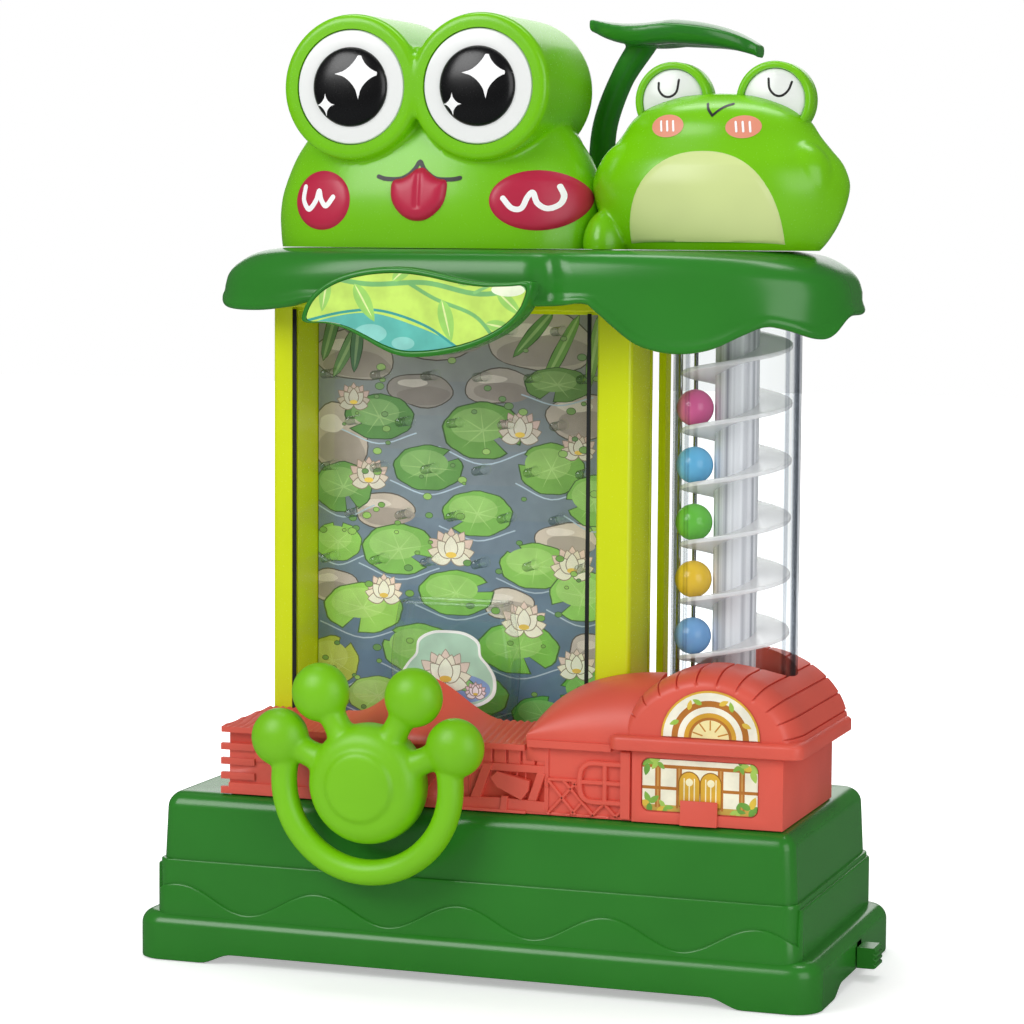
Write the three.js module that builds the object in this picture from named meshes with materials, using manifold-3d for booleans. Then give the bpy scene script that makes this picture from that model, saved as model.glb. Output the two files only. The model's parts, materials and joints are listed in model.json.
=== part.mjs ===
// A tabletop ball catching game, in millimetres with +Z up and its front towards -Y.
// A screw in a clear tower lifts five balls, they roll left under a leaf canopy and drop through a field
// of clear pegs, and the player turns a paw-shaped handle to slide a clear bucket under them.
// Everything is drawn about the middle of the base, and the whole model is then moved so that its origin is
// at the bottom centre of its bounding box.
import * as THREE from "three";
import { mergeVertices } from "three/addons/utils/BufferGeometryUtils.js";
import Module from "manifold-3d";

const wasm = await Module();
wasm.setup();

// Shared clearances and counts
const gap = 0.3; // between neighbouring pieces, seated or running
const overrun = 1; // how far a cut runs past the face it opens
const weldDistance = 0.0005; // points nearer than this are one point
const quarter = Math.PI / 2;

// Base: a stepped moulding on a wide lip, with a wave line round its wall
const base = {
  halfWidth: 126,
  halfDepth: 58,
  corner: 10,
  lipHeight: 17,
  lipRound: 5,
  wallHalfWidth: 118,
  wallHalfDepth: 54.5,
  wallCorner: 8,
  stepHeight: 36.2,
  stepInset: 1.1,
  topHalfWidth: 116,
  topHalfDepth: 53.2,
  height: 60.3,
  topRound: 6,
  wall: 2.2,
  archRise: 3.6,
  archRun: 12,
  footLength: 26,
  footThick: 3.3,
  waveMiddle: 22.7,
  waveRise: 4.8,
  waveLength: 53.5,
  waveCrest: -2.5,
  waveProud: 1,
};
const waveCount = 13;
const archShares = [[0, 0], [0.33, 0.26], [0.67, 0.74], [1, 1]];
const baseFloor = { thick: 2.2, seat: 2.4, lift: 0.4, postRadius: 3, postHeight: 5 };
const battery = { x: -20, y: 16, width: 66, depth: 62, height: 19, rim: 2.4, tab: 9, tabDepth: 4 };
const board = {
  fromEnd: 44, y: 22, width: 46, depth: 34, thick: 1.6, chip: 12, chipHeight: 2.4, postInset: 5,
};
const speaker = { fromEnd: 38, y: -22, radius: 18, height: 9, rim: 2.5, magnet: 9, coneDepth: 4 };
const boardX = board.fromEnd - base.halfWidth;
const speakerX = speaker.fromEnd - base.halfWidth;
const speakerHoles = { radius: 1.6, circle: 7.5, count: 6 };

// Power switch in the right end of the lip
const knob = {
  y: 5,
  bottom: 4.3,
  width: 10.4,
  height: 7.4,
  reach: 7,
  stemWidth: 5,
  stemHeight: 3,
  stemLength: 6.5,
  travel: 2.6,
  ridge: 1,
};
const knobRidges = 4;
const switchBody = { depth: 12.5, width: 6, height: 5 };

// Red house along the front of the base
const house = {
  left: -92,
  right: 111.5,
  front: -49,
  back: 20.5,
  barnLeft: 51.5,
  barnCorner: 58.4,
  annexLeft: 20,
  wall: 2,
  ruinTop: 79,
  barnTop: 85.3,
  board: 1,
  logReach: 3,
  logHeight: 2.4,
};
const ruinRoof = {
  left: -94.6,
  front: -50.5,
  eaveTop: 85,
  ridge: 89.5,
  ridgeLeft: -85.6,
  hillLeft: -52,
  hillPeak: -26,
  hillRight: 4,
  hillTop: 103.5,
  wall: 2,
};
const barnRoof = {
  left: 50.3,
  right: 118.5,
  front: -53,
  back: 23.5,
  eaveTop: 90.6,
  eaveCorner: 4,
  vaultInset: 1.6,
  vaultTop: 114,
  vaultFront: -50.6,
  bandDepth: 5,
  bandInset: 4.5,
  wall: 2,
  annexFront: -50.2,
  annexEave: 88.4,
  annexTop: 109.5,
  annexLap: 13.7,
};
const vaultPlanks = 12;
const vaultPower = 1.85;
const gate = {
  left: 61.6,
  right: 103,
  bottom: 64.4,
  top: 83,
  corner: 3,
  sink: 1,
  ramp: 13,
  rampRise: 4.6,
  rampReach: 1.4,
};
const sticker = { thick: 0.3, roofHalfWidth: 17.4, roofHeight: 16.4, roofMiddle: 86.2 };

// Cabinet with the play field
const cabinet = {
  left: -84.8,
  right: 49.9,
  front: -27,
  back: -3.3,
  fieldLeft: -76,
  fieldRight: 36.6,
  top: 236.5,
  beam: 4,
  wall: 1.8,
  sill: 1.2,
  edge: 2,
  rebate: 1.3,
  rebateDepth: 2.7,
  backThick: 1.8,
  screwRecess: 4.7,
};
const pane = { thick: 1.2, bottom: 86.5 };
const card = { thick: 0.5, bottom: 84 };
const pegs = {
  sheet: 0.8, radius: 1.7, length: 12, columnPitch: 19.4, rowPitch: 16.7, firstX: -59.1, firstZ: 142.8,
};
const pegRows = 6;
const rearPost = { left: 47, right: 49.8, front: 15.6, back: 22 };
const ramp = {
  floor: 1.6,
  wall: 1.5,
  front: -24,
  back: -7.2,
  high: 70,
  low: 63.7,
  rim: 80,
  deflector: 96,
  deflectorEnd: -62,
  tunnelTop: 79,
};

// Catcher with its rack and rail
const catcher = {
  x: -18.5,
  bottom: 88.4,
  top: 129.5,
  front: -22.7,
  back: -7.8,
  halfTop: 19.8,
  halfMiddle: 22.8,
  halfBottom: 20.6,
  corner: 3,
  wall: 1.2,
  footWidth: 18,
  plateThick: 2.2,
};
const label = { thick: 0.4, width: 37, height: 28, bottom: 92, corner: 9 };
const rail = { y: -29, z: 75.4, radius: 1.6, left: -91, right: 23, block: 5.4, blockBottom: 72.6 };
const partition = { left: 22, thick: 2.6 };

// Paw handle, its shaft and pinion
const paw = {
  x: -32.6,
  z: 70.3,
  middle: -66,
  disc: 21,
  discBack: -60,
  discFront: -73.5,
  discRound: 6,
  pad: 12.5,
  padRise: 2.2,
  toeRadius: 10.2,
  toeDepth: 8,
  toeCircle: 35.6,
  neck: 6.2,
  ringRadius: 31,
  ringTube: 4.6,
  hub: 8,
  boreDepth: 6,
};
const toeTurns = [24, 61, 119, 156].map(THREE.MathUtils.degToRad);
const ringReachTurn = THREE.MathUtils.degToRad(14);
const shaft = { radius: 3, inner: -32.1 };
const rackGear = { module: 1.5, face: 4, front: -38.5 };
const pinionTeeth = 14;
const rackTeeth = 11;
const bracket = { halfWidth: 8, thick: 1.8, top: 78.4 };

// Broken farmhouse boards, the window and the fence in the wall
const ruin = {
  rail: 4, plankWidth: 6.6, plankPitch: 7.4, plankLow: 72.6, beam: 2.6, cornerPost: 10, beamPitch: 21,
};
const beamShares = [[0.12, 0.02, 0.38, 0.98], [0.55, 0.02, 0.8, 0.98], [0.85, 0.2, 0.55, 0.7]];
const brokenShares = [[0.1, 0.75], [0.42, 0.96], [0.9, 0.72], [1, 0.3], [0.62, 0.06], [0.16, 0.3]];
const windowGrid = { left: 33.4, right: 51.4, low: 71.3, high: 82.8, bar: 1.3, corner: 3.2 };
const windowBarShares = [0.38, 0.7];
const fence = { left: 28, right: 50, low: 61.2, high: 71, bar: 1 };
const fenceCrossCount = 3;

// Tower with the lift
const tower = { x: 82, y: -6, radius: 22.3, wall: 0.9, port: 16.6 };
const lift = {
  column: 7.7, flange: 19.2, pitch: 20, edge: 1.5, root: 2.6, bottom: 61.6, columnTop: 243, flangeTop: 240,
};
const spindle = { radius: 2, bottom: 37, top: 249 };
const ball = { radius: 6.5, circle: 14.6, lowest: 120.4 };
const ballCount = 5;
const ballTurn = THREE.MathUtils.degToRad(199.1);
const guideRod = { radius: 0.75, circle: 20.3 };
const guideTurns = [183, 151].map(THREE.MathUtils.degToRad);
const driveGear = { module: 1.25, bottom: 44, face: 6, hub: 6, pinionShaft: 1.8, shaftDepth: 5, boss: 9 };
const screwTeeth = 28;
const driveTeeth = 10;
const motor = { halfWidth: 15, depth: 30, radius: 12, length: 26, middle: 22 };

// Leaf canopy
const canopy = {
  top: 255,
  left: -106.5,
  right: 124,
  front: -54,
  back: 40,
  drop: 14,
  roundEnds: 24,
  roundFront: 8,
  wall: 2,
  fold: 2.4,
  cleft: 28,
};
const canopyFrontEdge = [
  [-106.5, 239], [-101, 234.4], [-85, 233.6], [-70, 235], [-50, 237.6], [22, 236.5], [40, 237.6],
  [45, 235], [50, 230.8], [58, 224.7], [65, 222.2], [72, 221.2], [79, 221.6], [86, 223.4], [95, 227.8],
  [101.8, 230.5], [108.6, 229.4], [117, 226.5], [121, 227.6], [124, 234],
];
const canopyBackEdge = [
  [-106.5, 239], [-95, 234.4], [-70, 233], [-40, 236.5], [0, 232], [35, 237.5], [70, 230], [105, 235],
  [124, 234],
];
const canopyRows = [[0, 1, 1], [0.08, 0.64, 0.42], [0.32, 0.3, 0.12], [0.7, 0.06, 0], [1, 0, 0]];
const badgeBox = { left: -60, right: 24.5, bottom: 218, top: 249 };
const lining = { thick: 1.8, left: -84, front: -31, back: 26, right: 106, corner: 10, boss: 4 };
const channel = { wall: 1.2, floor: 1.2, left: -22, right: 62, front: -21, back: -5, rise: 1, height: 9 };
const badge = { face: -60.5, thick: 6.5, rim: 2.2, sink: 1.4, panel: 0.8 };

// Two frogs and the leaf over them
const head = { x: -25.5, y: -12, z: 262, halfWidth: 64.5, halfDepth: 31, halfHeight: 32 };
const hump = { y: -4, z: 280, halfWidth: 52, halfDepth: 22, halfHeight: 30 };
const eye = {
  spread: 47,
  z: 311,
  face: -42,
  length: 50,
  tail: 12,
  radius: 25.4,
  edge: 1.6,
  white: 19.8,
  whiteThick: 1.8,
  pupil: 13.8,
  pupilRise: 3.6,
  cup: 2.4,
};
const cheek = {
  halfWidth: 15.5,
  halfHeight: 10.6,
  depth: 5,
  z: 271.5,
  spread: 40.5,
  middle: -21,
  turn: THREE.MathUtils.degToRad(24),
};
const tongue = { halfWidth: 9.9, halfHeight: 9, depth: 4, z: 273, x: -23.5 };
const littleFrog = {
  x: 78.5,
  y: -13,
  depthShare: 0.56,
  eyeSpread: 36,
  eyeZ: 306.5,
  eyeRadius: 13.3,
  eyeWhite: 10.6,
  eyeDepth: 12,
  eyeFace: -18,
  patchWidth: 27,
  patchHeight: 31,
  patchDepth: 8,
  patchX: 76,
  patchZ: 258,
  armX: 31,
  armZ: 280,
  armRadius: 8.5,
  armHeight: 12,
  limbSink: 4,
  footX: 37,
  footZ: 262,
  footRadius: 10,
};
const littleFrogRows = [
  [252, 40], [262, 44], [270, 46], [278, 46], [284.5, 43], [290.5, 38.5], [296, 33], [301, 27.5],
  [305.5, 21], [308.9, 12],
];
const parasol = {
  stalk: 3.4,
  stalkMiddle: 4.9,
  y: 18,
  left: 20.5,
  right: 82.5,
  halfDepth: 19,
  thick: 8,
  crown: 337,
  dip: 2.6,
  droop: 9,
};
const parasolRoute = [
  [22.5, 26, 252], [21.5, 26, 268], [21.5, 26, 284], [23.5, 24, 300], [30.5, 21, 316], [39.5, 19, 329],
];

// Finishes
function plastic(color, roughness = 0.4) {
  return new THREE.MeshStandardMaterial({ color, roughness, metalness: 0 });
}
const finishes = {
  darkGreen: plastic("#2f7d32", 0.38),
  brightGreen: plastic("#6ec21b", 0.34),
  limeGreen: plastic("#7fce12", 0.32),
  yellow: plastic("#d3dd0a", 0.35),
  red: plastic("#e9604e", 0.45),
  crimson: plastic("#c8274f", 0.4),
  cream: plastic("#cfe58a", 0.45),
  white: plastic("#f4f6f4", 0.3),
  black: plastic("#101012", 0.12),
  print: plastic("#8fae6a", 0.5),
  paleprint: plastic("#e9e6b0", 0.5),
  grey: plastic("#8d9196", 0.5),
  board: plastic("#1d6b46", 0.55),
  steel: new THREE.MeshStandardMaterial({ color: "#b9bcc0", roughness: 0.25, metalness: 1 }),
  clear: new THREE.MeshStandardMaterial({
    color: "#eef4f2",
    roughness: 0.08,
    metalness: 0,
    transparent: true,
    opacity: 0.3,
  }),
};
const ballColors = ["#3c8fd6", "#f0d21c", "#34b233", "#4aa8e8", "#ee4fa0"];

// Solids from geometries, joined, cut and kept
function solidOf(item) {
  if (!item.isBufferGeometry) return item;
  const bare = item.clone();
  Object.keys(bare.attributes)
    .filter((name) => name !== "position")
    .forEach((name) => bare.deleteAttribute(name));
  const welded = mergeVertices(bare, weldDistance);
  const triangles = new Uint32Array(welded.index.array);
  const made = (triVerts) =>
    new wasm.Manifold(
      new wasm.Mesh({ numProp: 3, vertProperties: welded.attributes.position.array, triVerts }),
    );
  const solid = made(triangles);
  return solid.volume() < 0 ? made(triangles.slice().reverse()) : solid;
}

function join(first, ...others) {
  return others.reduce((sum, item) => sum.add(solidOf(item)), solidOf(first));
}

function cut(body, ...tools) {
  return tools.reduce((rest, tool) => rest.subtract(solidOf(tool)), solidOf(body));
}

function overlap(first, second) {
  return solidOf(first).intersect(solidOf(second));
}

function geometryOf(item) {
  const mesh = solidOf(item).getMesh();
  const points = [];
  for (let i = 0; i < mesh.numVert; i += 1) {
    const start = i * mesh.numProp;
    points.push(...mesh.vertProperties.subarray(start, start + 3));
  }
  const geometry = new THREE.BufferGeometry();
  geometry.setAttribute("position", new THREE.Float32BufferAttribute(points, 3));
  geometry.setIndex([...mesh.triVerts]);
  geometry.computeVertexNormals();
  return geometry;
}

// A named piece in its group
function addPiece(group, name, shape, finish) {
  const mesh = new THREE.Mesh(geometryOf(shape), finish);
  mesh.name = name;
  group.add(mesh);
  return mesh;
}

function groupAt(parent, x, y, z) {
  const group = new THREE.Group();
  group.position.set(x, y, z);
  parent.add(group);
  return group;
}

// A box between two corners
function block(x0, x1, y0, y1, z0, z1) {
  const box = new THREE.BoxGeometry(x1 - x0, y1 - y0, z1 - z0);
  return box.translate((x0 + x1) / 2, (y0 + y1) / 2, (z0 + z1) / 2);
}

// An upright cylinder from z0 to z1
function post(radius, z0, z1, x = 0, y = 0, sides = 18) {
  const cylinder = new THREE.CylinderGeometry(radius, radius, z1 - z0, sides);
  return cylinder.rotateX(quarter).translate(x, y, (z0 + z1) / 2);
}

// A cylinder along Y from y0 to y1
function pin(radius, y0, y1, x = 0, z = 0, sides = 18) {
  const cylinder = new THREE.CylinderGeometry(radius, radius, y1 - y0, sides);
  return cylinder.translate(x, (y0 + y1) / 2, z);
}

// A cylinder along X from x0 to x1
function axle(radius, x0, x1, y = 0, z = 0, sides = 16) {
  const cylinder = new THREE.CylinderGeometry(radius, radius, x1 - x0, sides);
  return cylinder.rotateZ(quarter).translate((x0 + x1) / 2, y, z);
}

// A profile of [radius, height] pairs turned about Z, or about Y with its heights running to the front
function turned(profile, sides = 32) {
  const points = profile.map(([radius, height]) => new THREE.Vector2(radius, height));
  return new THREE.LatheGeometry(points, sides).rotateX(quarter);
}

function turnedToFront(profile, sides = 32) {
  return turned(profile, sides).rotateX(quarter);
}

// An outline in front view, as thick as asked, with its front face at y
function frontPlate(shape, y, thick, curveSegments = 8) {
  const plate = new THREE.ExtrudeGeometry(shape, { depth: thick, bevelEnabled: false, curveSegments });
  return plate.rotateX(quarter).translate(0, y + thick, 0);
}

// An outline in plan, from z0 to z1
function floorPlate(shape, z0, z1, curveSegments = 8) {
  const plate = new THREE.ExtrudeGeometry(shape, { depth: z1 - z0, bevelEnabled: false, curveSegments });
  return plate.translate(0, 0, z0);
}

function polygon(corners) {
  return new THREE.Shape(corners.map(([x, y]) => new THREE.Vector2(x, y)));
}

function roundedRect(x0, x1, y0, y1, corner) {
  const shape = new THREE.Shape();
  shape.moveTo(x0 + corner, y0);
  shape.lineTo(x1 - corner, y0);
  shape.absarc(x1 - corner, y0 + corner, corner, -quarter, 0);
  shape.lineTo(x1, y1 - corner);
  shape.absarc(x1 - corner, y1 - corner, corner, 0, quarter);
  shape.lineTo(x0 + corner, y1);
  shape.absarc(x0 + corner, y1 - corner, corner, quarter, 2 * quarter);
  shape.lineTo(x0, y0 + corner);
  shape.absarc(x0 + corner, y0 + corner, corner, 2 * quarter, 3 * quarter);
  return shape;
}

// A skin over rings of equal count, closed by a fan of triangles at each end
function loft(rings) {
  const count = rings[0].length;
  const middle = (ring) =>
    ring.reduce((sum, p) => sum.add(p), new THREE.Vector3()).divideScalar(count);
  const points = [...rings.flat(), middle(rings[0]), middle(rings[rings.length - 1])];
  const index = [];
  for (let r = 0; r + 1 < rings.length; r += 1) {
    for (let i = 0; i < count; i += 1) {
      const a = r * count + i;
      const b = r * count + ((i + 1) % count);
      index.push(a, b, b + count, a, b + count, a + count);
    }
  }
  const last = (rings.length - 1) * count;
  for (let i = 0; i < count; i += 1) {
    const next = (i + 1) % count;
    index.push(next, i, points.length - 2);
    index.push(last + i, last + next, points.length - 1);
  }
  const geometry = new THREE.BufferGeometry().setFromPoints(points);
  geometry.setIndex(index);
  return geometry;
}

// A solid between two height functions over a grid of places
function slab(columns, rows, place, top, bottom) {
  const points = [];
  const at = (side, i, j) => side * columns * rows + i * rows + j;
  for (const height of [top, bottom]) {
    for (let i = 0; i < columns; i += 1) {
      for (let j = 0; j < rows; j += 1) {
        const [x, y] = place(i / (columns - 1), j / (rows - 1));
        points.push(new THREE.Vector3(x, y, height(x, y)));
      }
    }
  }
  const index = [];
  const quad = (a, b, c, d) => index.push(a, b, c, a, c, d);
  for (let i = 0; i + 1 < columns; i += 1) {
    for (let j = 0; j + 1 < rows; j += 1) {
      quad(at(0, i, j), at(0, i + 1, j), at(0, i + 1, j + 1), at(0, i, j + 1));
      quad(at(1, i, j), at(1, i, j + 1), at(1, i + 1, j + 1), at(1, i + 1, j));
    }
  }
  for (let i = 0; i + 1 < columns; i += 1) {
    quad(at(0, i, 0), at(1, i, 0), at(1, i + 1, 0), at(0, i + 1, 0));
    quad(at(0, i + 1, rows - 1), at(1, i + 1, rows - 1), at(1, i, rows - 1), at(0, i, rows - 1));
  }
  for (let j = 0; j + 1 < rows; j += 1) {
    quad(at(0, 0, j + 1), at(1, 0, j + 1), at(1, 0, j), at(0, 0, j));
    quad(
      at(0, columns - 1, j), at(1, columns - 1, j), at(1, columns - 1, j + 1), at(0, columns - 1, j + 1),
    );
  }
  const geometry = new THREE.BufferGeometry().setFromPoints(points);
  geometry.setIndex(index);
  return geometry;
}

// An ellipsoid, squarer than a true one where its power is over 2
function egg(halfWidth, halfDepth, halfHeight, power = 2, around = 28, down = 16) {
  const geometry = new THREE.SphereGeometry(1, around, down).rotateX(quarter);
  const places = geometry.attributes.position;
  const direction = new THREE.Vector3();
  for (let i = 0; i < places.count; i += 1) {
    direction.fromBufferAttribute(places, i);
    const size = ["x", "y", "z"].reduce((sum, axis) => sum + Math.abs(direction[axis]) ** power, 0);
    direction.divideScalar(size ** (1 / power));
    places.setXYZ(i, direction.x * halfWidth, direction.y * halfDepth, direction.z * halfHeight);
  }
  return geometry;
}

// Gears with involute flanks
const pressureTurn = THREE.MathUtils.degToRad(25);
const addendumShare = 0.9;
const dedendumShare = 1.15;
const backlash = 0.34;

function involute(turn) {
  return Math.tan(turn) - turn;
}

function gearOutline(teeth, module) {
  const pitchRadius = (teeth * module) / 2;
  const baseRadius = pitchRadius * Math.cos(pressureTurn);
  const tip = pitchRadius + addendumShare * module;
  const root = pitchRadius - dedendumShare * module;
  const halfTooth = (radius) => {
    const turn = Math.acos(Math.min(1, baseRadius / radius));
    const atPitch = quarter / teeth - backlash / (4 * pitchRadius);
    return atPitch + involute(pressureTurn) - involute(turn);
  };
  const flank = [root, tip];
  const corners = [];
  for (let i = 0; i < teeth; i += 1) {
    const middle = (4 * quarter * i) / teeth;
    const add = (radius, side) => {
      const turn = middle + side * halfTooth(radius);
      corners.push([radius * Math.cos(turn), radius * Math.sin(turn)]);
    };
    flank.forEach((radius) => add(radius, -1));
    flank.toReversed().forEach((radius) => add(radius, 1));
  }
  return polygon(corners);
}

// The base and what it holds
function ringPoints(halfWidth, halfDepth, corner, parts) {
  const points = [];
  const right = halfWidth - corner;
  const back = halfDepth - corner;
  const run = (x0, y0, x1, y1, count) => {
    for (let i = 0; i < count; i += 1) {
      const share = i / count;
      points.push(new THREE.Vector3(x0 + (x1 - x0) * share, y0 + (y1 - y0) * share, 0));
    }
  };
  const bend = (x, y, start) => {
    for (let i = 0; i < parts.corner; i += 1) {
      const turn = start + (quarter * i) / parts.corner;
      points.push(new THREE.Vector3(x + corner * Math.cos(turn), y + corner * Math.sin(turn), 0));
    }
  };
  run(0, -halfDepth, right, -halfDepth, parts.side / 2);
  bend(right, -back, -quarter);
  run(halfWidth, -back, halfWidth, back, parts.end);
  bend(right, back, 0);
  run(right, halfDepth, -right, halfDepth, parts.side);
  bend(-right, back, quarter);
  run(-halfWidth, back, -halfWidth, -back, parts.end);
  bend(-right, -back, 2 * quarter);
  run(-right, -halfDepth, 0, -halfDepth, parts.side / 2);
  return points;
}

const waveParts = { side: 24, end: 8, corner: 2 };
const plainParts = { side: 2, end: 1, corner: 3 };

function baseRing(inset, z) {
  const ring = ringPoints(base.halfWidth - inset, base.halfDepth - inset, base.corner, plainParts);
  return ring.map((p) => p.setZ(z));
}

function wallRing(halfWidth, halfDepth, corner, z, parts = plainParts, heightOf = () => z) {
  return ringPoints(halfWidth, halfDepth, corner, parts).map((p, i) => p.setZ(heightOf(p, i)));
}

// The wave's height at each point of the wall, with whole waves round the base
function waveHeights(ring) {
  const lengths = [0];
  ring.forEach((p, i) => lengths.push(lengths[i] + p.distanceTo(ring[(i + 1) % ring.length])));
  const total = lengths[ring.length];
  const straight = base.wallHalfWidth - base.wallCorner;
  const turnsAt = (x) => (x - base.waveCrest) / base.waveLength;
  const rest = waveCount - (turnsAt(straight) - turnsAt(-straight));
  return ring.map((p, i) => {
    const along = lengths[i];
    if (along <= straight) return turnsAt(along);
    if (along >= total - straight) return turnsAt(along - total);
    return turnsAt(straight) + (rest * (along - straight)) / (total - 2 * straight);
  }).map((turns) => base.waveMiddle + base.waveRise * Math.cos(4 * quarter * turns));
}

// The hollow under one pair of edges, so that the base stands on its corners
function archHollow(halfLength, halfReach) {
  const foot = halfLength - base.footLength;
  const slope = archShares.map(([run, rise]) => [foot - run * base.archRun, rise * base.archRise]);
  const half = [[foot, -overrun], ...slope];
  const mirrored = half.map(([x, z]) => [-x, z]);
  return frontPlate(polygon([...mirrored, ...half.reverse()]), -halfReach, 2 * halfReach);
}

function baseBody() {
  const { wallHalfWidth, wallHalfDepth, wallCorner, waveProud } = base;
  const heights = waveHeights(ringPoints(wallHalfWidth, wallHalfDepth, wallCorner, waveParts));
  const lipStart = base.lipHeight - base.lipRound;
  const rounding = [1 / 3, 2 / 3, 1].map((share) => {
    const inset = base.lipRound * (1 - Math.cos(quarter * share));
    return baseRing(inset, lipStart + base.lipRound * Math.sin(quarter * share));
  });
  const wall = (proud, z, heightOf) =>
    wallRing(wallHalfWidth + proud, wallHalfDepth + proud, wallCorner + proud, z, waveParts, heightOf);
  const lip = loft([
    baseRing(0, 0),
    baseRing(0, lipStart),
    ...rounding,
    baseRing(2 * base.lipRound, base.lipHeight),
  ]);
  const wave = loft([
    wall(waveProud, base.lipHeight - overrun),
    wall(waveProud, 0, (p, i) => heights[i]),
    wall(0, 0, (p, i) => heights[i] + waveProud / 2),
    wall(0, base.stepHeight),
  ]);
  const { topHalfWidth, topHalfDepth, topRound, stepInset, stepHeight, height } = base;
  const upperRings = [
    wallRing(wallHalfWidth - stepInset, wallHalfDepth - stepInset, wallCorner, stepHeight - overrun),
    wallRing(topHalfWidth, topHalfDepth, wallCorner, height - topRound),
  ];
  [1 / 3, 2 / 3, 1].forEach((share) => {
    const inset = topRound * (1 - Math.cos(quarter * share));
    const z = height - topRound + topRound * Math.sin(quarter * share);
    upperRings.push(wallRing(topHalfWidth - inset, topHalfDepth - inset, wallCorner - inset, z));
  });
  return join(lip, wave, loft(upperRings));
}

function baseCavity() {
  const { wall, topRound, height } = base;
  const lipTop = base.lipHeight - wall;
  const innerWidth = base.topHalfWidth - wall;
  const innerDepth = base.topHalfDepth - wall;
  return loft([
    baseRing(wall, -overrun),
    baseRing(wall, base.lipHeight - base.lipRound),
    wallRing(base.wallHalfWidth - wall, base.wallHalfDepth - wall, base.wallCorner, lipTop),
    wallRing(innerWidth, innerDepth, base.wallCorner, height - topRound),
    wallRing(innerWidth - topRound / 2, innerDepth - topRound / 2, base.wallCorner, height - wall),
  ]);
}

function baseShell() {
  const outer = baseBody();
  const feet = [-1, 1].flatMap((sx) =>
    [-1, 1].map((sy) => {
      const x = sx * (base.halfWidth - base.footLength / 2);
      const y = sy * (base.halfDepth - base.footLength / 2);
      const half = base.footLength / 2;
      return block(x - half, x + half, y - half, y + half, 0, base.footThick);
    }),
  );
  const pads = overlap(outer, join(...feet));
  const shell = join(cut(outer, baseCavity()), pads);
  const stemHalf = knob.stemWidth / 2 + gap;
  const notchTop = knobStemTop() + knob.travel + gap;
  const notch = block(
    base.halfWidth - base.lipRound,
    base.halfWidth + overrun,
    knob.y - stemHalf,
    knob.y + stemHalf,
    -overrun,
    notchTop,
  );
  const pinionReach = (pinionTeeth * rackGear.module) / 2 + rackGear.module + overrun;
  const top = [base.height - base.topRound, base.height + overrun];
  const pinionSlot = block(
    paw.x - pinionReach,
    paw.x + pinionReach,
    rackGear.front - overrun,
    rackGear.front + rackGear.face + overrun,
    ...top,
  );
  const spindleHole = post(driveGear.hub + gap, ...top, tower.x, tower.y);
  const frontArch = archHollow(base.halfWidth, base.halfDepth + overrun);
  const sideArch = archHollow(base.halfDepth, base.halfWidth + overrun).rotateZ(quarter);
  return cut(shell, notch, pinionSlot, spindleHole, frontArch, sideArch);
}

// The motor's pinion drives the screw's gear from its left
const drivePinionX = tower.x - ((screwTeeth + driveTeeth) * driveGear.module) / 2;

// Height of the bottom of the floor plate and of its upper face
const floorBottom = base.footThick + gap;
const floorTop = floorBottom + baseFloor.thick;

function boardPosts() {
  return [-1, 1].flatMap((sx) =>
    [-1, 1].map((sy) => {
      const x = boardX + sx * (board.width / 2 - board.postInset);
      const y = board.y + sy * (board.depth / 2 - board.postInset);
      return post(baseFloor.postRadius, floorBottom, floorTop + baseFloor.postHeight, x, y, 8);
    }),
  );
}

function floorPanel() {
  const inset = base.wall + gap;
  const plate = loft([
    baseRing(inset, floorBottom),
    baseRing(inset, floorTop),
  ]);
  const half = { x: battery.width / 2, y: battery.depth / 2 };
  const well = (grow, z0, z1) =>
    block(
      battery.x - half.x - grow,
      battery.x + half.x + grow,
      battery.y - half.y - grow,
      battery.y + half.y + grow,
      z0,
      z1,
    );
  const wellTop = floorTop + battery.height;
  const bearing = post(driveGear.boss / 2, floorBottom, driveGear.bottom - gap, tower.x, tower.y);
  const bearingBore = post(spindle.radius + gap, spindle.bottom - gap, driveGear.bottom, tower.x, tower.y);
  const switchSeat = block(
    switchX() - switchBody.width,
    switchX(),
    knob.y - switchBody.depth / 2,
    knob.y + switchBody.depth / 2,
    floorBottom,
    floorTop + baseFloor.lift,
  );
  const motorSeat = block(
    drivePinionX - motor.halfWidth,
    drivePinionX + motor.halfWidth,
    tower.y - motor.depth / 2,
    tower.y + motor.depth / 2,
    floorBottom,
    floorTop + baseFloor.lift,
  );
  const holes = [];
  for (let i = 0; i < speakerHoles.count; i += 1) {
    const turn = (4 * quarter * i) / speakerHoles.count;
    const x = speakerX + speakerHoles.circle * Math.cos(turn);
    const y = speaker.y + speakerHoles.circle * Math.sin(turn);
    holes.push(post(speakerHoles.radius, floorBottom - overrun, floorTop + overrun, x, y, 6));
  }
  const body = join(plate, well(0, floorBottom, wellTop), bearing, switchSeat, motorSeat, ...boardPosts());
  return cut(
    body,
    well(-battery.rim, floorBottom - overrun, wellTop - baseFloor.thick),
    well(-gap, floorBottom - overrun, floorBottom + baseFloor.seat - gap),
    bearingBore,
    ...holes,
  );
}

function batteryDoor() {
  const half = { x: battery.width / 2 - 2 * gap, y: battery.depth / 2 - 2 * gap };
  const top = floorBottom + baseFloor.seat - 2 * gap;
  const plate = block(
    battery.x - half.x,
    battery.x + half.x,
    battery.y - half.y,
    battery.y + half.y,
    floorBottom,
    top,
  );
  const grip = block(
    battery.x - battery.tab,
    battery.x + battery.tab,
    battery.y - half.y + battery.tabDepth,
    battery.y - half.y + 2 * battery.tabDepth,
    floorBottom - overrun,
    (floorBottom + top) / 2,
  );
  return cut(plate, grip);
}

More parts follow.
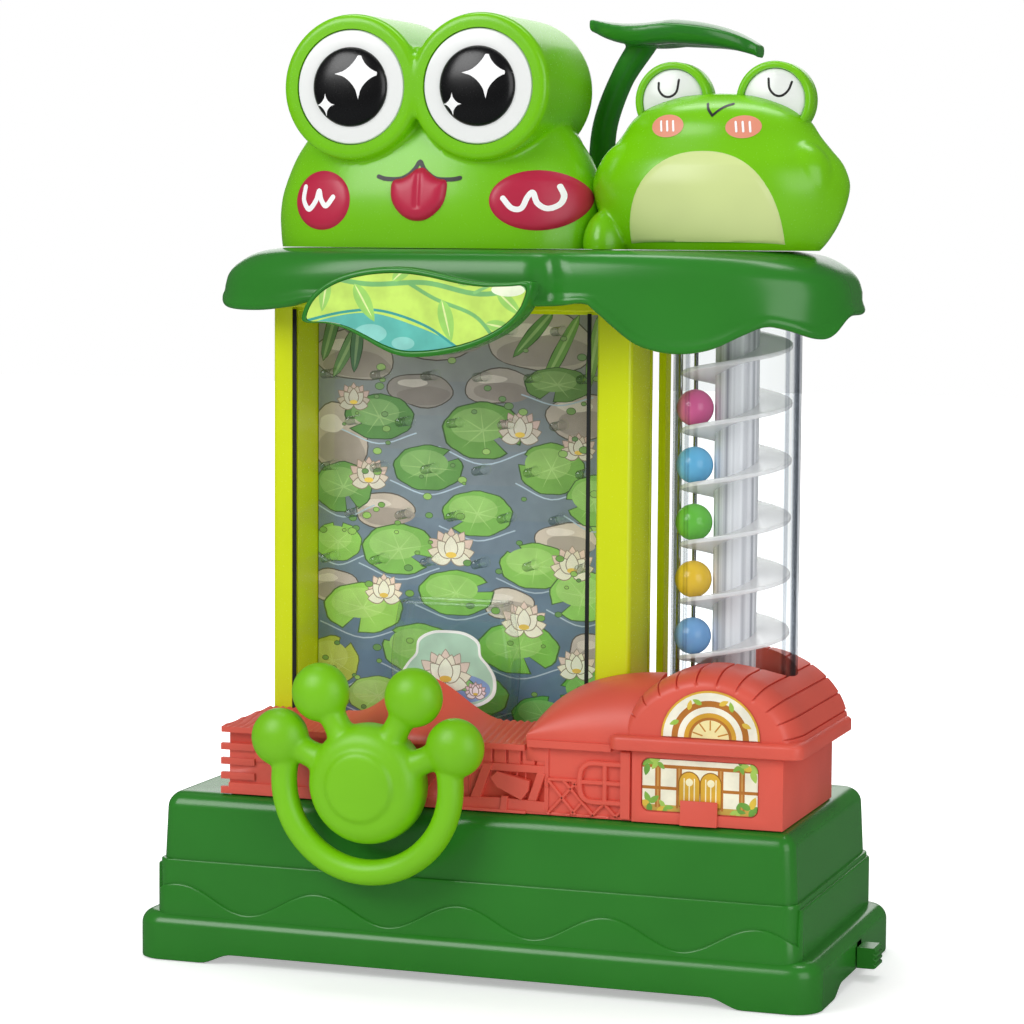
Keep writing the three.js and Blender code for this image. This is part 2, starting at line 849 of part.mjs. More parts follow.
function circuitBoard() {
  const z = floorTop + baseFloor.postHeight + gap;
  const plate = block(
    boardX - board.width / 2,
    boardX + board.width / 2,
    board.y - board.depth / 2,
    board.y + board.depth / 2,
    z,
    z + board.thick,
  );
  const chip = block(
    boardX - board.chip / 2,
    boardX + board.chip / 2,
    board.y - board.chip / 2,
    board.y + board.chip / 2,
    z + board.thick / 2,
    z + board.thick + board.chipHeight,
  );
  return join(plate, chip);
}

function speakerBody() {
  const z = floorTop + gap;
  const { radius, height, rim, magnet, coneDepth } = speaker;
  return turned([
    [0, z + coneDepth],
    [radius - rim, z],
    [radius, z],
    [radius, z + rim],
    [magnet, z + height / 2],
    [magnet, z + height],
    [0, z + height],
  ], 24).translate(speakerX, speaker.y, 0);
}

// Places of the power switch
function switchX() {
  return base.halfWidth - base.wall - gap;
}

function knobStemTop() {
  return knob.bottom + (knob.height + knob.stemHeight) / 2;
}

function powerKnob() {
  const x0 = base.halfWidth + gap;
  const top = knob.bottom + knob.height;
  const profile = [[x0, knob.bottom], [x0 + knob.reach - knob.ridge, knob.bottom]];
  for (let i = 0; i < knobRidges; i += 1) {
    const z = knob.bottom + (knob.height * (i + 0.25)) / knobRidges;
    const half = knob.height / knobRidges / 2;
    profile.push([x0 + knob.reach, z], [x0 + knob.reach, z + half]);
    if (i + 1 < knobRidges) profile.push([x0 + knob.reach - knob.ridge, z + half + half / 2]);
  }
  profile.push([x0 + knob.reach - knob.ridge, top], [x0, top]);
  const head = frontPlate(polygon(profile), knob.y - knob.width / 2, knob.width);
  const stem = block(
    x0 - knob.stemLength,
    x0 + knob.ridge,
    knob.y - knob.stemWidth / 2,
    knob.y + knob.stemWidth / 2,
    knobStemTop() - knob.stemHeight,
    knobStemTop(),
  );
  return join(head, stem);
}

function powerSwitchBody() {
  const bottom = floorTop + baseFloor.lift + gap;
  const x1 = switchX();
  const outer = block(
    x1 - switchBody.width,
    x1,
    knob.y - switchBody.depth / 2,
    knob.y + switchBody.depth / 2,
    bottom,
    bottom + switchBody.height,
  );
  const slot = block(
    base.halfWidth + gap - knob.stemLength - gap,
    x1 + overrun,
    knob.y - knob.stemWidth / 2 - gap,
    knob.y + knob.stemWidth / 2 + gap,
    knobStemTop() - knob.stemHeight - gap,
    bottom + switchBody.height + overrun,
  );
  return cut(outer, slot);
}

function drivePinion() {
  const { bottom, face, module, pinionShaft, shaftDepth } = driveGear;
  const outline = gearOutline(driveTeeth, module);
  const wheel = floorPlate(outline, bottom, bottom + face).rotateZ((2 * quarter) / driveTeeth);
  return join(wheel, post(pinionShaft, bottom - shaftDepth, bottom + face / 2, 0, 0, 12));
}

function gearMotor() {
  const bottom = floorTop + baseFloor.lift + gap;
  const top = driveGear.bottom - 2 * gap;
  const box = block(-motor.halfWidth, motor.halfWidth, -motor.depth / 2, motor.depth / 2, bottom, top);
  const can = axle(
    motor.radius, -motor.halfWidth - motor.length, -motor.halfWidth + overrun, 0, motor.middle, 24,
  );
  const { pinionShaft, shaftDepth } = driveGear;
  const socket = post(pinionShaft + gap, driveGear.bottom - shaftDepth - gap, top + overrun, 0, 0, 12);
  return cut(join(box, can), socket);
}

function addBase(machine) {
  addPiece(machine, "base_shell", baseShell(), finishes.darkGreen);
  addPiece(machine, "base_floor", floorPanel(), finishes.darkGreen);
  addPiece(machine, "battery_door", batteryDoor(), finishes.darkGreen);
  addPiece(machine, "circuit_board", circuitBoard(), finishes.board);
  addPiece(machine, "speaker", speakerBody(), finishes.grey);
  addPiece(machine, "power_switch_knob", powerKnob(), finishes.darkGreen);
  addPiece(machine, "power_switch_body", powerSwitchBody(), finishes.grey);
  const drive = groupAt(machine, drivePinionX, tower.y, 0);
  addPiece(drive, "gear_motor", gearMotor(), finishes.grey);
  addPiece(drive, "drive_pinion", drivePinion(), finishes.white);
}

// The red house: walls with boards in relief, and two roofs
const houseBottom = base.height + gap;
const houseRear = cabinet.front - gap;
const cabinetRear = cabinet.back + 2 * gap + cabinet.backThick;

// An outline of y and z, from x0 to x1
function sidePlate(shape, x0, x1) {
  const plate = new THREE.ExtrudeGeometry(shape, { depth: x1 - x0, bevelEnabled: false });
  const turn = new THREE.Matrix4().makeBasis(
    new THREE.Vector3(0, 1, 0),
    new THREE.Vector3(0, 0, 1),
    new THREE.Vector3(1, 0, 0),
  );
  return plate.applyMatrix4(turn).translate(x0, 0, 0);
}

// A board on the house's front, between two points of its middle line
function frontBoard(x0, z0, x1, z1, width, proud = house.board) {
  const length = Math.hypot(x1 - x0, z1 - z0);
  const board = block(
    -length / 2, length / 2, house.front - proud, house.front + house.wall / 2, -width / 2, width / 2,
  );
  return board.rotateY(-Math.atan2(z1 - z0, x1 - x0)).translate((x0 + x1) / 2, 0, (z0 + z1) / 2);
}

function ruinBoards() {
  const boards = [];
  const top = house.ruinTop - gap;
  const { left, annexLeft } = house;
  boards.push(frontBoard(
    left, houseBottom + ruin.rail / 2, annexLeft, houseBottom + ruin.rail / 2, ruin.rail,
  ));
  const first = left + ruin.cornerPost;
  const count = Math.floor((annexLeft - first) / ruin.plankPitch);
  for (let i = 0; i < count; i += 1) {
    const x = first + ruin.plankPitch * (i + 0.5);
    boards.push(frontBoard(x, ruin.plankLow, x, top - house.board / 2, ruin.plankWidth, house.board / 2));
  }
  const bottom = houseBottom + ruin.rail;
  const height = ruin.plankLow - bottom;
  const bays = Math.floor((annexLeft - first) / ruin.beamPitch);
  for (let i = 0; i < bays; i += 1) {
    const x = annexLeft - ruin.beamPitch * (i + 1);
    const at = (share) => x + share * ruin.beamPitch;
    beamShares.forEach(([x0, z0, x1, z1]) => {
      boards.push(frontBoard(at(x0), bottom + z0 * height, at(x1), bottom + z1 * height, ruin.beam));
    });
  }
  const x = annexLeft - ruin.beamPitch;
  const broken = brokenShares.map(([u, v]) => [x + u * ruin.beamPitch * 0.7, bottom + v * height]);
  boards.push(frontPlate(polygon(broken), house.front - 1.5 * house.board, house.wall + house.board));
  return boards;
}

function houseLogs() {
  const rows = 4;
  const rise = (house.ruinTop - gap - houseBottom - house.logHeight) / (rows - 1);
  const logs = [];
  for (let i = 0; i < rows; i += 1) {
    const z = houseBottom + rise * i;
    logs.push(
      block(
        house.left - house.logReach,
        house.left + ruin.cornerPost,
        house.front - house.board,
        house.front + house.wall / 2,
        z,
        z + house.logHeight,
      ),
    );
  }
  return logs;
}

function windowAndFence() {
  const { left, right, low, high, bar, corner } = windowGrid;
  const midZ = (low + high) / 2;
  const y = house.front - house.board;
  const rim = (inset, front, thick) =>
    frontPlate(
      roundedRect(left + inset, right - inset, low + inset, high - inset, corner - inset), front, thick, 2,
    );
  const frame = cut(rim(0, y, house.board + house.wall / 2), rim(bar, y - overrun, house.board + overrun));
  const bars = [frame, frontBoard(left + bar / 2, midZ, right - bar / 2, midZ, bar)];
  windowBarShares.forEach((share) => {
    const x = left + (right - left) * share;
    bars.push(frontBoard(x, low + bar / 2, x, high - bar / 2, bar));
  });
  const pitch = (fence.right - fence.left) / fenceCrossCount;
  for (let i = 0; i < fenceCrossCount; i += 1) {
    const x = fence.left + i * pitch;
    bars.push(frontBoard(x, fence.low, x + pitch, fence.high, fence.bar));
    bars.push(frontBoard(x, fence.high, x + pitch, fence.low, fence.bar));
  }
  return bars;
}

function gateRamp() {
  const middle = (gate.left + gate.right) / 2;
  const face = house.front - house.board;
  const low = houseBottom;
  const profile = [
    [face + house.board / 2, low],
    [face - gate.rampReach, low],
    [face - gate.rampReach / 2, gate.bottom],
    [face - gate.rampReach / 2, gate.bottom + gate.rampRise],
    [face, gate.bottom + gate.rampRise],
    [face, gate.bottom - house.board],
    [face + house.board / 2, gate.bottom - house.board],
  ];
  return sidePlate(polygon(profile), middle - gate.ramp / 2, middle + gate.ramp / 2);
}

function houseWalls() {
  const { left, right, front, back, barnLeft, wall } = house;
  const outline = polygon([
    [left, houseRear],
    [left, front],
    [right, front],
    [right, back],
    [barnLeft, back],
    [barnLeft, cabinetRear],
    [barnLeft + wall, cabinetRear],
    [barnLeft + wall, back - wall],
    [right - wall, back - wall],
    [right - wall, front + wall],
    [left + wall, front + wall],
    [left + wall, houseRear],
  ]);
  const top = house.barnTop - gap;
  const walls = floorPlate(outline, houseBottom, top);
  const barnFront = block(house.barnCorner, right, front - house.board, front + wall / 2, houseBottom, top);
  const rib = block(
    partition.left,
    partition.left + partition.thick,
    front + wall / 2,
    houseRear,
    houseBottom,
    house.ruinTop - gap,
  );
  const body = join(
    walls, barnFront, rib, ...ruinBoards(), ...houseLogs(), ...windowAndFence(), gateRamp(),
  );
  const ruinClear = block(
    left - house.logReach - overrun,
    house.annexLeft,
    front - 2 * house.board,
    houseRear + overrun,
    house.ruinTop - gap,
    top + overrun,
  );
  const gateHole = frontPlate(
    roundedRect(gate.left, gate.right, gate.bottom, gate.top, gate.corner),
    front - house.board - overrun,
    overrun + gate.sink,
  );
  const shaftHole = pin(shaft.radius + gap, front - 2 * house.board, front + wall + overrun, paw.x, paw.z);
  const sockets = axle(rail.radius + gap, rail.left - gap, rail.right + gap, rail.y, rail.z);
  return cut(body, ruinClear, cut(gateHole, gateRamp()), shaftHole, sockets);
}

function ruinProfile(x) {
  const { hillLeft, hillPeak, hillRight, hillTop, ridge } = ruinRoof;
  const rise =
    x < hillPeak ? (x - hillLeft) / (hillPeak - hillLeft) : (hillRight - x) / (hillRight - hillPeak);
  return ridge + (hillTop - ridge) * THREE.MathUtils.smoothstep(rise, 0, 1);
}

function ruinRoofShell() {
  const { left, front, eaveTop, ridgeLeft, wall } = ruinRoof;
  const right = house.annexLeft - gap;
  const depthShare = (y) => (y - front) / (houseRear - front);
  const top = (x, y) => eaveTop + (ruinProfile(x) - eaveTop) * depthShare(y);
  const place = (inset, rear) => (u, v) => {
    const y = front + inset + (rear - front - inset) * v;
    const start = left + (ridgeLeft - left) * depthShare(y) + inset;
    return [start + (right - inset - start) * u, y];
  };
  const outer = slab(24, 2, place(0, houseRear), top, () => house.ruinTop);
  const inner = slab(
    24,
    2,
    place(wall, houseRear + overrun),
    (x, y) => top(x, y) - wall,
    () => house.ruinTop - overrun,
  );
  return cut(outer, inner);
}

// One arch of the barn's vault, in planks from eave to eave
function archRing(y, halfWidth, height, bottom) {
  const middle = (barnRoof.left + barnRoof.right) / 2;
  const ring = [];
  for (let i = 0; i <= vaultPlanks; i += 1) {
    const turn = (2 * quarter * i) / vaultPlanks;
    const c = Math.cos(turn);
    const s = Math.sin(turn);
    const size = (Math.abs(c) ** vaultPower + s ** vaultPower) ** (-1 / vaultPower);
    ring.push(new THREE.Vector3(middle + halfWidth * c * size, y, bottom + height * s * size));
  }
  return ring;
}

function barnRoofShell() {
  const {
    left, right, front, back, eaveTop, eaveCorner, vaultInset, vaultTop, vaultFront, wall,
  } = barnRoof;
  const middle = [(left + right) / 2, (front + back) / 2];
  const half = [(right - left) / 2, (back - front) / 2];
  const eaveRing = (inset, z) =>
    ringPoints(half[0] - inset, half[1] - inset, eaveCorner - inset / 2, plainParts).map((p) => p.setZ(z));
  const eave = loft([
    eaveRing(0, house.barnTop),
    eaveRing(0, eaveTop - vaultInset),
    eaveRing(vaultInset / 3, eaveTop - vaultInset / 3),
    eaveRing(vaultInset, eaveTop),
  ]).translate(...middle, 0);
  const reach = half[0] - vaultInset;
  const height = vaultTop - eaveTop;
  const low = eaveTop - overrun;
  const { bandInset, bandDepth } = barnRoof;
  const vault = loft([
    archRing(vaultFront, reach - bandInset, height - bandInset + overrun, low),
    archRing(vaultFront + bandDepth, reach, height + overrun, low),
    archRing(back - vaultInset, reach, height + overrun, low),
  ]);
  const inner = loft([
    archRing(vaultFront + wall, reach - bandInset - wall, height - bandInset, house.barnTop - overrun),
    archRing(
      vaultFront + bandDepth + wall,
      reach - wall,
      height - wall + eaveTop - house.barnTop + overrun,
      house.barnTop - overrun,
    ),
    archRing(
      back - vaultInset - wall,
      reach - wall,
      height - wall + eaveTop - house.barnTop + overrun,
      house.barnTop - overrun,
    ),
  ]);
  const annexLeft = house.annexLeft + gap;
  const { annexFront, annexEave, annexTop } = barnRoof;
  const domeX = left + barnRoof.annexLap;
  const dome = (inset, rear) => {
    const place = (u, v) => [
      domeX - (domeX - annexLeft - inset) * Math.sin(quarter * (1 - u)),
      annexFront + inset + (rear - annexFront - inset) * (1 - Math.cos(quarter * v)),
    ];
    const top = (x, y) => {
      const acrossShare = Math.min(1, (domeX - x) / (domeX - annexLeft - inset));
      const awayShare = Math.min(1, (rear - y) / (rear - annexFront - inset));
      const rise = Math.sqrt(1 - acrossShare ** 2) * Math.sqrt(1 - awayShare ** 2);
      return annexEave + (annexTop - annexEave - inset) * rise;
    };
    return slab(9, 7, place, top, () => house.barnTop - inset);
  };
  const annex = dome(0, houseRear);
  const annexHollow = dome(wall, houseRear - wall);
  const hole = post(tower.radius + gap, house.barnTop - overrun, vaultTop + overrun, tower.x, tower.y, 32);
  return cut(join(eave, vault, annex), annexHollow, inner, hole);
}

function roofSticker() {
  const shape = new THREE.Shape();
  const { roofHalfWidth, roofHeight, roofMiddle, thick } = sticker;
  shape.absellipse(roofMiddle, barnRoof.eaveTop + gap, roofHalfWidth, roofHeight, 0, 2 * quarter);
  return frontPlate(shape, barnRoof.vaultFront - gap - thick, thick, 10);
}

function gateSticker() {
  const { left, right, bottom, top, corner, sink } = gate;
  const face = house.front - house.board + sink - gap - sticker.thick;
  return frontPlate(
    roundedRect(left + gap, right - gap, bottom + gap, top - gap, corner - gap),
    face,
    sticker.thick,
    3,
  );
}

function addHouse(machine) {
  addPiece(machine, "house_walls", houseWalls(), finishes.red);
  addPiece(machine, "ruin_roof", ruinRoofShell(), finishes.red);
  addPiece(machine, "barn_roof", barnRoofShell(), finishes.red);
  addPiece(machine, "roof_sticker", roofSticker(), finishes.paleprint);
  addPiece(machine, "gate_sticker", gateSticker(), finishes.paleprint);
}

// The paw handle and what it turns, drawn about its own axis
class Path extends THREE.Curve {
  constructor(at) {
    super();
    this.at = at;
  }

  getPoint(share) {
    return this.at(share);
  }
}

// A round tube along a curve, with its radius given along it
function tubeAlong(curve, radiusAt, steps, sides = 10) {
  const frames = curve.computeFrenetFrames(steps, false);
  const rings = [];
  for (let i = 0; i <= steps; i += 1) {
    const middle = curve.getPointAt(i / steps);
    const radius = radiusAt(i / steps);
    const ring = [];
    for (let j = 0; j < sides; j += 1) {
      const turn = (4 * quarter * j) / sides;
      const out = frames.normals[i].clone().multiplyScalar(radius * Math.cos(turn));
      out.addScaledVector(frames.binormals[i], radius * Math.sin(turn));
      ring.push(out.add(middle));
    }
    rings.push(ring);
  }
  return loft(rings);
}

function pawHandle() {
  const { disc, discBack, discFront, discRound, pad, padRise, middle, hub } = paw;
  const profile = [[0, -discBack], [disc, -discBack]];
  for (let i = 0; i <= 4; i += 1) {
    const turn = (quarter * i) / 4;
    const radius = disc - discRound * (1 - Math.cos(turn));
    profile.push([radius, -discFront - discRound * (1 - Math.sin(turn))]);
  }
  profile.push(
    [pad, -discFront + padRise / 4], [pad - padRise, -discFront + padRise], [0, -discFront + padRise],
  );
  const pieces = [turnedToFront(profile, 20)];
  pieces.push(pin(hub, discBack - overrun, house.front - house.board - gap));
  toeTurns.forEach((turn) => {
    const x = paw.toeCircle * Math.cos(turn);
    const z = paw.toeCircle * Math.sin(turn);
    pieces.push(egg(paw.toeRadius, paw.toeDepth, paw.toeRadius, 2, 10, 6).translate(x, middle, z));
    pieces.push(axle(paw.neck, paw.disc / 2, paw.toeCircle, middle, 0, 7).rotateY(-turn));
  });
  const ringPath = new Path((share) => {
    const turn = 2 * quarter - ringReachTurn + share * (2 * quarter + 2 * ringReachTurn);
    return new THREE.Vector3(paw.ringRadius * Math.cos(turn), middle, paw.ringRadius * Math.sin(turn));
  });
  pieces.push(tubeAlong(ringPath, () => paw.ringTube, 14, 7));
  const bore = pin(shaft.radius + gap, discBack - paw.boreDepth, house.front);
  return cut(join(...pieces), bore);
}

function handlePinion() {
  const { module, front, face } = rackGear;
  const wheel = frontPlate(gearOutline(pinionTeeth, module), front, face);
  return cut(wheel, pin(shaft.radius + gap, front - overrun, front + face + overrun));
}

function addHandle(machine) {
  const group = groupAt(machine, paw.x, 0, paw.z);
  addPiece(group, "paw_handle", pawHandle(), finishes.limeGreen);
  addPiece(
    group,
    "handle_shaft",
    pin(shaft.radius, paw.discBack - paw.boreDepth + gap, shaft.inner),
    finishes.steel,
  );
  addPiece(group, "handle_pinion", handlePinion(), finishes.white);
  const back = rackGear.front + rackGear.face + gap;
  const plate = block(
    -bracket.halfWidth,
    bracket.halfWidth,
    back,
    back + bracket.thick,
    houseBottom - paw.z,
    bracket.top - paw.z,
  );
  const ear = cut(plate, pin(shaft.radius + gap, back - overrun, back + bracket.thick + overrun));
  addPiece(group, "shaft_bracket", ear, finishes.grey);
}

// The catcher: rack, carriage, bucket and its printed label
const pitchLine = paw.z + (pinionTeeth * rackGear.module) / 2;
const rackRoot = pitchLine + dedendumShare * rackGear.module;

function rackOutline(top) {
  const { module } = rackGear;
  const pitch = 2 * quarter * module;
  const halfAtPitch = pitch / 4 - backlash / 4;
  const tip = pitchLine - addendumShare * module;
  const halfAt = (z) => halfAtPitch + (z - pitchLine) * Math.tan(pressureTurn);
  const end = (pitch * rackTeeth) / 2;
  const corners = [
    [paw.x + end, rackRoot], [paw.x + end, top], [paw.x - end, top], [paw.x - end, rackRoot],
  ];
  for (let i = 0; i < rackTeeth; i += 1) {
    const middle = paw.x + (i - (rackTeeth - 1) / 2) * pitch;
    corners.push([middle - halfAt(rackRoot), rackRoot], [middle - halfAt(tip), tip]);
    corners.push([middle + halfAt(tip), tip], [middle + halfAt(rackRoot), rackRoot]);
  }
  return polygon(corners);
}

function carriage() {
  const top = rackRoot + catcher.plateThick;
  const half = catcher.footWidth / 2;
  const rack = frontPlate(rackOutline(top), rackGear.front, rackGear.face);
  const plate = block(
    catcher.x - half, catcher.x + half, rackGear.front, catcher.back - half / 2, rackRoot, top,
  );
  const slider = block(
    catcher.x - half,
    catcher.x + half,
    rail.y - rail.block / 2,
    rail.y + rail.block / 2,
    rail.blockBottom,
    rackRoot + overrun,
  );
  const pedestal = block(
    catcher.x - half,
    catcher.x + half,
    catcher.front + half / 2,
    catcher.back - half / 2,
    rackRoot,
    catcher.bottom - gap,
  );
  const bore = axle(
    rail.radius + gap, catcher.x - half - overrun, catcher.x + half + overrun, rail.y, rail.z,
  );
  return cut(join(rack, plate, slider, pedestal), bore);
}

// The bucket's sides bulge from the narrow foot and end a little wider than the top's straight line
const bucketTopShare = 0.36;
const bucketShares = [[0, 0], [0.08, 0.45], [0.28, 0.9], [0.52, 1], [0.76, 0.75], [1, bucketTopShare]];

function bucket() {
  const { bottom, top, front, back, halfTop, halfMiddle, halfBottom, corner, wall } = catcher;
  const bulge = bucketShares.map(([heightShare, widthShare]) => {
    const lowHalf = heightShare < 0.5 ? halfBottom : halfTop;
    const full =
      heightShare < 0.5 ? widthShare : (widthShare - bucketTopShare) / (1 - bucketTopShare);
    return [bottom + (top - bottom) * heightShare, lowHalf + (halfMiddle - lowHalf) * Math.max(0, full)];
  });
  const depth = (back - front) / 2;
  const skin = (inset, rows) =>
    loft(rows.map(([z, half]) => ringPoints(
      half - inset, depth - inset, corner - inset, plainParts,
    ).map((p) => p.setZ(z))));
  const inner = bulge.map(([z, half], i) => {
    if (i === 0) return [z + wall, half];
    return i + 1 === bulge.length ? [z + overrun, half] : [z, half];
  });
  return cut(skin(0, bulge), skin(wall, inner)).translate([catcher.x, (front + back) / 2, 0]);
}

function catcherLabel() {
  const half = label.width / 2;
  const shape = roundedRect(
    catcher.x - half, catcher.x + half, label.bottom, label.bottom + label.height, label.corner,
  );
  return frontPlate(shape, catcher.front - gap - label.thick, label.thick, 4);
}

function addCatcher(machine) {
  addPiece(machine, "catcher_carriage", carriage(), finishes.white);
  addPiece(machine, "catcher_bucket", bucket(), finishes.clear);
  addPiece(machine, "catcher_label", catcherLabel(), finishes.paleprint);
  addPiece(
    machine, "catcher_rail", axle(rail.radius, rail.left, rail.right, rail.y, rail.z), finishes.steel,
  );
}

// The cabinet and its play field
function cabinetFrame() {
  const {
    left, right, front, back, fieldLeft, fieldRight, top, beam, wall, sill, edge, rebate, rebateDepth,
  } = cabinet;
  const fieldBottom = houseBottom + sill;
  const fieldTop = top - beam;
  const body = floorPlate(roundedRect(left, right, front, back, edge), houseBottom, top, 3);
  const field = block(fieldLeft, fieldRight, front - overrun, back + overrun, fieldBottom, fieldTop);
  const paneSeat = block(
    fieldLeft - rebate,
    fieldRight + rebate,
    front - overrun,
    front + rebateDepth,
    pane.bottom - gap,
    fieldTop + rebate,
  );
  const hollow = (x0, x1) => block(x0, x1, front + 2 * wall, back + overrun, fieldBottom, fieldTop);
  const tunnel = block(
    fieldRight - overrun, right + overrun, ramp.front - gap, ramp.back + gap, fieldBottom, ramp.tunnelTop,
  );
  const drop = block(
    channel.left,
    channel.left + 2 * ball.radius + overrun,
    channel.front,
    channel.back - overrun,
    fieldTop - overrun,
    top + overrun,
  );
  return cut(
    body,
    field,
    paneSeat,
    hollow(left + wall, fieldLeft - rebate - wall),
    hollow(fieldRight + rebate + wall, right - wall),
    tunnel,
    drop,
  );
}

// How high the screws sit on the back, from foot to top
const recessShares = [0.03, 0.5, 0.97];

function cabinetBack() {
  const { left, right, back, backThick, screwRecess, fieldLeft, fieldRight, top, beam } = cabinet;
  const y0 = back + gap;
  const panel = block(left, right, y0, y0 + backThick, houseBottom, top);
  const padFront = back - backThick;
  const pad = block(
    fieldLeft + gap, fieldRight - gap, padFront, y0 + overrun / 2, card.bottom, top - beam - gap,
  );
  const inset = 2 * backThick;
  const recesses = [left + inset, right - inset].flatMap((x) =>
    recessShares.map((share) => {
      const z = houseBottom + (top - houseBottom) * share;
      return pin(screwRecess / 2, y0 + backThick / 2, y0 + backThick + overrun, x, z, 8);
    }),
  );
  return cut(join(panel, pad), ...recesses);
}

const cardBack = cabinet.back - cabinet.backThick - gap;
const sheetBack = cardBack - card.thick - gap;

function fieldSheet(y1, thick) {
  const { fieldLeft, fieldRight, top, beam } = cabinet;
  return block(fieldLeft + gap, fieldRight - gap, y1 - thick, y1, card.bottom, top - beam - gap);
}

function pegPanel() {
  const pieces = [fieldSheet(sheetBack, pegs.sheet)];
  const face = sheetBack - pegs.sheet;
  for (let row = 0; row < pegRows; row += 1) {
    const shift = row % 2 === 0 ? -pegs.columnPitch / 2 : 0;
    const z = pegs.firstZ + row * pegs.rowPitch;
    for (let x = pegs.firstX + shift; x < cabinet.fieldRight - pegs.radius; x += pegs.columnPitch) {
      pieces.push(pin(pegs.radius, face - pegs.length, face + pegs.sheet / 2, x, z, 6));
    }
  }
  return join(...pieces);
}

function windowPane() {
  const { fieldLeft, fieldRight, front, rebate, rebateDepth, top, beam } = cabinet;
  const y1 = front + rebateDepth - gap;
  return block(
    fieldLeft - rebate + gap,
    fieldRight + rebate - gap,
    y1 - pane.thick,
    y1,
    pane.bottom,
    top - beam + rebate - gap,
  );
}

function returnRamp() {
  const x0 = cabinet.fieldLeft + gap;
  const x1 = tower.x - tower.radius + ramp.wall;
  const { floor, wall, front, back, high, low, rim, deflector, deflectorEnd } = ramp;
  const floorShape = polygon([[x0, high - floor], [x1, low - floor], [x1, low], [x0, high]]);
  const wallShape = polygon([
    [x0, high - floor],
    [cabinet.right - gap, low - floor],
    [cabinet.right - gap, ramp.tunnelTop - gap],
    [cabinet.fieldRight - gap, ramp.tunnelTop - gap],
    [cabinet.fieldRight - gap, rim],
    [x0, rim],
  ]);
  const wedge = polygon([
    [x0, high - floor],
    [deflectorEnd, high - floor],
    [deflectorEnd, rim],
    [x0 + floor, deflector],
    [x0, deflector],
  ]);
  const tray = join(
    frontPlate(floorShape, front, back - front),
    frontPlate(wallShape, front, wall),
    frontPlate(wallShape, back - wall, wall),
    frontPlate(wedge, front, back - front),
  );
  const pan = block(cabinet.right + gap, x1 + ramp.wall, back - wall, cabinetRear - gap, low - floor, low);
  return cut(join(tray, pan), post(tower.radius + gap, houseBottom, rim, tower.x, tower.y, 40));
}

function rearPostBody() {
  const { left, right, front, back } = rearPost;
  const body = block(left, right, front, back, houseBottom, cabinet.top);
  const wall = (right - left) / 4;
  const groove = block(
    left - overrun,
    left + 2 * wall,
    front + wall,
    back - wall,
    houseBottom + cabinet.beam,
    cabinet.top - cabinet.beam,
  );
  return cut(body, groove);
}

function addCabinet(machine) {
  addPiece(machine, "cabinet_frame", cabinetFrame(), finishes.yellow);
  addPiece(machine, "cabinet_back", cabinetBack(), finishes.yellow);
  addPiece(machine, "backdrop_card", fieldSheet(cardBack, card.thick), finishes.print);
  addPiece(machine, "peg_panel", pegPanel(), finishes.clear);
  addPiece(machine, "window_pane", windowPane(), finishes.clear);
  addPiece(machine, "return_ramp", returnRamp(), finishes.red);
  addPiece(machine, "rear_post", rearPostBody(), finishes.yellow);
}

// The tower, drawn about the screw's axis
function towerTube() {
  const { radius, wall, port } = tower;
  const bottom = houseBottom;
  const top = cabinet.top;
  const shell = cut(
    post(radius, bottom, top, 0, 0, 32), post(radius - wall, bottom - overrun, top + overrun, 0, 0, 32),
  );
  const mouth = block(
    -radius - overrun,
    -radius + port,
    -radius,
    ramp.back - tower.y,
    ramp.low - ramp.floor - gap,
    ramp.low + port,
  );
  return cut(shell, mouth);
}

function helixHeight(turn) {
  const lead = Math.atan(lift.pitch / (4 * quarter * ball.circle));
  const seat = ball.lowest - ball.radius / Math.cos(lead) - gap;
  return seat + (lift.pitch * (turn - ballTurn)) / (4 * quarter);
}

function liftScrew() {
  const { column, flange, pitch, edge, root, bottom, columnTop, flangeTop } = lift;
  const perTurn = 12;
  const startTurn = ballTurn + (4 * quarter * (bottom + root + overrun - helixHeight(ballTurn))) / pitch;
  const turns = (flangeTop - helixHeight(startTurn)) / pitch;
  const steps = Math.round(turns * perTurn);
  const rings = [];
  for (let i = 0; i <= steps; i += 1) {
    const turn = startTurn + (4 * quarter * i) / perTurn;
    const z = helixHeight(turn);
    const point = (radius, height) => new THREE.Vector3(
      radius * Math.cos(turn), radius * Math.sin(turn), height,
    );
    rings.push([
      point(column - root / 2, z),
      point(column - root / 2, z - root),
      point(flange, z - edge),
      point(flange, z),
    ]);
  }
  const body = join(
    post(column, bottom, columnTop, 0, 0, perTurn).rotateZ(startTurn - quarter), loft(rings),
  );
  return cut(body, post(spindle.radius + gap, bottom - overrun, columnTop + overrun, 0, 0, 16));
}

function screwWheel() {
  const { bottom, face, hub, module } = driveGear;
  const wheel = floorPlate(gearOutline(screwTeeth, module), bottom, bottom + face);
  const sleeve = post(hub, bottom + face / 2, lift.bottom - gap);
  return cut(
    join(wheel, sleeve), post(spindle.radius + gap, bottom - overrun, lift.bottom + overrun, 0, 0, 16),
  );
}

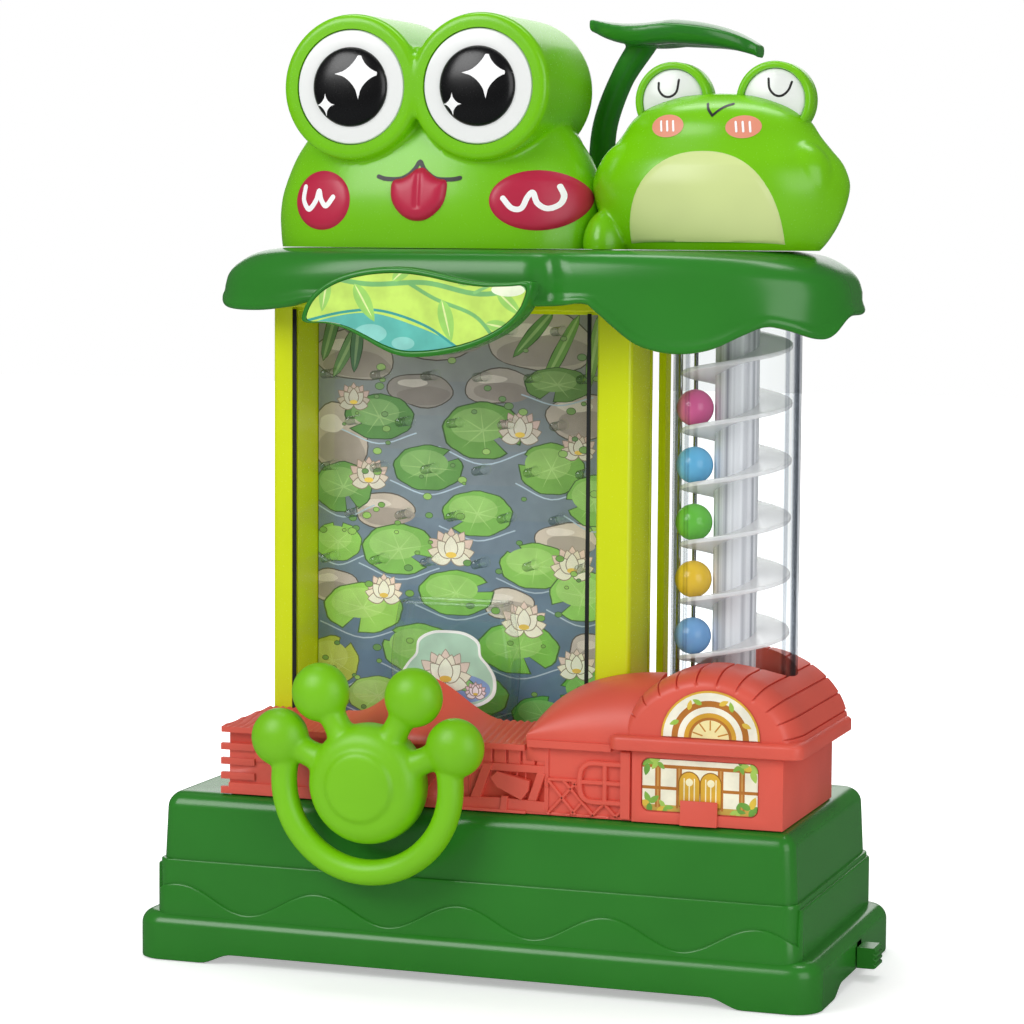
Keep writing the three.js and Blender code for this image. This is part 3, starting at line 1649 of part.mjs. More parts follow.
function addTower(machine) {
  const group = groupAt(machine, tower.x, tower.y, 0);
  addPiece(group, "tower_tube", towerTube(), finishes.clear);
  addPiece(group, "lift_screw", liftScrew(), finishes.white);
  addPiece(
    group, "screw_spindle", post(spindle.radius, spindle.bottom, spindle.top, 0, 0, 16), finishes.steel,
  );
  addPiece(group, "screw_gear", screwWheel(), finishes.white);
  guideTurns.forEach((turn, i) => {
    const x = guideRod.circle * Math.cos(turn);
    const y = guideRod.circle * Math.sin(turn);
    const rod = post(guideRod.radius, houseBottom, cabinet.top, x, y, 8);
    addPiece(group, `ball_guide_rod_${i + 1}`, rod, finishes.steel);
  });
  for (let i = 0; i < ballCount; i += 1) {
    const shape = new THREE.SphereGeometry(ball.radius, 12, 8).rotateX(quarter);
    const place = groupAt(
      group,
      ball.circle * Math.cos(ballTurn),
      ball.circle * Math.sin(ballTurn),
      ball.lowest + lift.pitch * i,
    );
    addPiece(place, `ball_${i + 1}`, shape, plastic(ballColors[i], 0.25));
  }
}

// The leaf canopy, its lining and the channel that carries the balls over
const canopyPower = 3;
const canopyParts = 56;

// The height between listed pairs at a place
function heightBetween(pairs, place) {
  const found = pairs.findIndex(([at]) => at >= place);
  const next = found < 0 ? pairs.length - 1 : Math.max(1, found);
  const [x0, z0] = pairs[next - 1];
  const [x1, z1] = pairs[next];
  return z0 + (z1 - z0) * THREE.MathUtils.clamp((place - x0) / (x1 - x0), 0, 1);
}

// A ring of the canopy, drawn in from its ends and from its front by the insets
function canopyRing(insetEnds, insetFront, heightOf) {
  const { left, right, front, back, cleft, fold } = canopy;
  const halfX = (right - left) / 2;
  const halfY = (back - front) / 2;
  const ring = [];
  for (let i = 0; i < canopyParts; i += 1) {
    const turn = (4 * quarter * (i + 0.5)) / canopyParts;
    const c = Math.cos(turn);
    const s = Math.sin(turn);
    const size = (Math.abs(c) ** canopyPower + Math.abs(s) ** canopyPower) ** (-1 / canopyPower);
    const x = (right + left) / 2 + halfX * c * size;
    const foldShare = s < 0 ? 1 - THREE.MathUtils.smoothstep(Math.abs(x - cleft), 0, 3 * fold) : 0;
    const edge = heightBetween(s < 0 ? canopyFrontEdge : canopyBackEdge, x);
    const reach = insetFront + fold * foldShare;
    ring.push(
      new THREE.Vector3(
        (right + left) / 2 + (halfX - insetEnds) * c * size,
        (back + front) / 2 + (halfY - reach) * s * size,
        heightOf(edge),
      ),
    );
  }
  return ring;
}

function badgeOutline(inset) {
  const { left, right, bottom, top } = badgeBox;
  const x = (share) => left + inset + (right - left - 2 * inset) * share;
  const z = (share) => bottom + inset + (top - bottom - 2 * inset) * share;
  const shape = new THREE.Shape();
  shape.moveTo(x(0), z(0.42));
  shape.bezierCurveTo(x(0.02), z(0.72), x(0.14), z(0.98), x(0.4), z(1));
  shape.bezierCurveTo(x(0.62), z(1), x(0.7), z(0.76), x(0.97), z(0.86));
  shape.bezierCurveTo(x(1.02), z(0.86), x(1), z(0.76), x(0.98), z(0.6));
  shape.bezierCurveTo(x(0.9), z(0.18), x(0.64), z(0), x(0.48), z(0));
  shape.bezierCurveTo(x(0.32), z(0), x(0.24), z(0.4), x(0.04), z(0.36));
  shape.quadraticCurveTo(x(0), z(0.36), x(0), z(0.42));
  return shape;
}

function leafCanopy() {
  const { top, drop, wall, roundEnds, roundFront } = canopy;
  const rings = canopyRows.map(([dropShare, endShare, frontShare]) =>
    canopyRing(roundEnds * endShare, roundFront * frontShare, () => top - drop * dropShare),
  );
  rings.push(canopyRing(wall / 2, wall / 2, (edge) => edge));
  rings.push(canopyRing(wall + wall / 2, wall + wall / 2, (edge) => edge));
  rings.push(canopyRing(2 * wall, wall + wall / 2, () => top - drop));
  rings.push(canopyRing(roundEnds, roundFront, () => top - 2 * wall));
  const bosses = [
    [lining.left + lining.corner, lining.front + lining.corner],
    [lining.left + lining.corner, lining.back - lining.corner],
    [(lining.left + lining.right) / 2, lining.back - lining.corner],
  ].map(([x, y]) => post(lining.boss, liningTop + gap, top - wall / 2, x, y, 12));
  const bearing = post(lining.boss + overrun, lift.columnTop + gap, top - wall / 2, tower.x, tower.y);
  const bezel = frontPlate(badgeOutline(0), badge.face, badge.thick, 4);
  const bridge = block(
    badgeBox.left + badge.thick,
    badgeBox.right - badge.thick,
    badge.face + badge.thick / 2,
    canopy.front + 2 * wall,
    (badgeBox.top + badgeBox.bottom) / 2 + 2 * badge.thick / 2,
    badgeBox.top - badge.rim,
  );
  const recess = frontPlate(badgeOutline(badge.rim), badge.face - overrun, overrun + badge.sink, 4);
  const bore = post(spindle.radius + gap, lift.columnTop, spindle.top + gap, tower.x, tower.y, 16);
  return cut(join(loft(rings), ...bosses, bearing, bezel, bridge), recess, bore);
}

function badgePanel() {
  return frontPlate(
    badgeOutline(badge.rim + gap), badge.face + badge.sink - gap - badge.panel, badge.panel, 4,
  );
}

const liningTop = cabinet.top + gap + lining.thick;

function canopyLining() {
  const { left, right, front, back, corner } = lining;
  const plate = floorPlate(roundedRect(left, right, front, back, corner), cabinet.top + gap, liningTop, 2);
  const through = [cabinet.top - overrun, liningTop + overrun];
  const liftHole = post(tower.radius - tower.wall, ...through, tower.x, tower.y, 30);
  const drop = block(
    channel.left,
    channel.left + 2 * ball.radius + overrun,
    channel.front,
    channel.back - overrun,
    ...through,
  );
  return cut(plate, liftHole, drop);
}

function topChannel() {
  const { left, right, front, back, floor, rise, height } = channel;
  const wall = channel.wall;
  const low = liningTop + gap;
  const x1 = tower.x - lift.flange - gap;
  const floorShape = polygon([
    [left - wall, low], [x1, low], [x1, low + floor + rise], [left - wall, low + floor],
  ]);
  const wallShape = polygon([
    [left - wall, low], [x1, low], [x1, low + height], [left - wall, low + height],
  ]);
  const tray = join(
    frontPlate(floorShape, front - wall, back - front + 2 * wall),
    frontPlate(wallShape, front - wall, wall),
    frontPlate(wallShape, back, wall),
    block(left - wall, left, front - wall, back + wall, low, low + height),
  );
  const drop = block(
    left, left + 2 * ball.radius + overrun, front, back - overrun, low - overrun, low + height / 2,
  );
  const liftClear = post(lift.flange + gap, low - overrun, low + height + overrun, tower.x, tower.y, 32);
  return cut(tray, drop, liftClear);
}

function addCanopy(machine) {
  addPiece(machine, "leaf_canopy", leafCanopy(), finishes.darkGreen);
  addPiece(machine, "badge_panel", badgePanel(), finishes.paleprint);
  addPiece(machine, "canopy_lining", canopyLining(), finishes.darkGreen);
  addPiece(machine, "top_channel", topChannel(), finishes.white);
}

// The big frog's head, the little frog and the leaf over them
const deck = canopy.top + gap;

function aboveDeck(item) {
  const reach = canopy.right - canopy.left;
  return cut(item, block(-reach, reach, -reach, reach, 0, deck));
}

function eyeTurret(x) {
  const { radius, edge, face, length, tail, z } = eye;
  const profile = [
    [0, -face], [radius - edge, -face], [radius - edge / 3, -face - edge / 3], [radius, -face - edge],
  ];
  const steps = 3;
  for (let i = 0; i <= steps; i += 1) {
    const turn = (quarter * i) / steps;
    profile.push([i === steps ? 0 : radius * Math.cos(turn), -face - length - tail * Math.sin(turn)]);
  }
  return turnedToFront(profile, 20).translate(x, 0, z);
}

// The big head's loaf, wider by grow
function headLoaf(grow) {
  const loaf = egg(head.halfWidth + grow, head.halfDepth + grow, head.halfHeight + grow, headPower, 22, 10);
  return loaf.translate(head.x, head.y, head.z);
}

// How far forward the big head's surface is at a place of its front view
function headFront(x, z) {
  const across = Math.abs((x - head.x) / head.halfWidth) ** headPower;
  const up = Math.abs((z - head.z) / head.halfHeight) ** headPower;
  return head.y - head.halfDepth * Math.max(0, 1 - across - up) ** (1 / headPower);
}

function cheekPad(side, grow) {
  const pad = egg(cheek.halfWidth + grow, cheek.depth + grow, cheek.halfHeight + grow, 2, 12, 7);
  const x = cheek.middle + side * cheek.spread;
  return pad.rotateZ(side * cheek.turn).translate(x, headFront(x, cheek.z), cheek.z);
}

const headPower = 2.5;

function tonguePad(grow) {
  const pad = egg(tongue.halfWidth + grow, tongue.depth + grow, tongue.halfHeight + grow, 2, 12, 7);
  return pad.translate(tongue.x, headFront(tongue.x, tongue.z), tongue.z);
}

const eyeXs = [-1, 1].map((side) => head.x + (side * eye.spread) / 2);

function frogHead() {
  const rear = egg(
    hump.halfWidth, hump.halfDepth, hump.halfHeight, headPower, 14, 8,
  ).translate(head.x, hump.y, hump.z);
  const cups = eyeXs.map((x) => pin(eye.white + gap, eye.face - overrun, eye.face + eye.cup, x, eye.z, 24));
  const body = aboveDeck(join(headLoaf(0), rear, ...eyeXs.map(eyeTurret)));
  return cut(body, ...cups, cheekPad(-1, gap), cheekPad(1, gap), tonguePad(gap));
}

function eyeWhite(x) {
  return pin(eye.white, eye.face + eye.cup - gap - eye.whiteThick, eye.face + eye.cup - gap, x, eye.z, 24);
}

function pupil(x) {
  const back = eye.face + eye.cup - 2 * gap - eye.whiteThick;
  const profile = [[0, -back]];
  for (let i = 0; i <= 3; i += 1) {
    const turn = (quarter * i) / 3;
    profile.push([eye.pupil * Math.cos(turn), -back + eye.pupilRise * Math.sin(turn)]);
  }
  profile[profile.length - 1][0] = 0;
  return turnedToFront(profile, 20).translate(x, 0, eye.z);
}

function addBigFrog(machine) {
  addPiece(machine, "frog_head", frogHead(), finishes.brightGreen);
  ["left", "right"].forEach((side, i) => {
    addPiece(machine, `eye_white_${side}`, eyeWhite(eyeXs[i]), finishes.white);
    addPiece(machine, `pupil_${side}`, pupil(eyeXs[i]), finishes.black);
    addPiece(machine, `cheek_${side}`, cheekPad(i === 0 ? -1 : 1, 0), finishes.crimson);
  });
  addPiece(machine, "frog_tongue", tonguePad(0), finishes.crimson);
}

function bellyPatch(grow) {
  const { y, depthShare, patchWidth, patchHeight, patchDepth, patchX, patchZ } = littleFrog;
  const widest = Math.max(...littleFrogRows.map(([, half]) => half));
  return egg(patchWidth + grow, patchDepth + grow, patchHeight + grow, 2, 16, 8)
    .translate(patchX, y - widest * depthShare + patchDepth / 3, patchZ);
}

const littleEyeXs = [-1, 1].map((side) => littleFrog.x + (side * littleFrog.eyeSpread) / 2);

const pearParts = 16;

// The little frog's pear-shaped body as rings, wider by grow
function littleFrogPear(grow) {
  const { x, y, depthShare } = littleFrog;
  const rings = littleFrogRows.map(([z, half]) => {
    const ring = [];
    for (let i = 0; i < pearParts; i += 1) {
      const turn = (4 * quarter * i) / pearParts;
      ring.push(
        new THREE.Vector3(
          x + (half + grow) * Math.cos(turn),
          y + (half * depthShare + grow) * Math.sin(turn),
          z + (grow * (z - littleFrogRows[0][0])) / (littleFrog.eyeZ - littleFrogRows[0][0]),
        ),
      );
    }
    return ring;
  });
  return loft(rings);
}

function littleFrogBody() {
  const {
    x, y, depthShare, armX, armZ, armRadius, armHeight, limbSink, footX, footZ, footRadius,
  } = littleFrog;
  const { eyeZ, eyeRadius, eyeWhite: white, eyeDepth, eyeFace } = littleFrog;
  const eyes = littleEyeXs.map((ex) =>
    cut(
      pin(eyeRadius, eyeFace, eyeFace + eyeDepth, ex, eyeZ, 20),
      pin(white + gap, eyeFace - overrun, eyeFace + eye.edge, ex, eyeZ, 20),
    ),
  );
  const limbs = [-1, 1].flatMap((side) => {
    const away = y - armX * depthShare + limbSink;
    return [
      egg(
        armRadius, armRadius, armHeight, 2, 8, 6,
      ).rotateY(side * -quarter / 4).translate(x + side * armX, away, armZ),
      egg(footRadius, footRadius, footRadius, 2, 8, 6).translate(x + side * footX, away, footZ),
    ];
  });
  const body = aboveDeck(join(...eyes, littleFrogPear(0), ...limbs));
  return cut(body, bellyPatch(gap), headLoaf(2 * gap));
}

function littleEye(x) {
  const { eyeFace, eyeZ, eyeWhite: white } = littleFrog;
  return cut(pin(white, eyeFace + gap, eyeFace + eye.edge - gap, x, eyeZ, 20), littleFrogPear(gap));
}

// The leaf's blade: how blunt its tips are, how full its plan, and how thick its edge
const leafTipShare = 0.03;
const leafPlanPower = 0.6;
const leafEdgeShare = 0.15;

function parasolBody() {
  const { stalk: end, stalkMiddle, y, left, right, halfDepth, thick, crown, dip, droop } = parasol;
  const route = new THREE.CatmullRomCurve3(parasolRoute.map((p) => new THREE.Vector3(...p)));
  const stalk = tubeAlong(
    route, (share) => end + (stalkMiddle - end) * Math.sin(2 * quarter * share), 8, 8,
  );
  const within = (share) => THREE.MathUtils.clamp(share, leafTipShare, 1 - leafTipShare);
  const fullness = (share, power) => Math.sin(2 * quarter * within(share)) ** power;
  const place = (u, v) => {
    const reach = halfDepth * fullness(u, leafPlanPower);
    return [left + (right - left) * u, y + reach * (2 * v - 1)];
  };
  const top = (x, py) => {
    const along = (x - left) / (right - left);
    const across = (py - y) / halfDepth;
    const sag = dip * Math.sin(2 * quarter * Math.min(1, 2 * along));
    return crown - sag - droop * along ** 4 - (across ** 2 * thick) / 2;
  };
  const bottom = (x, py) => {
    const across = Math.min(1, Math.abs(py - y) / halfDepth);
    const full = leafEdgeShare + (1 - leafEdgeShare) * fullness((x - left) / (right - left), 0.5);
    return top(x, py) - thick * full * (1 - across ** 3 / 2);
  };
  return aboveDeck(join(stalk, slab(9, 7, place, top, bottom)));
}

function addLittleFrog(machine) {
  addPiece(machine, "little_frog_body", littleFrogBody(), finishes.brightGreen);
  addPiece(machine, "little_frog_belly", aboveDeck(bellyPatch(0)), finishes.cream);
  ["left", "right"].forEach((side, i) => {
    addPiece(machine, `little_eye_${side}`, littleEye(littleEyeXs[i]), finishes.white);
  });
  addPiece(machine, "leaf_parasol", parasolBody(), finishes.darkGreen);
}

// The whole game, moved so that its origin is at the bottom centre of its bounding box
const machine = new THREE.Group();
addBase(machine);
addHouse(machine);
addHandle(machine);
addCatcher(machine);
addCabinet(machine);
addTower(machine);
addCanopy(machine);
addBigFrog(machine);
addLittleFrog(machine);
const box = new THREE.Box3().setFromObject(machine);
const middle = box.getCenter(new THREE.Vector3());
machine.position.set(-middle.x, -middle.y, -box.min.z);

const game = new THREE.Group();
game.add(machine);

export default game;
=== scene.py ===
# %% [markdown]
# # A frog ball catching game, dressed for its picture
# The toy is a stack of injection-moulded shells: a green base, a red farmhouse, a yellow cabinet with a field
# of clear pegs, a clear tower with a lifting screw, and a lily-leaf canopy with two frogs on top.
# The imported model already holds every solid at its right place. These cells give it smooth skins, materials,
# prints and light, and each new piece rides on the body that it belongs to.

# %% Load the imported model
import json
import math
import random

import bmesh
import bpy
from mathutils import Matrix, Vector

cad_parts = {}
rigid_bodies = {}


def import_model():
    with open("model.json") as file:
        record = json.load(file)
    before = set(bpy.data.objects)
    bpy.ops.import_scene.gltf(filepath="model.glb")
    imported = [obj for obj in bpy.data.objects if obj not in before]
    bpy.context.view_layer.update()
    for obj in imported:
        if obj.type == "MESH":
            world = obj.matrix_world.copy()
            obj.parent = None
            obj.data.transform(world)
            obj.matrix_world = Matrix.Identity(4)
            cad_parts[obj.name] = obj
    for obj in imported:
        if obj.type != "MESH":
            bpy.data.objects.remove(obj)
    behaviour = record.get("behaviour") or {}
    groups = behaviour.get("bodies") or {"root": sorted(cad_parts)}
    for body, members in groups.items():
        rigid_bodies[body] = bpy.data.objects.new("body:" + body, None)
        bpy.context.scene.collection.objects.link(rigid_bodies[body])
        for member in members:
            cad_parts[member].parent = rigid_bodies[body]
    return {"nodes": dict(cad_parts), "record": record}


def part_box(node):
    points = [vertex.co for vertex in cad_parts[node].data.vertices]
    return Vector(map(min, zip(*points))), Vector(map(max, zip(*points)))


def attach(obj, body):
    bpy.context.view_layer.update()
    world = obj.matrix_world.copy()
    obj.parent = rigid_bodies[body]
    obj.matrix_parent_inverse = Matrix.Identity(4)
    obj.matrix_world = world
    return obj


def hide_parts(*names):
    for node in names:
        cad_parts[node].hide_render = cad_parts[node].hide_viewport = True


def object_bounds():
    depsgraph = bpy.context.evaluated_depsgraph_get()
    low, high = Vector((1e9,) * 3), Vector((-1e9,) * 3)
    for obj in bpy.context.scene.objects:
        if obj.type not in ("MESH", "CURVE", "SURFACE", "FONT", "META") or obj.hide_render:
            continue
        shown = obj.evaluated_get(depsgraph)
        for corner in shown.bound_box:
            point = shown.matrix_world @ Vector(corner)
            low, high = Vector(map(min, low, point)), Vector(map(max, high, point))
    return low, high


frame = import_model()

cad_low, cad_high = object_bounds()
nodes = frame["nodes"]
print("nodes:", len(nodes), "box:", [round(v, 4) for v in (*cad_low, *cad_high)])

# %% [markdown]
# The toy was measured in millimetres from the middle of its base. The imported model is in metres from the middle
# of its whole box, so one small function moves a measured place into the scene. The base is 252 mm long, and its
# middle is found from its left end.

# %% Places and sizes in millimetres
BASE_LENGTH = 0.252
base_low, base_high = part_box("base_shell")
ORIGIN = Vector((base_low[0] + BASE_LENGTH / 2, (base_low[1] + base_high[1]) / 2, 0))


def mm(x, y, z):
    """A place measured from the middle of the base, as a scene point in metres."""
    return Vector((x / 1000, y / 1000, z / 1000)) + ORIGIN


print("middle of the base:", [round(v * 1000, 2) for v in ORIGIN])

# %% [markdown]
# Paint charts give colours as sRGB hex values, but the shaders work on linear light. One function does the turn
# for every colour in the file.


# %% Colours
def colour(value):
    """An sRGB hex colour as linear red, green, blue and alpha."""
    parts = [int(value[i : i + 2], 16) / 255 for i in (1, 3, 5)]
    return (*[p / 12.92 if p <= 0.04045 else ((p + 0.055) / 1.055) ** 2.4 for p in parts], 1)


DARK_GREEN = "#2f8428"
FROG_GREEN = "#7acc08"
LIME_GREEN = "#80cf04"
YELLOW = "#dae904"
RED = "#ea5e4c"
CRIMSON = "#c41d44"
BELLY_GREEN = "#dae99c"
WHITE = "#f3f5f3"
BLACK = "#0d0d0f"

# %% [markdown]
# A material is a small graph. This one function adds a node, sets its fields and joins its inputs, so each
# finish below reads as a short list.


# %% Building node graphs
def add(tree, kind, links=(), inputs=(), **settings):
    """A node of one kind, with its settings, fixed inputs, and links given as (input, node, output)."""
    node = tree.nodes.new(kind)
    for name, value in settings.items():
        setattr(node, name, value)
    for name, value in dict(inputs).items():
        node.inputs[name].default_value = value
    for into, source, output in links:
        tree.links.new(source.outputs[output], node.inputs[into])
    return node


def new_material(name):
    material = bpy.data.materials.new(name)
    material.use_nodes = True
    tree = material.node_tree
    tree.nodes.clear()
    return material, tree


def finish_surface(tree, shader):
    add(tree, "ShaderNodeOutputMaterial", [("Surface", shader, 0)])


# %% [markdown]
# Nearly every visible piece is moulded ABS. A polished mould leaves it glossy, with a faint waviness 36 mm long
# that bends the highlights, and a very slight unevenness of colour. Its refractive index is about 1.54. The real
# grain is finer than a tenth of a millimetre. It is drawn 0.7 mm coarse, just enough to break up the shine.

# %% Real sizes and optics of the plastics
ABS_IOR, POLYSTYRENE_IOR, VARNISH_IOR = 1.54, 1.59, 1.48
WAVE_LENGTH, ABS_GRAIN = 36, 0.7


def per_metre(size):
    """A noise texture's scale, for patches of a size in millimetres."""
    return 1000 / size


# %% Moulded plastic
def moulded_abs(name, hex_value, roughness=0.3, grain=0.02, shade=0.9, see_through=0.0):
    """Plastic between a shaded and a full tone, its grain a share of a 0.04 mm deep bump."""
    material, tree = new_material(name)
    where = add(tree, "ShaderNodeTexCoord")
    wide = add(tree, "ShaderNodeTexNoise", [("Vector", where, "Object")],
               {"Scale": per_metre(WAVE_LENGTH), "Detail": 2.0})
    fine = add(tree, "ShaderNodeTexNoise", [("Vector", where, "Object")],
               {"Scale": per_metre(ABS_GRAIN), "Detail": 2.0})
    ramp = add(tree, "ShaderNodeValToRGB", [("Fac", wide, "Fac")])
    light = colour(hex_value)
    shaded, full = ramp.color_ramp.elements
    shaded.position, shaded.color = 0.3, (*[c * shade for c in light[:3]], 1)
    full.position, full.color = 0.7, light
    rough = add(tree, "ShaderNodeMapRange", [("Value", fine, "Fac")],
                {"To Min": roughness * 0.85, "To Max": roughness * 1.15})
    wavy = add(tree, "ShaderNodeBump", [("Height", wide, "Fac")], {"Strength": 0.04, "Distance": 0.0006})
    bump = add(tree, "ShaderNodeBump", [("Height", fine, "Fac"), ("Normal", wavy, "Normal")],
               {"Strength": grain, "Distance": 0.00004})
    shader = add(
        tree,
        "ShaderNodeBsdfPrincipled",
        [("Base Color", ramp, "Color"), ("Roughness", rough, "Result"), ("Normal", bump, "Normal")],
        {"IOR": ABS_IOR},
    )
    if see_through:
        clear = add(tree, "ShaderNodeBsdfTransparent")
        shader = add(tree, "ShaderNodeMixShader", [(1, shader, "BSDF"), (2, clear, "BSDF")], {"Fac": see_through})
    finish_surface(tree, shader)
    return material


base_green = moulded_abs("Polished ABS, leaf green", DARK_GREEN, 0.25, grain=0.01)
frog_green = moulded_abs("Polished ABS, frog green", FROG_GREEN, 0.26, grain=0.01)
lime_green = moulded_abs("Satin ABS, lime green", LIME_GREEN, 0.4)
cabinet_yellow = moulded_abs("Polished ABS, acid yellow", YELLOW, 0.26, shade=0.95)
house_red = moulded_abs("Satin ABS, coral red", RED, 0.42, grain=0.12)
crimson = moulded_abs("Satin ABS, crimson", CRIMSON, 0.38)
belly_green = moulded_abs("Satin ABS, pale lime", BELLY_GREEN, 0.34)
bright_white = moulded_abs("Polished ABS, white", WHITE, 0.2, shade=0.97)
pupil_black = moulded_abs("Polished ABS, black", BLACK, 0.26, grain=0.005)
ink_black = moulded_abs("Pad-printed ink, black", "#161412", 0.4)
ink_white = moulded_abs("Pad-printed ink, white", "#ffffff", 0.4, shade=0.99)
ink_blush = moulded_abs("Pad-printed ink, blush", "#f09a7e", 0.42)
black_edge_strip = moulded_abs("Black edge strip", "#15181a", 0.5)
engine_grey = moulded_abs("Satin ABS, grey", "#8d9196", 0.45)
screw_white = moulded_abs("Milky polystyrene", "#fbfbfd", 0.16, shade=0.99, see_through=0.35)

# %% [markdown]
# Ground steel rods are bright, with scratches that run round them. A metal keeps the default refractive index.
# The scratches are 8 mm long and 0.2 mm apart. The circuit board and the printed cards are matt.


# %% Steel, circuit board and cards
SCRATCH_LENGTH, SCRATCH_GAP = 8, 0.2


def ground_steel(name, hex_value="#b8bbc0", roughness=0.22):
    material, tree = new_material(name)
    where = add(tree, "ShaderNodeTexCoord")
    stretch = add(tree, "ShaderNodeMapping", [("Vector", where, "Object")],
                  {"Scale": (1.0, 1.0, SCRATCH_LENGTH / SCRATCH_GAP)})
    lines = add(tree, "ShaderNodeTexNoise", [("Vector", stretch, "Vector")],
                {"Scale": per_metre(SCRATCH_LENGTH), "Detail": 3.0})
    rough = add(tree, "ShaderNodeMapRange", [("Value", lines, "Fac")],
                {"To Min": roughness * 0.7, "To Max": roughness * 1.4})
    shader = add(tree, "ShaderNodeBsdfPrincipled", [("Roughness", rough, "Result")],
                 {"Base Color": colour(hex_value), "Metallic": 1.0})
    finish_surface(tree, shader)
    return material


steel = ground_steel("Ground steel rod")
screw_steel = ground_steel("Zinc-plated screw", "#9a9ea3", 0.34)
board_green = moulded_abs("Solder-masked circuit board", "#1c6b45", 0.45)
card_moss = moulded_abs("Matt printed card, moss", "#8eae69", 0.6)
card_cream = moulded_abs("Matt printed card, cream", "#e9e6b5", 0.6)

# %% [markdown]
# The pane, tower, pegs and bucket are clear polystyrene. The walls are thin, so light passes nearly straight
# through and only the edges and the glancing sides show. A mix of clear film and gloss, steered by Layer Weight,
# reads as thin plastic and keeps the prints behind it legible. Where the wall is seen edge on, the film is painted
# darker, a painted reflection along its edges: each edge list gives how far a face turns away and the painted tone
# there. The surface waves over 16.7 mm.


# %% Clear plastic
def clear_plastic(name, edges, tint="#fdfefe", body=0.02, roughness=0.04, wave=16.7):
    """Thin clear plastic, with the gloss of its body and tints for its edges."""
    material, tree = new_material(name)
    where = add(tree, "ShaderNodeTexCoord")
    wide = add(tree, "ShaderNodeTexNoise", [("Vector", where, "Object")], {"Scale": per_metre(wave), "Detail": 1.0})
    bump = add(tree, "ShaderNodeBump", [("Height", wide, "Fac")], {"Strength": 0.05, "Distance": 0.0004})
    rough = add(tree, "ShaderNodeMapRange", [("Value", wide, "Fac")], {"To Min": roughness, "To Max": roughness * 2})
    gloss = add(tree, "ShaderNodeBsdfGlossy", [("Normal", bump, "Normal"), ("Roughness", rough, "Result")],
                {"Color": colour("#ffffff")})
    facing = add(tree, "ShaderNodeLayerWeight", [("Normal", bump, "Normal")], {"Blend": 0.5})
    amount = add(tree, "ShaderNodeMath", [(0, facing, "Facing")], {1: 3.0}, operation="POWER")
    amount = add(tree, "ShaderNodeMath", [(0, amount, "Value")], {1: 0.3, 2: body}, operation="MULTIPLY_ADD")
    rim = add(tree, "ShaderNodeValToRGB", [("Fac", facing, "Facing")])
    facing_tint, last_tint = rim.color_ramp.elements
    facing_tint.color = colour(tint)
    last_tint.position, last_tint.color = edges[-1][0], colour(edges[-1][1])
    for position, value in edges[:-1]:
        rim.color_ramp.elements.new(position).color = colour(value)
    through = add(tree, "ShaderNodeBsdfTransparent", [("Color", rim, "Color")])
    film = add(tree, "ShaderNodeMixShader", [("Fac", amount, "Value"), (1, through, "BSDF"), (2, gloss, "BSDF")])
    finish_surface(tree, film)
    return material


SOFT_EDGE = ((0.55, "#fbfcfc"), (0.8, "#dfe3e4"), (0.97, "#a9afb2"))
# The tube's list holds alternating bands: painted dark reflection lines down its two sides.
TUBE_EDGE = ((0.36, "#fdfefe"), (0.4, "#d3d6da"), (0.44, "#fbfcfc"), (0.58, "#f4f5f6"), (0.66, "#b6babf"),
             (0.78, "#c8cbcf"), (0.84, "#f2f3f4"), (0.9, "#9ea3a8"))
PEG_EDGE = ((0.5, "#f6f9f6"), (0.8, "#cfd6d2"), (0.95, "#b9c1bc"))
pane_clear = clear_plastic("Clear polystyrene sheet", SOFT_EDGE, body=0.0)
tower_clear = clear_plastic("Clear polystyrene tube", TUBE_EDGE, body=0.01)
bucket_clear = clear_plastic("Clear polystyrene bucket", SOFT_EDGE, "#f9fcfa", body=0.03)
peg_clear = clear_plastic("Clear polystyrene pegs", PEG_EDGE, "#f9fbf9", body=0.05)
CLEAR = (pane_clear, tower_clear, bucket_clear, peg_clear)

# %% [markdown]
# Photographs of products are taken from far away with a long lens, which keeps uprights upright. This camera was
# worked out from the edges of the base and cabinet: it stands 1.15 m off, 19 degrees to the right of the front
# and 5 degrees above level.

# %% Camera
EYE_PLACE = (372.798, -1084.459, 261.593)
yaw, pitch, roll = 0.3335, 0.0878, 0.0068
FOCAL_PIXELS, PICTURE_PIXELS, SENSOR_WIDTH = 3198.744, 1024, 36
ahead = Vector((-math.sin(yaw) * math.cos(pitch), math.cos(yaw) * math.cos(pitch), -math.sin(pitch)))
sideways = Vector((math.cos(yaw), math.sin(yaw), 0))
upright = sideways.cross(ahead)
right = math.cos(roll) * sideways + math.sin(roll) * upright
up = -math.sin(roll) * sideways + math.cos(roll) * upright
camera = bpy.data.objects.new("camera", bpy.data.cameras.new("camera"))
camera.data.sensor_width = SENSOR_WIDTH
camera.data.lens = FOCAL_PIXELS / PICTURE_PIXELS * SENSOR_WIDTH
camera.matrix_world = Matrix((right, up, -ahead)).transposed().to_4x4()
camera.location = mm(*EYE_PLACE)
scene = bpy.context.scene
scene.collection.objects.link(camera)
bpy.context.scene.camera = camera
scene.view_settings.view_transform = "Standard"
print("lens:", round(camera.data.lens, 1), "mm")

# %% [markdown]
# A light tent is imitated by four large soft panels. Each is a place in metres, a width and height, and a power in
# watts. The key panel stands at the front left and the fill panel at the front right.

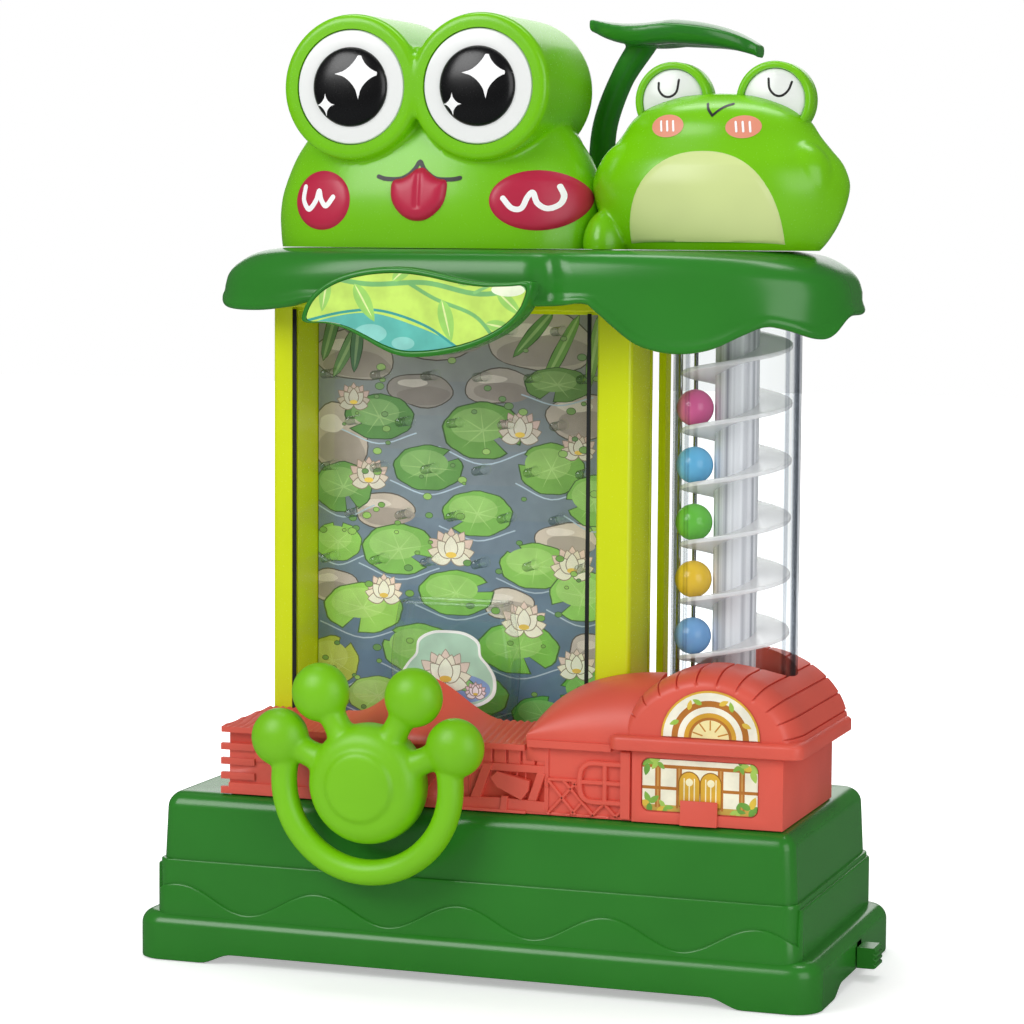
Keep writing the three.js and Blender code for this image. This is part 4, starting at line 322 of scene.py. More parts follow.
# %% Light
PANELS = {
    "key panel": ((-0.55, -0.95, 0.85), (0.7, 0.7), 7.5),
    "fill panel": ((1.0, -0.75, 0.45), (0.8, 0.9), 4.5),
    "top panel": ((0.0, 0.15, 1.15), (0.9, 0.3), 4.5),
    "rear panel": ((-0.35, 1.15, 0.55), (0.9, 0.7), 3.0),
}
for name, (stand, size, power) in PANELS.items():
    lamp = bpy.data.lights.new(name, "AREA")
    lamp.shape = "RECTANGLE"
    lamp.size, lamp.size_y = size
    lamp.energy = power
    panel = bpy.data.objects.new(name, lamp)
    panel.location = stand
    aim = (cad_low + cad_high) / 2 - Vector(stand)
    panel.rotation_euler = aim.to_track_quat("-Z", "Y").to_euler()
    scene.collection.objects.link(panel)
print("panels:", len(PANELS), "power:", sum(power for *_, power in PANELS.values()), "W")

# %% [markdown]
# The surround is pure white where the camera or clear plastic looks at it. It is dimmer where it only lights the
# toy, so that colours come out about as they are written, and dimmer still where a glossy face mirrors it, so
# that dark green plastic stays dark.

# %% The pale surround
GIVES_LIGHT, IS_MIRRORED, IS_SEEN = 0.34, 0.1, 1.0
world = bpy.data.worlds.new("Light tent")
world.use_nodes = True
tree = world.node_tree
tree.nodes.clear()
path = add(tree, "ShaderNodeLightPath")
dim, mirrored, white = [
    add(tree, "ShaderNodeBackground", inputs={"Color": colour("#ffffff"), "Strength": strength})
    for strength in (GIVES_LIGHT, IS_MIRRORED, IS_SEEN)
]
seen = add(tree, "ShaderNodeMath", [(0, path, "Is Camera Ray"), (1, path, "Is Transmission Ray")],
           operation="MAXIMUM")
unseen = add(tree, "ShaderNodeMixShader", [("Fac", path, "Is Glossy Ray"), (1, dim, 0), (2, mirrored, 0)])
surround = add(tree, "ShaderNodeMixShader", [("Fac", seen, "Value"), (1, unseen, 0), (2, white, 0)])
add(tree, "ShaderNodeOutputWorld", [("Surface", surround, "Shader")])
scene.world = world
print("surround:", GIVES_LIGHT, "as light,", IS_MIRRORED, "mirrored,", IS_SEEN, "seen")

# %% [markdown]
# The toy stands on matt paper, 8 m wide, with a tooth of 9 mm. The paper glows for the camera alone, more with the
# distance from the toy: it turns white in the picture and keeps the toy's shadow. A glossy face mirrors it darker.

# %% Floor
HALF_FLOOR, TOOTH_COUNT = 4, 900
SHADOW_NEAR, SHADOW_FAR, GLOW_NEAR = 0.12, 0.55, 0.42
floor_mesh = bpy.data.meshes.new("floor")
corners = [(x * HALF_FLOOR, y * HALF_FLOOR, 0) for x, y in ((-1, -1), (1, -1), (1, 1), (-1, 1))]
floor_mesh.from_pydata(corners, [], [(0, 1, 2, 3)])
floor = bpy.data.objects.new("floor", floor_mesh)
floor.location.z = -0.0002
scene.collection.objects.link(floor)
paper, tree = new_material("Matt backdrop paper")
path = add(tree, "ShaderNodeLightPath")
spot = add(tree, "ShaderNodeNewGeometry")
away = add(tree, "ShaderNodeVectorMath", [(0, spot, "Position")], operation="LENGTH")
fade = add(tree, "ShaderNodeMapRange", [("Value", away, "Value")],
           {"From Min": SHADOW_NEAR, "From Max": SHADOW_FAR, "To Min": GLOW_NEAR, "To Max": 1.0})
shown = add(tree, "ShaderNodeMath", [(0, path, "Is Camera Ray"), (1, fade, "Result")], operation="MULTIPLY")
grain = add(tree, "ShaderNodeTexNoise", inputs={"Scale": TOOTH_COUNT, "Detail": 2.0})
bump = add(tree, "ShaderNodeBump", [("Height", grain, "Fac")], {"Strength": 0.05, "Distance": 0.0002})
tone = add(tree, "ShaderNodeMix", [("Factor", path, "Is Glossy Ray")],
           {"A": colour("#f1f2f2"), "B": colour("#6a6c6d")}, data_type="RGBA")
sheet = add(
    tree,
    "ShaderNodeBsdfPrincipled",
    [("Base Color", tone, "Result"), ("Normal", bump, "Normal"), ("Emission Strength", shown, "Value")],
    {"Roughness": 0.9, "Specular IOR Level": 0.2, "Emission Color": colour("#ffffff")},
)
finish_surface(tree, sheet)
floor.data.materials.append(paper)
print("floor:", 2 * HALF_FLOOR, "m wide")

# %% [markdown]
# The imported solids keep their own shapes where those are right. Each one gets the material of the real moulding,
# and its flat facets are left as they are inside the machine, where hardly any light reaches.

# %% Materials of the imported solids
FINISH_OF_NODE = {
    base_green: "base_shell base_floor battery_door leaf_canopy leaf_parasol",
    frog_green: "frog_head little_frog_body",
    lime_green: "paw_handle power_switch_knob",
    cabinet_yellow: "cabinet_frame rear_post cabinet_back",
    house_red: "house_walls ruin_roof barn_roof return_ramp",
    crimson: "frog_tongue cheek_left cheek_right",
    belly_green: "little_frog_belly",
    bright_white: "eye_white_left eye_white_right little_eye_left little_eye_right lift_screw handle_pinion"
    " catcher_carriage canopy_lining drive_pinion screw_gear top_channel shaft_bracket",
    pupil_black: "pupil_left pupil_right",
    pane_clear: "window_pane",
    tower_clear: "tower_tube",
    bucket_clear: "catcher_bucket",
    peg_clear: "peg_panel",
    steel: "handle_shaft catcher_rail screw_spindle ball_guide_rod_1 ball_guide_rod_2",
    engine_grey: "gear_motor speaker power_switch_body",
    board_green: "circuit_board",
    card_moss: "backdrop_card",
    card_cream: "badge_panel",
}
for finish, names in FINISH_OF_NODE.items():
    for name in names.split():
        piece = nodes[name]
        piece.data.materials.clear()
        piece.data.materials.append(finish)
BALL_COLOURS = {1: "#7fb4ea", 2: "#f6cc3c", 3: "#6fca4a", 4: "#6fc0ee", 5: "#e0679f"}
ball_finishes = {
    number: moulded_abs(f"Polished ABS ball {number}", value, 0.2) for number, value in BALL_COLOURS.items()
}
print("finishes:", len(FINISH_OF_NODE), "and", len(ball_finishes), "for the balls")

# %% [markdown]
# The toy's soft forms are built as skins over rings of points. A loft joins one ring to the next. A turned form
# spins a profile about an axis. An egg is a ball stretched along three axes, and a power above 2 squares it up,
# which gives the frog its loaf-shaped head.


# %% Making rings, turned forms and eggs
def loft(bm, rings, caps=True):
    """Joins rings of points, all of one length, with a skin, and closes its two ends."""
    rows = [[bm.verts.new(p) for p in ring] for ring in rings]
    for low, high in zip(rows, rows[1:]):
        for i in range(len(low)):
            j = (i + 1) % len(low)
            bm.faces.new((low[i], low[j], high[j], high[i]))
    if caps:
        bm.faces.new(rows[0][::-1])
        bm.faces.new(rows[-1])


def turned(bm, profile, x=0.0, y=0.0, z=0.0, axis="Y", around=72, caps=True):
    """Spins (radius, place along the axis) pairs about the Y or Z axis through a point."""
    rings = []
    for radius, along in profile:
        ring = []
        for i in range(around):
            turn = 2 * math.pi * i / around
            c, s = max(radius, 0.001) * math.cos(turn), max(radius, 0.001) * math.sin(turn)
            ring.append(Vector((x + c, along, z - s)) if axis == "Y" else Vector((x + c, y + s, along)))
        rings.append(ring)
    loft(bm, rings, caps)


def egg(bm, middle, halves, power=2.0, around=72, down=40, turn=None):
    """A squared or round egg, given by its middle and half sizes, and turned if asked."""
    rings = []
    for k in range(down + 1):
        tilt = math.pi * (k / down - 0.5)
        ring = []
        for i in range(around):
            angle = 2 * math.pi * i / around
            d = [math.cos(tilt) * math.cos(angle), math.cos(tilt) * math.sin(angle), math.sin(tilt)]
            size = sum(abs(v) ** power for v in d) ** (1 / power)
            point = Vector([v / size * half for v, half in zip(d, halves)])
            ring.append((turn @ point if turn else point) + Vector(middle))
        rings.append(ring)
    loft(bm, rings)


def body_rings(rows, middle, depth, power, around=96):
    """Squared rings for a body of (height, half width) rows, its depth a share of its width."""
    rings = []
    for z, half in smooth_flat(rows, 4):
        ring = []
        for i in range(around):
            c, s = math.cos(2 * math.pi * i / around), math.sin(2 * math.pi * i / around)
            size = half * (abs(c) ** power + abs(s) ** power) ** (-1 / power)
            ring.append(Vector((middle[0] + size * c, middle[1] + depth * size * s, z)))
        rings.append(ring)
    return rings


def pipe(bm, points, radii, around=28):
    """A round tube through points, its radius running through the radii."""
    rings = []
    side = None
    for i, point in enumerate(points):
        before, after = points[max(0, i - 1)], points[min(len(points) - 1, i + 1)]
        along = (after - before).normalized()
        side = side or along.orthogonal().normalized()
        side = (side - along * side.dot(along)).normalized()
        other = along.cross(side)
        share = i / (len(points) - 1) * (len(radii) - 1)
        k = min(int(share), len(radii) - 2)
        radius = radii[k] + (radii[k + 1] - radii[k]) * (share - k)
        turns = [2 * math.pi * j / around for j in range(around)]
        rings.append([point + radius * (math.cos(t) * side + math.sin(t) * other) for t in turns])
    loft(bm, rings)


def smooth_path(points, per_span=10):
    """Points of a Catmull-Rom curve through the given ones."""
    points = [Vector(p) for p in points]
    ends = [2 * points[0] - points[1], *points, 2 * points[-1] - points[-2]]
    out = []
    for a, b, c, d in zip(ends, ends[1:], ends[2:], ends[3:]):
        for i in range(per_span):
            t = i / per_span
            bend, twist = 2 * a - 5 * b + 4 * c - d, 3 * b - a - 3 * c + d
            out.append(0.5 * (2 * b + (c - a) * t + bend * t**2 + twist * t**3))
    return [*out, points[-1]]


def smooth_flat(pairs, per_span=10, closed=False):
    """The same for pairs of numbers, and for a closed outline where asked."""
    path = smooth_path([(a, b, 0) for a, b in ([*pairs, pairs[0]] if closed else pairs)], per_span)
    return [(p.x, p.y) for p in (path[:-1] if closed else path)]


# %% [markdown]
# Every new piece is drawn in millimetres about the base's middle. This cell moves it into the scene, gives it its
# material, and fastens it to the moving body of the solid that it stands for.


# %% Placing a piece
BODY_OF = {node: body for body, names in frame["record"]["behaviour"]["bodies"].items() for node in names}


def place(name, bm, finish, body="game_body", stands_for=None, smooth=35, turn_out=True):
    """Turns a bmesh in millimetres into a piece that rides on a body."""
    bmesh.ops.remove_doubles(bm, verts=bm.verts, dist=0.002)
    if turn_out:
        bmesh.ops.recalc_face_normals(bm, faces=bm.faces)
    bm.transform(Matrix.Translation(ORIGIN) @ Matrix.Scale(0.001, 4))
    mesh = bpy.data.meshes.new(name)
    bm.to_mesh(mesh)
    bm.free()
    mesh.materials.append(finish)
    piece = bpy.data.objects.new(name, mesh)
    scene.collection.objects.link(piece)
    if smooth:
        mesh.shade_smooth()
        mesh.set_sharp_from_angle(angle=math.radians(smooth))
    if finish in CLEAR:  # thin clear walls let the light through, and cast no shadow
        piece.visible_shadow = piece.visible_diffuse = False
    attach(piece, body)
    if stands_for:
        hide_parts(stands_for)
    return piece


# %% [markdown]
# A blow-moulded or slush-moulded head has no sharp inner corners: the wall runs in one skin over all its forms.
# Overlapping eggs and cylinders are remeshed here into one skin of cells under a millimetre, and a few rounds of
# smoothing turn each crease into a fillet, as a toolmaker's cutter does.


# %% Melting forms into one skin
def melted(bm, cell, rounds, above=None):
    """One smooth skin over overlapping forms, cut off flat below a height."""
    rough = bpy.data.meshes.new("rough")
    bm.to_mesh(rough)
    bm.free()
    holder = bpy.data.objects.new("holder", rough)
    scene.collection.objects.link(holder)
    remesh = holder.modifiers.new("one skin", "REMESH")
    remesh.mode = "VOXEL"
    remesh.voxel_size = cell
    soften = holder.modifiers.new("fillets", "SMOOTH")
    soften.factor = 0.5
    soften.iterations = rounds
    skin = bmesh.new()
    skin.from_object(holder, bpy.context.evaluated_depsgraph_get())
    bpy.data.objects.remove(holder)
    if above is not None:
        geometry = [*skin.verts, *skin.edges, *skin.faces]
        cut = bmesh.ops.bisect_plane(
            skin, geom=geometry, plane_co=(0, 0, above), plane_no=(0, 0, 1), clear_inner=True
        )
        edges = [e for e in cut["geom_cut"] if isinstance(e, bmesh.types.BMEdge)]
        bmesh.ops.holes_fill(skin, edges=edges, sides=0)
    return skin


def cut_with(piece, bm):
    """Cuts a form, drawn in millimetres, out of a finished piece."""
    tool = place(f"{piece.name}_cutter", bm, ink_black, smooth=0)
    boolean = piece.modifiers.new("cut", "BOOLEAN")
    boolean.object = tool
    boolean.solver = "EXACT"
    mesh = bpy.data.meshes.new_from_object(piece.evaluated_get(bpy.context.evaluated_depsgraph_get()))
    piece.modifiers.clear()
    piece.data = mesh
    mesh.shade_smooth()
    mesh.set_sharp_from_angle(angle=math.radians(40))
    bpy.data.objects.remove(tool)


# %% [markdown]
# Pad printing lays ink on a curved face from the front, and small coloured pads are pressed into shallow seats.
# Both start as an outline in the front view. The outline is filled with a fine net, the net is dropped straight
# back on to the carrying surface, and pads are puffed up towards their middle.

# %% Prints and pads on curved faces
from mathutils.bvhtree import BVHTree
from mathutils.geometry import delaunay_2d_cdt


def surface_of(piece):
    """A piece's skin, ready to be met by rays."""
    return BVHTree.FromObject(piece, bpy.context.evaluated_depsgraph_get())


def distance_to(outline, x, z):
    """How far a spot lies from an outline."""
    best = 1e9
    for (x0, z0), (x1, z1) in zip(outline, [*outline[1:], outline[0]]):
        dx, dz = x1 - x0, z1 - z0
        share = max(0, min(1, ((x - x0) * dx + (z - z0) * dz) / (dx * dx + dz * dz + 1e-12)))
        best = min(best, math.hypot(x - x0 - share * dx, z - z0 - share * dz))
    return best


def net(outline, cell):
    """Triangles that fill an outline: its own points and a grid of inner ones."""
    xs, zs = [p[0] for p in outline], [p[1] for p in outline]
    inner = []
    for i in range(1, int((max(xs) - min(xs)) / cell) + 1):
        for k in range(1, int((max(zs) - min(zs)) / cell) + 1):
            x, z = min(xs) + (i + 0.5 * (k % 2)) * cell, min(zs) + k * cell * 0.87
            if distance_to(outline, x, z) > cell * 0.5:
                inner.append((x, z))
    points = [Vector(p) for p in [*outline, *inner]]
    edges = [(i, (i + 1) % len(outline)) for i in range(len(outline))]
    found, _, faces, *_ = delaunay_2d_cdt(points, edges, [], 1, 1e-4)
    return found, faces


RAY_FROM, FACE_NEAR = -120, -30


def lay_on(name, surface, outlines, finish, stands_for=None, cell=1.0, lift=0.1, puff=0.0, soft=3.0, groove=None):
    """Drops outlines, given as (x, z) places, from the front on to a surface, and puffs them up to a height."""
    bm = bmesh.new()
    for outline in outlines:
        found, faces = net(outline, cell)
        verts = []
        for x, z in found:
            hit, normal, _, _ = surface.ray_cast(mm(x, RAY_FROM, z), Vector((0, 1, 0)))
            if hit is None:
                hit, normal, _, _ = surface.find_nearest(mm(x, FACE_NEAR, z))
            if normal.y > 0:
                normal = -normal
            rise = lift
            if puff:
                inward = min(1, distance_to(outline, x, z) / soft)
                rise += puff * math.sqrt(max(0, 1 - (1 - inward) ** 2))
            if groove:
                rise -= groove(x, z)
            verts.append(bm.verts.new((hit - ORIGIN) * 1000 + normal * rise))
        for face in faces:
            bm.faces.new([verts[i] for i in face])
    piece = place(name, bm, finish, "game_body", stands_for, smooth=50, turn_out=False)
    if sum(p.normal.y * p.area for p in piece.data.polygons) > 0:
        piece.data.flip_normals()
    return piece


def ribbon(points, width, per_span=8):
    """The outline of a brush stroke with round ends."""
    path = smooth_path([(x, z, 0) for x, z in points], per_span)
    left, right = [], []
    for i, point in enumerate(path):
        along = (path[min(i + 1, len(path) - 1)] - path[max(i - 1, 0)]).normalized()
        across = Vector((-along.y, along.x, 0)) * width / 2
        left.append(point + across)
        right.append(point - across)

    def cap(centre, start):
        turns = [-math.pi * k / 6 for k in range(1, 6)]
        return [centre + Matrix.Rotation(turn, 3, "Z") @ (start - centre) for turn in turns]

    ring = [*left, *cap(path[-1], left[-1]), *right[::-1], *cap(path[0], right[0])]
    return [(p.x, p.y) for p in ring]


def oval(x, z, half_width, half_height, power=2.0, count=56):
    """An oval outline. A power over 2 squares it up, and one under 1 draws it in to a four-pointed star."""
    out = []
    for i in range(count):
        turn = 2 * math.pi * i / count
        c, s = math.cos(turn), math.sin(turn)
        size = (abs(c) ** power + abs(s) ** power) ** (1 / power)
        out.append((x + half_width * c / size, z + half_height * s / size))
    return out


def quarter(steps):
    """The turns of a quarter circle, from 0 to 90 degrees."""
    return [math.pi / 2 * i / steps for i in range(steps + 1)]


# %% [markdown]
# ## The big frog
# Its head is one loaf with two eye barrels, like a pair of binoculars, that run back over it. The barrels' rims
# are rounded and carry white discs in shallow cups, with glossy black domes in the middle.

# %% The big frog's head
DECK = 255.3
HEAD_X, EYE_Z, EYE_FACE, EYE_APART = -25.5, 311, -42, 47
BARREL, CUP = 25.4, 20.1
EYE_XS = (HEAD_X - EYE_APART / 2, HEAD_X + EYE_APART / 2)
bm = bmesh.new()
LOAF = [(250, 58.5), (256, 59.7), (262, 60.2), (267, 60.3), (273.7, 59.4), (280.8, 57), (287, 54.2), (292, 51),
        (298, 46.5), (304, 40), (308, 32), (310.5, 20), (311.5, 4)]
loft(bm, body_rings(LOAF, (HEAD_X, -12), 0.49, 2.4))
egg(bm, (HEAD_X, -4, 284), (50.5, 21.8, 25.8), 2.3)
for x in EYE_XS:
    barrel = [(0, EYE_FACE), (BARREL - 2, EYE_FACE), (BARREL - 0.6, EYE_FACE + 0.6), (BARREL, EYE_FACE + 2)]
    barrel += [(BARREL * math.cos(t), 8 + 12 * math.sin(t)) for t in quarter(8)]
    turned(bm, barrel, x=x, z=EYE_Z)
web = [(0, -38.5), (8, -38.5), (8, 4), (0, 8)]
turned(bm, web, x=HEAD_X, z=EYE_Z + 6, around=40)
skin = melted(bm, 0.7, 8, DECK)
frog_head = place("big_frog_head", skin, frog_green, "game_body", "frog_head", smooth=60)
cups = bmesh.new()
for x in EYE_XS:
    turned(cups, [(0, -60), (CUP, -60), (CUP, EYE_FACE + 2.4), (0, EYE_FACE + 2.4)], x=x, z=EYE_Z)
cut_with(frog_head, cups)
head_surface = surface_of(frog_head)
print("big frog head:", len(frog_head.data.polygons), "faces")

# %% [markdown]
# The eyes are flat white discs with black domes, and each pupil carries two printed four-pointed glints.

# %% The big frog's eyes
for side, x in zip(("left", "right"), EYE_XS):
    bm = bmesh.new()
    disc = [(0, -40.0), (19.75, -40.0), (19.8, -41.2), (19.4, -41.8), (18.6, -42.0), (13.6, -42.0), (0, -42.0)]
    turned(bm, disc, x=x, z=EYE_Z, around=96)
    place(f"big_frog_eye_{side}", bm, bright_white, "game_body", f"eye_white_{side}")
    bm = bmesh.new()
    dome = [(0, -42.02), *[(13.8 * math.cos(t), -42.05 - 3.6 * math.sin(t)) for t in quarter(16)]]
    turned(bm, dome, x=x, z=EYE_Z, around=96)
    pupil = place(f"big_frog_pupil_{side}", bm, pupil_black, "game_body", f"pupil_{side}", smooth=60)
    glints = [oval(x + 4.2, EYE_Z + 4.4, 8.8, 8.8, 0.62, 48), oval(x - 8.3, EYE_Z - 6.2, 3.6, 3.9, 0.62, 48)]
    lay_on(f"big_frog_glints_{side}", surface_of(pupil), glints, ink_white, cell=0.9, lift=0.12)

# %% [markdown]
# The mouth is one printed stroke, and the tongue is a soft red pad with a groove that hangs from it. The cheeks
# are crimson pads with a white wavy stroke each.

# %% The big frog's face
cheeks = {
    "left": (oval(-61.6, 271.7, 11.6, 10.4), [
        (-68.6, 276.4), (-69, 271.8), (-66.6, 268.6), (-63.6, 271.6), (-62.4, 275), (-61.3, 271.8), (-59.2, 269.8),
        (-56.4, 272.8)]),
    "right": (oval(17.4, 272.0, 15.9, 10.4), [
        (6.6, 272.6), (9.6, 269.3), (12.8, 269.2), (14.8, 273.2), (16.4, 274.6), (18, 271), (21.2, 269.2),
        (24.8, 270.6), (26, 273.6), (24.6, 276.8)]),
}
for side, (outline, stroke) in cheeks.items():
    pad = lay_on(f"big_frog_cheek_{side}", head_surface, [outline], crimson, f"cheek_{side}",
                 lift=0.02, puff=1.1, soft=4.5)
    lay_on(f"big_frog_blush_wave_{side}", surface_of(pad), [ribbon(stroke, 1.9)], ink_white, cell=0.7, lift=0.08)

tongue_outline = [(-23.6, 284.3), (-26.2, 282.0), (-29.8, 279.6), (-33.6, 278.6), (-34.3, 274.5), (-33.2, 270.4),
                  (-30.4, 267.0), (-27.2, 265.1), (-24, 264.6), (-20.8, 265.2), (-17.6, 267.2), (-14.8, 270.5),
                  (-13.7, 274.5), (-13.9, 278.6), (-17.4, 279.5), (-21.0, 282.1)]
tongue_middle = lambda x, z: 0.7 * math.exp(-(((x + 23.8) / 0.9) ** 2)) if z > 269 else 0
lay_on("big_frog_tongue", head_surface, [smooth_flat(tongue_outline, 3, closed=True)], crimson, "frog_tongue",
       cell=0.8, lift=0.05, puff=2.2, soft=5.0, groove=tongue_middle)
mouth = [(-39.2, 280.0), (-36.3, 279.2), (-31.0, 279.2), (-27.6, 280.8), (-25.5, 283.0), (-24.0, 285.2),
         (-22.6, 283.0), (-20.5, 280.9), (-17.3, 279.2), (-12.2, 279.0), (-9.0, 279.5)]
mouth_print = lay_on("big_frog_mouth", head_surface, [ribbon(mouth, 1.5, 5)], ink_black, cell=0.8, lift=0.15)
print("mouth print:", len(mouth_print.data.polygons), "faces")

# %% [markdown]
# ## The little frog
# A pear of rings, wider than deep, sits on the leaf with its arms folded in. Thin eye discs stand behind its
# brow, and a pale belly panel is let into its front.

# %% The little frog's body
LITTLE_X, LITTLE_EYE_Z = 76.8, 306.5
LITTLE_EYES = (("left", 60.5), ("right", 96.5))
PEAR = [(250, 30), (255, 35), (258.3, 38), (263.5, 41.3), (269.3, 43.8), (274.4, 45.2), (278.8, 45.4), (284.9, 43),
        (289.7, 39), (294.5, 35), (299, 32), (303, 27.5), (306, 21), (308.2, 13), (309, 3)]
bm = bmesh.new()
loft(bm, body_rings(PEAR, (LITTLE_X, -13), 0.56, 2.0))
for side in (-1, 1):
    tilt = Matrix.Rotation(side * -math.pi / 9, 3, "Y")
    egg(bm, (LITTLE_X + side * 31.2, -20.7, 280.5), (10.5, 9.0, 12.6), 2, 40, 24, tilt)
egg(bm, (38.6, -23.5, 257.5), (7.8, 8.2, 11.6), 1.8, 40, 24)
skin = melted(bm, 0.7, 14, DECK)
little_frog = place("little_frog_skin", skin, frog_green, "game_body", "little_frog_body", smooth=60)
little_surface = surface_of(little_frog)
print("little frog body:", len(little_frog.data.polygons), "faces")

# %% The little frog's closed eyes
LIDS = {
    "left": [(-5.0, 312.6), (-4.9, 310.2), (-3.2, 308.2), (-0.8, 307.9), (1.4, 309.6), (2.2, 313.6)],
    "right": [(-2.0, 313.8), (-1.6, 310.4), (0.4, 308.2), (2.8, 308.0), (5, 309.8), (6.2, 312.6)],
}
EYE_RIM = [(0, -10), (10.9, -10), (10.9, -17.0), (11.3, -17.8), (12.2, -18), (12.9, -17.7), (13.3, -17),
           (13.3, -8.5), (12.2, -6.8), (10, -6), (0, -6)]
EYE_DISC = [(0, -15.5), (10.7, -15.5), (10.7, -16.4), (10.2, -16.8), (0, -17.1)]
bm = bmesh.new()
for _, x in LITTLE_EYES:
    turned(bm, EYE_RIM, x=x, z=LITTLE_EYE_Z)
place("little_frog_eye_rims", bm, frog_green, smooth=40)
for side, x in LITTLE_EYES:
    bm = bmesh.new()
    turned(bm, EYE_DISC, x=x, z=LITTLE_EYE_Z)
    disc = place(f"little_frog_eye_{side}", bm, bright_white, "game_body", f"little_eye_{side}", smooth=50)
    lid = ribbon([(x + dx, z) for dx, z in LIDS[side]], 0.8)
    lay_on(f"little_frog_lid_{side}", surface_of(disc), [lid], ink_black, cell=0.6, lift=0.06)
print("little frog eyes:", len(LITTLE_EYES))

# %% The little frog's front
belly = [(x, z) for x, z in oval(76.6, 257.4, 27.2, 31.4, 2.25, 72) if z > DECK + 0.1]
lay_on("little_frog_belly_panel", little_surface, [belly], belly_green, "little_frog_belly",
       cell=1.1, lift=0.02, puff=0.7)
beak = [[(75.8, 304.9), (76.6, 303.0), (78.4, 300.8)], [(78.4, 300.8), (80, 302.4), (82.2, 304.0), (84.6, 304.9)]]
lay_on("little_frog_mouth", little_surface, [ribbon(line, 0.85) for line in beak], ink_black, cell=0.6, lift=0.1)
for side, x, z in (("left", 62.6, 297.4), ("right", 89.4, 297.0)):
    lay_on(f"little_frog_blush_{side}", little_surface, [oval(x, z, 6.0, 3.9)], ink_blush, cell=0.8, lift=0.1)
    strokes = [ribbon([(x + k - 0.4, z + 1.6), (x + k + 0.2, z - 1.6)], 0.75, 3) for k in (-2.3, 0, 2.3)]
    lay_on(f"little_frog_blush_marks_{side}", little_surface, strokes, ink_white, cell=0.6, lift=0.16)
print("belly:", len(belly), "points")

# %% [markdown]
# ## The paw handle
# The knob of the game is a frog's paw with four toes and a grip ring, moulded in one lime green piece. It turns
# with the handle's shaft, so it rides on the body named handle.

# %% The paw handle
PAW_X, PAW_Y, PAW_Z = -32.6, -66, 70.3
TOE_REACH, RING_RADIUS, GRIP = 35.6, 31, 4.6
bm = bmesh.new()
disc = [(0, -60), (20.6, -60), (21, -61.2)]
disc += [(21 - 7.5 * (1 - math.cos(t)), PAW_Y - 7.5 * math.sin(t)) for t in quarter(8)]
disc += [(13.1, -73.6), (12.4, -74.1), (11.8, -74.8), (10.8, -75.3), (6, -75.55), (0, -75.6)]
turned(bm, disc, x=PAW_X, z=PAW_Z)
palm = Vector((PAW_X, PAW_Y, PAW_Z))
for degrees in (24, 61, 119, 156):
    turn = math.radians(degrees)
    out = Vector((math.cos(turn), 0, math.sin(turn)))
    egg(bm, palm + out * TOE_REACH, (10.4, 8.2, 10.4), 2, 40, 24)
    pipe(bm, [palm + out * d for d in range(14, 33, 2)], [6.6, 5.6, 4.8, 4.6, 5.2, 7.0], 32)
turns = [math.radians(166 + 208 * i / 60) for i in range(61)]
pipe(bm, [palm + RING_RADIUS * Vector((math.cos(t), 0, math.sin(t))) for t in turns], [GRIP, GRIP])
turned(bm, [(0, -61), (8, -61), (8, -49.1), (0, -49.1)], x=PAW_X, z=PAW_Z, around=48)
paw = place("frog_paw", melted(bm, 0.6, 14), lime_green, "handle", "paw_handle", smooth=60)
print("paw:", len(paw.data.polygons), "faces")

# %% [markdown]
# ## The leaf canopy
# The roof of the cabinet is one big lily leaf. Its plan is a squared oval. Its flat top rolls over into a wall
# whose lower edge waves up and down, lowest in front of the tower, and ends in a rolled rim. A shallow fold marks
# where two lobes meet, and a framed picture window is moulded on to its front.

# %% The leaf canopy
LEAF = {"left": -106.5, "right": 124, "front": -54, "back": 40, "top": 255, "shoulder": 241, "fold": 28}
FOLD_DEPTH, FOLD_REACH = 2.4, 7
FRONT_EDGE = [(-106.5, 239), (-101, 234.4), (-85, 233.6), (-70, 235), (-50, 237.6), (22, 236.5), (40, 237.6),
              (45, 235), (50, 230.8), (58, 224.7), (65, 222.2), (72, 221.2), (79, 221.6), (86, 223.4), (95, 227.8),
              (101.8, 230.5), (108.6, 229.4), (117, 226.5), (121, 227.6), (124, 234)]
BACK_EDGE = [(-106.5, 239), (-95, 234.4), (-70, 233), (-40, 236.5), (0, 232), (35, 237.5), (70, 230), (105, 235),
             (124, 234)]


def smooth_heights(pairs):
    """A function that reads a smooth curve's height at any x."""
    dense = smooth_flat(pairs, 8)

    def at(x):
        for (x0, z0), (x1, z1) in zip(dense, dense[1:]):
            if x0 <= x <= x1:
                return z0 + (z1 - z0) * (x - x0) / max(1e-6, x1 - x0)
        return dense[0][1] if x < dense[0][0] else dense[-1][1]

    return at


def smoothstep(value, low, high):
    """0 below low, 1 above high, and a soft S between."""
    share = max(0, min(1, (value - low) / (high - low)))
    return share * share * (3 - 2 * share)


front_height, back_height = smooth_heights(FRONT_EDGE), smooth_heights(BACK_EDGE)


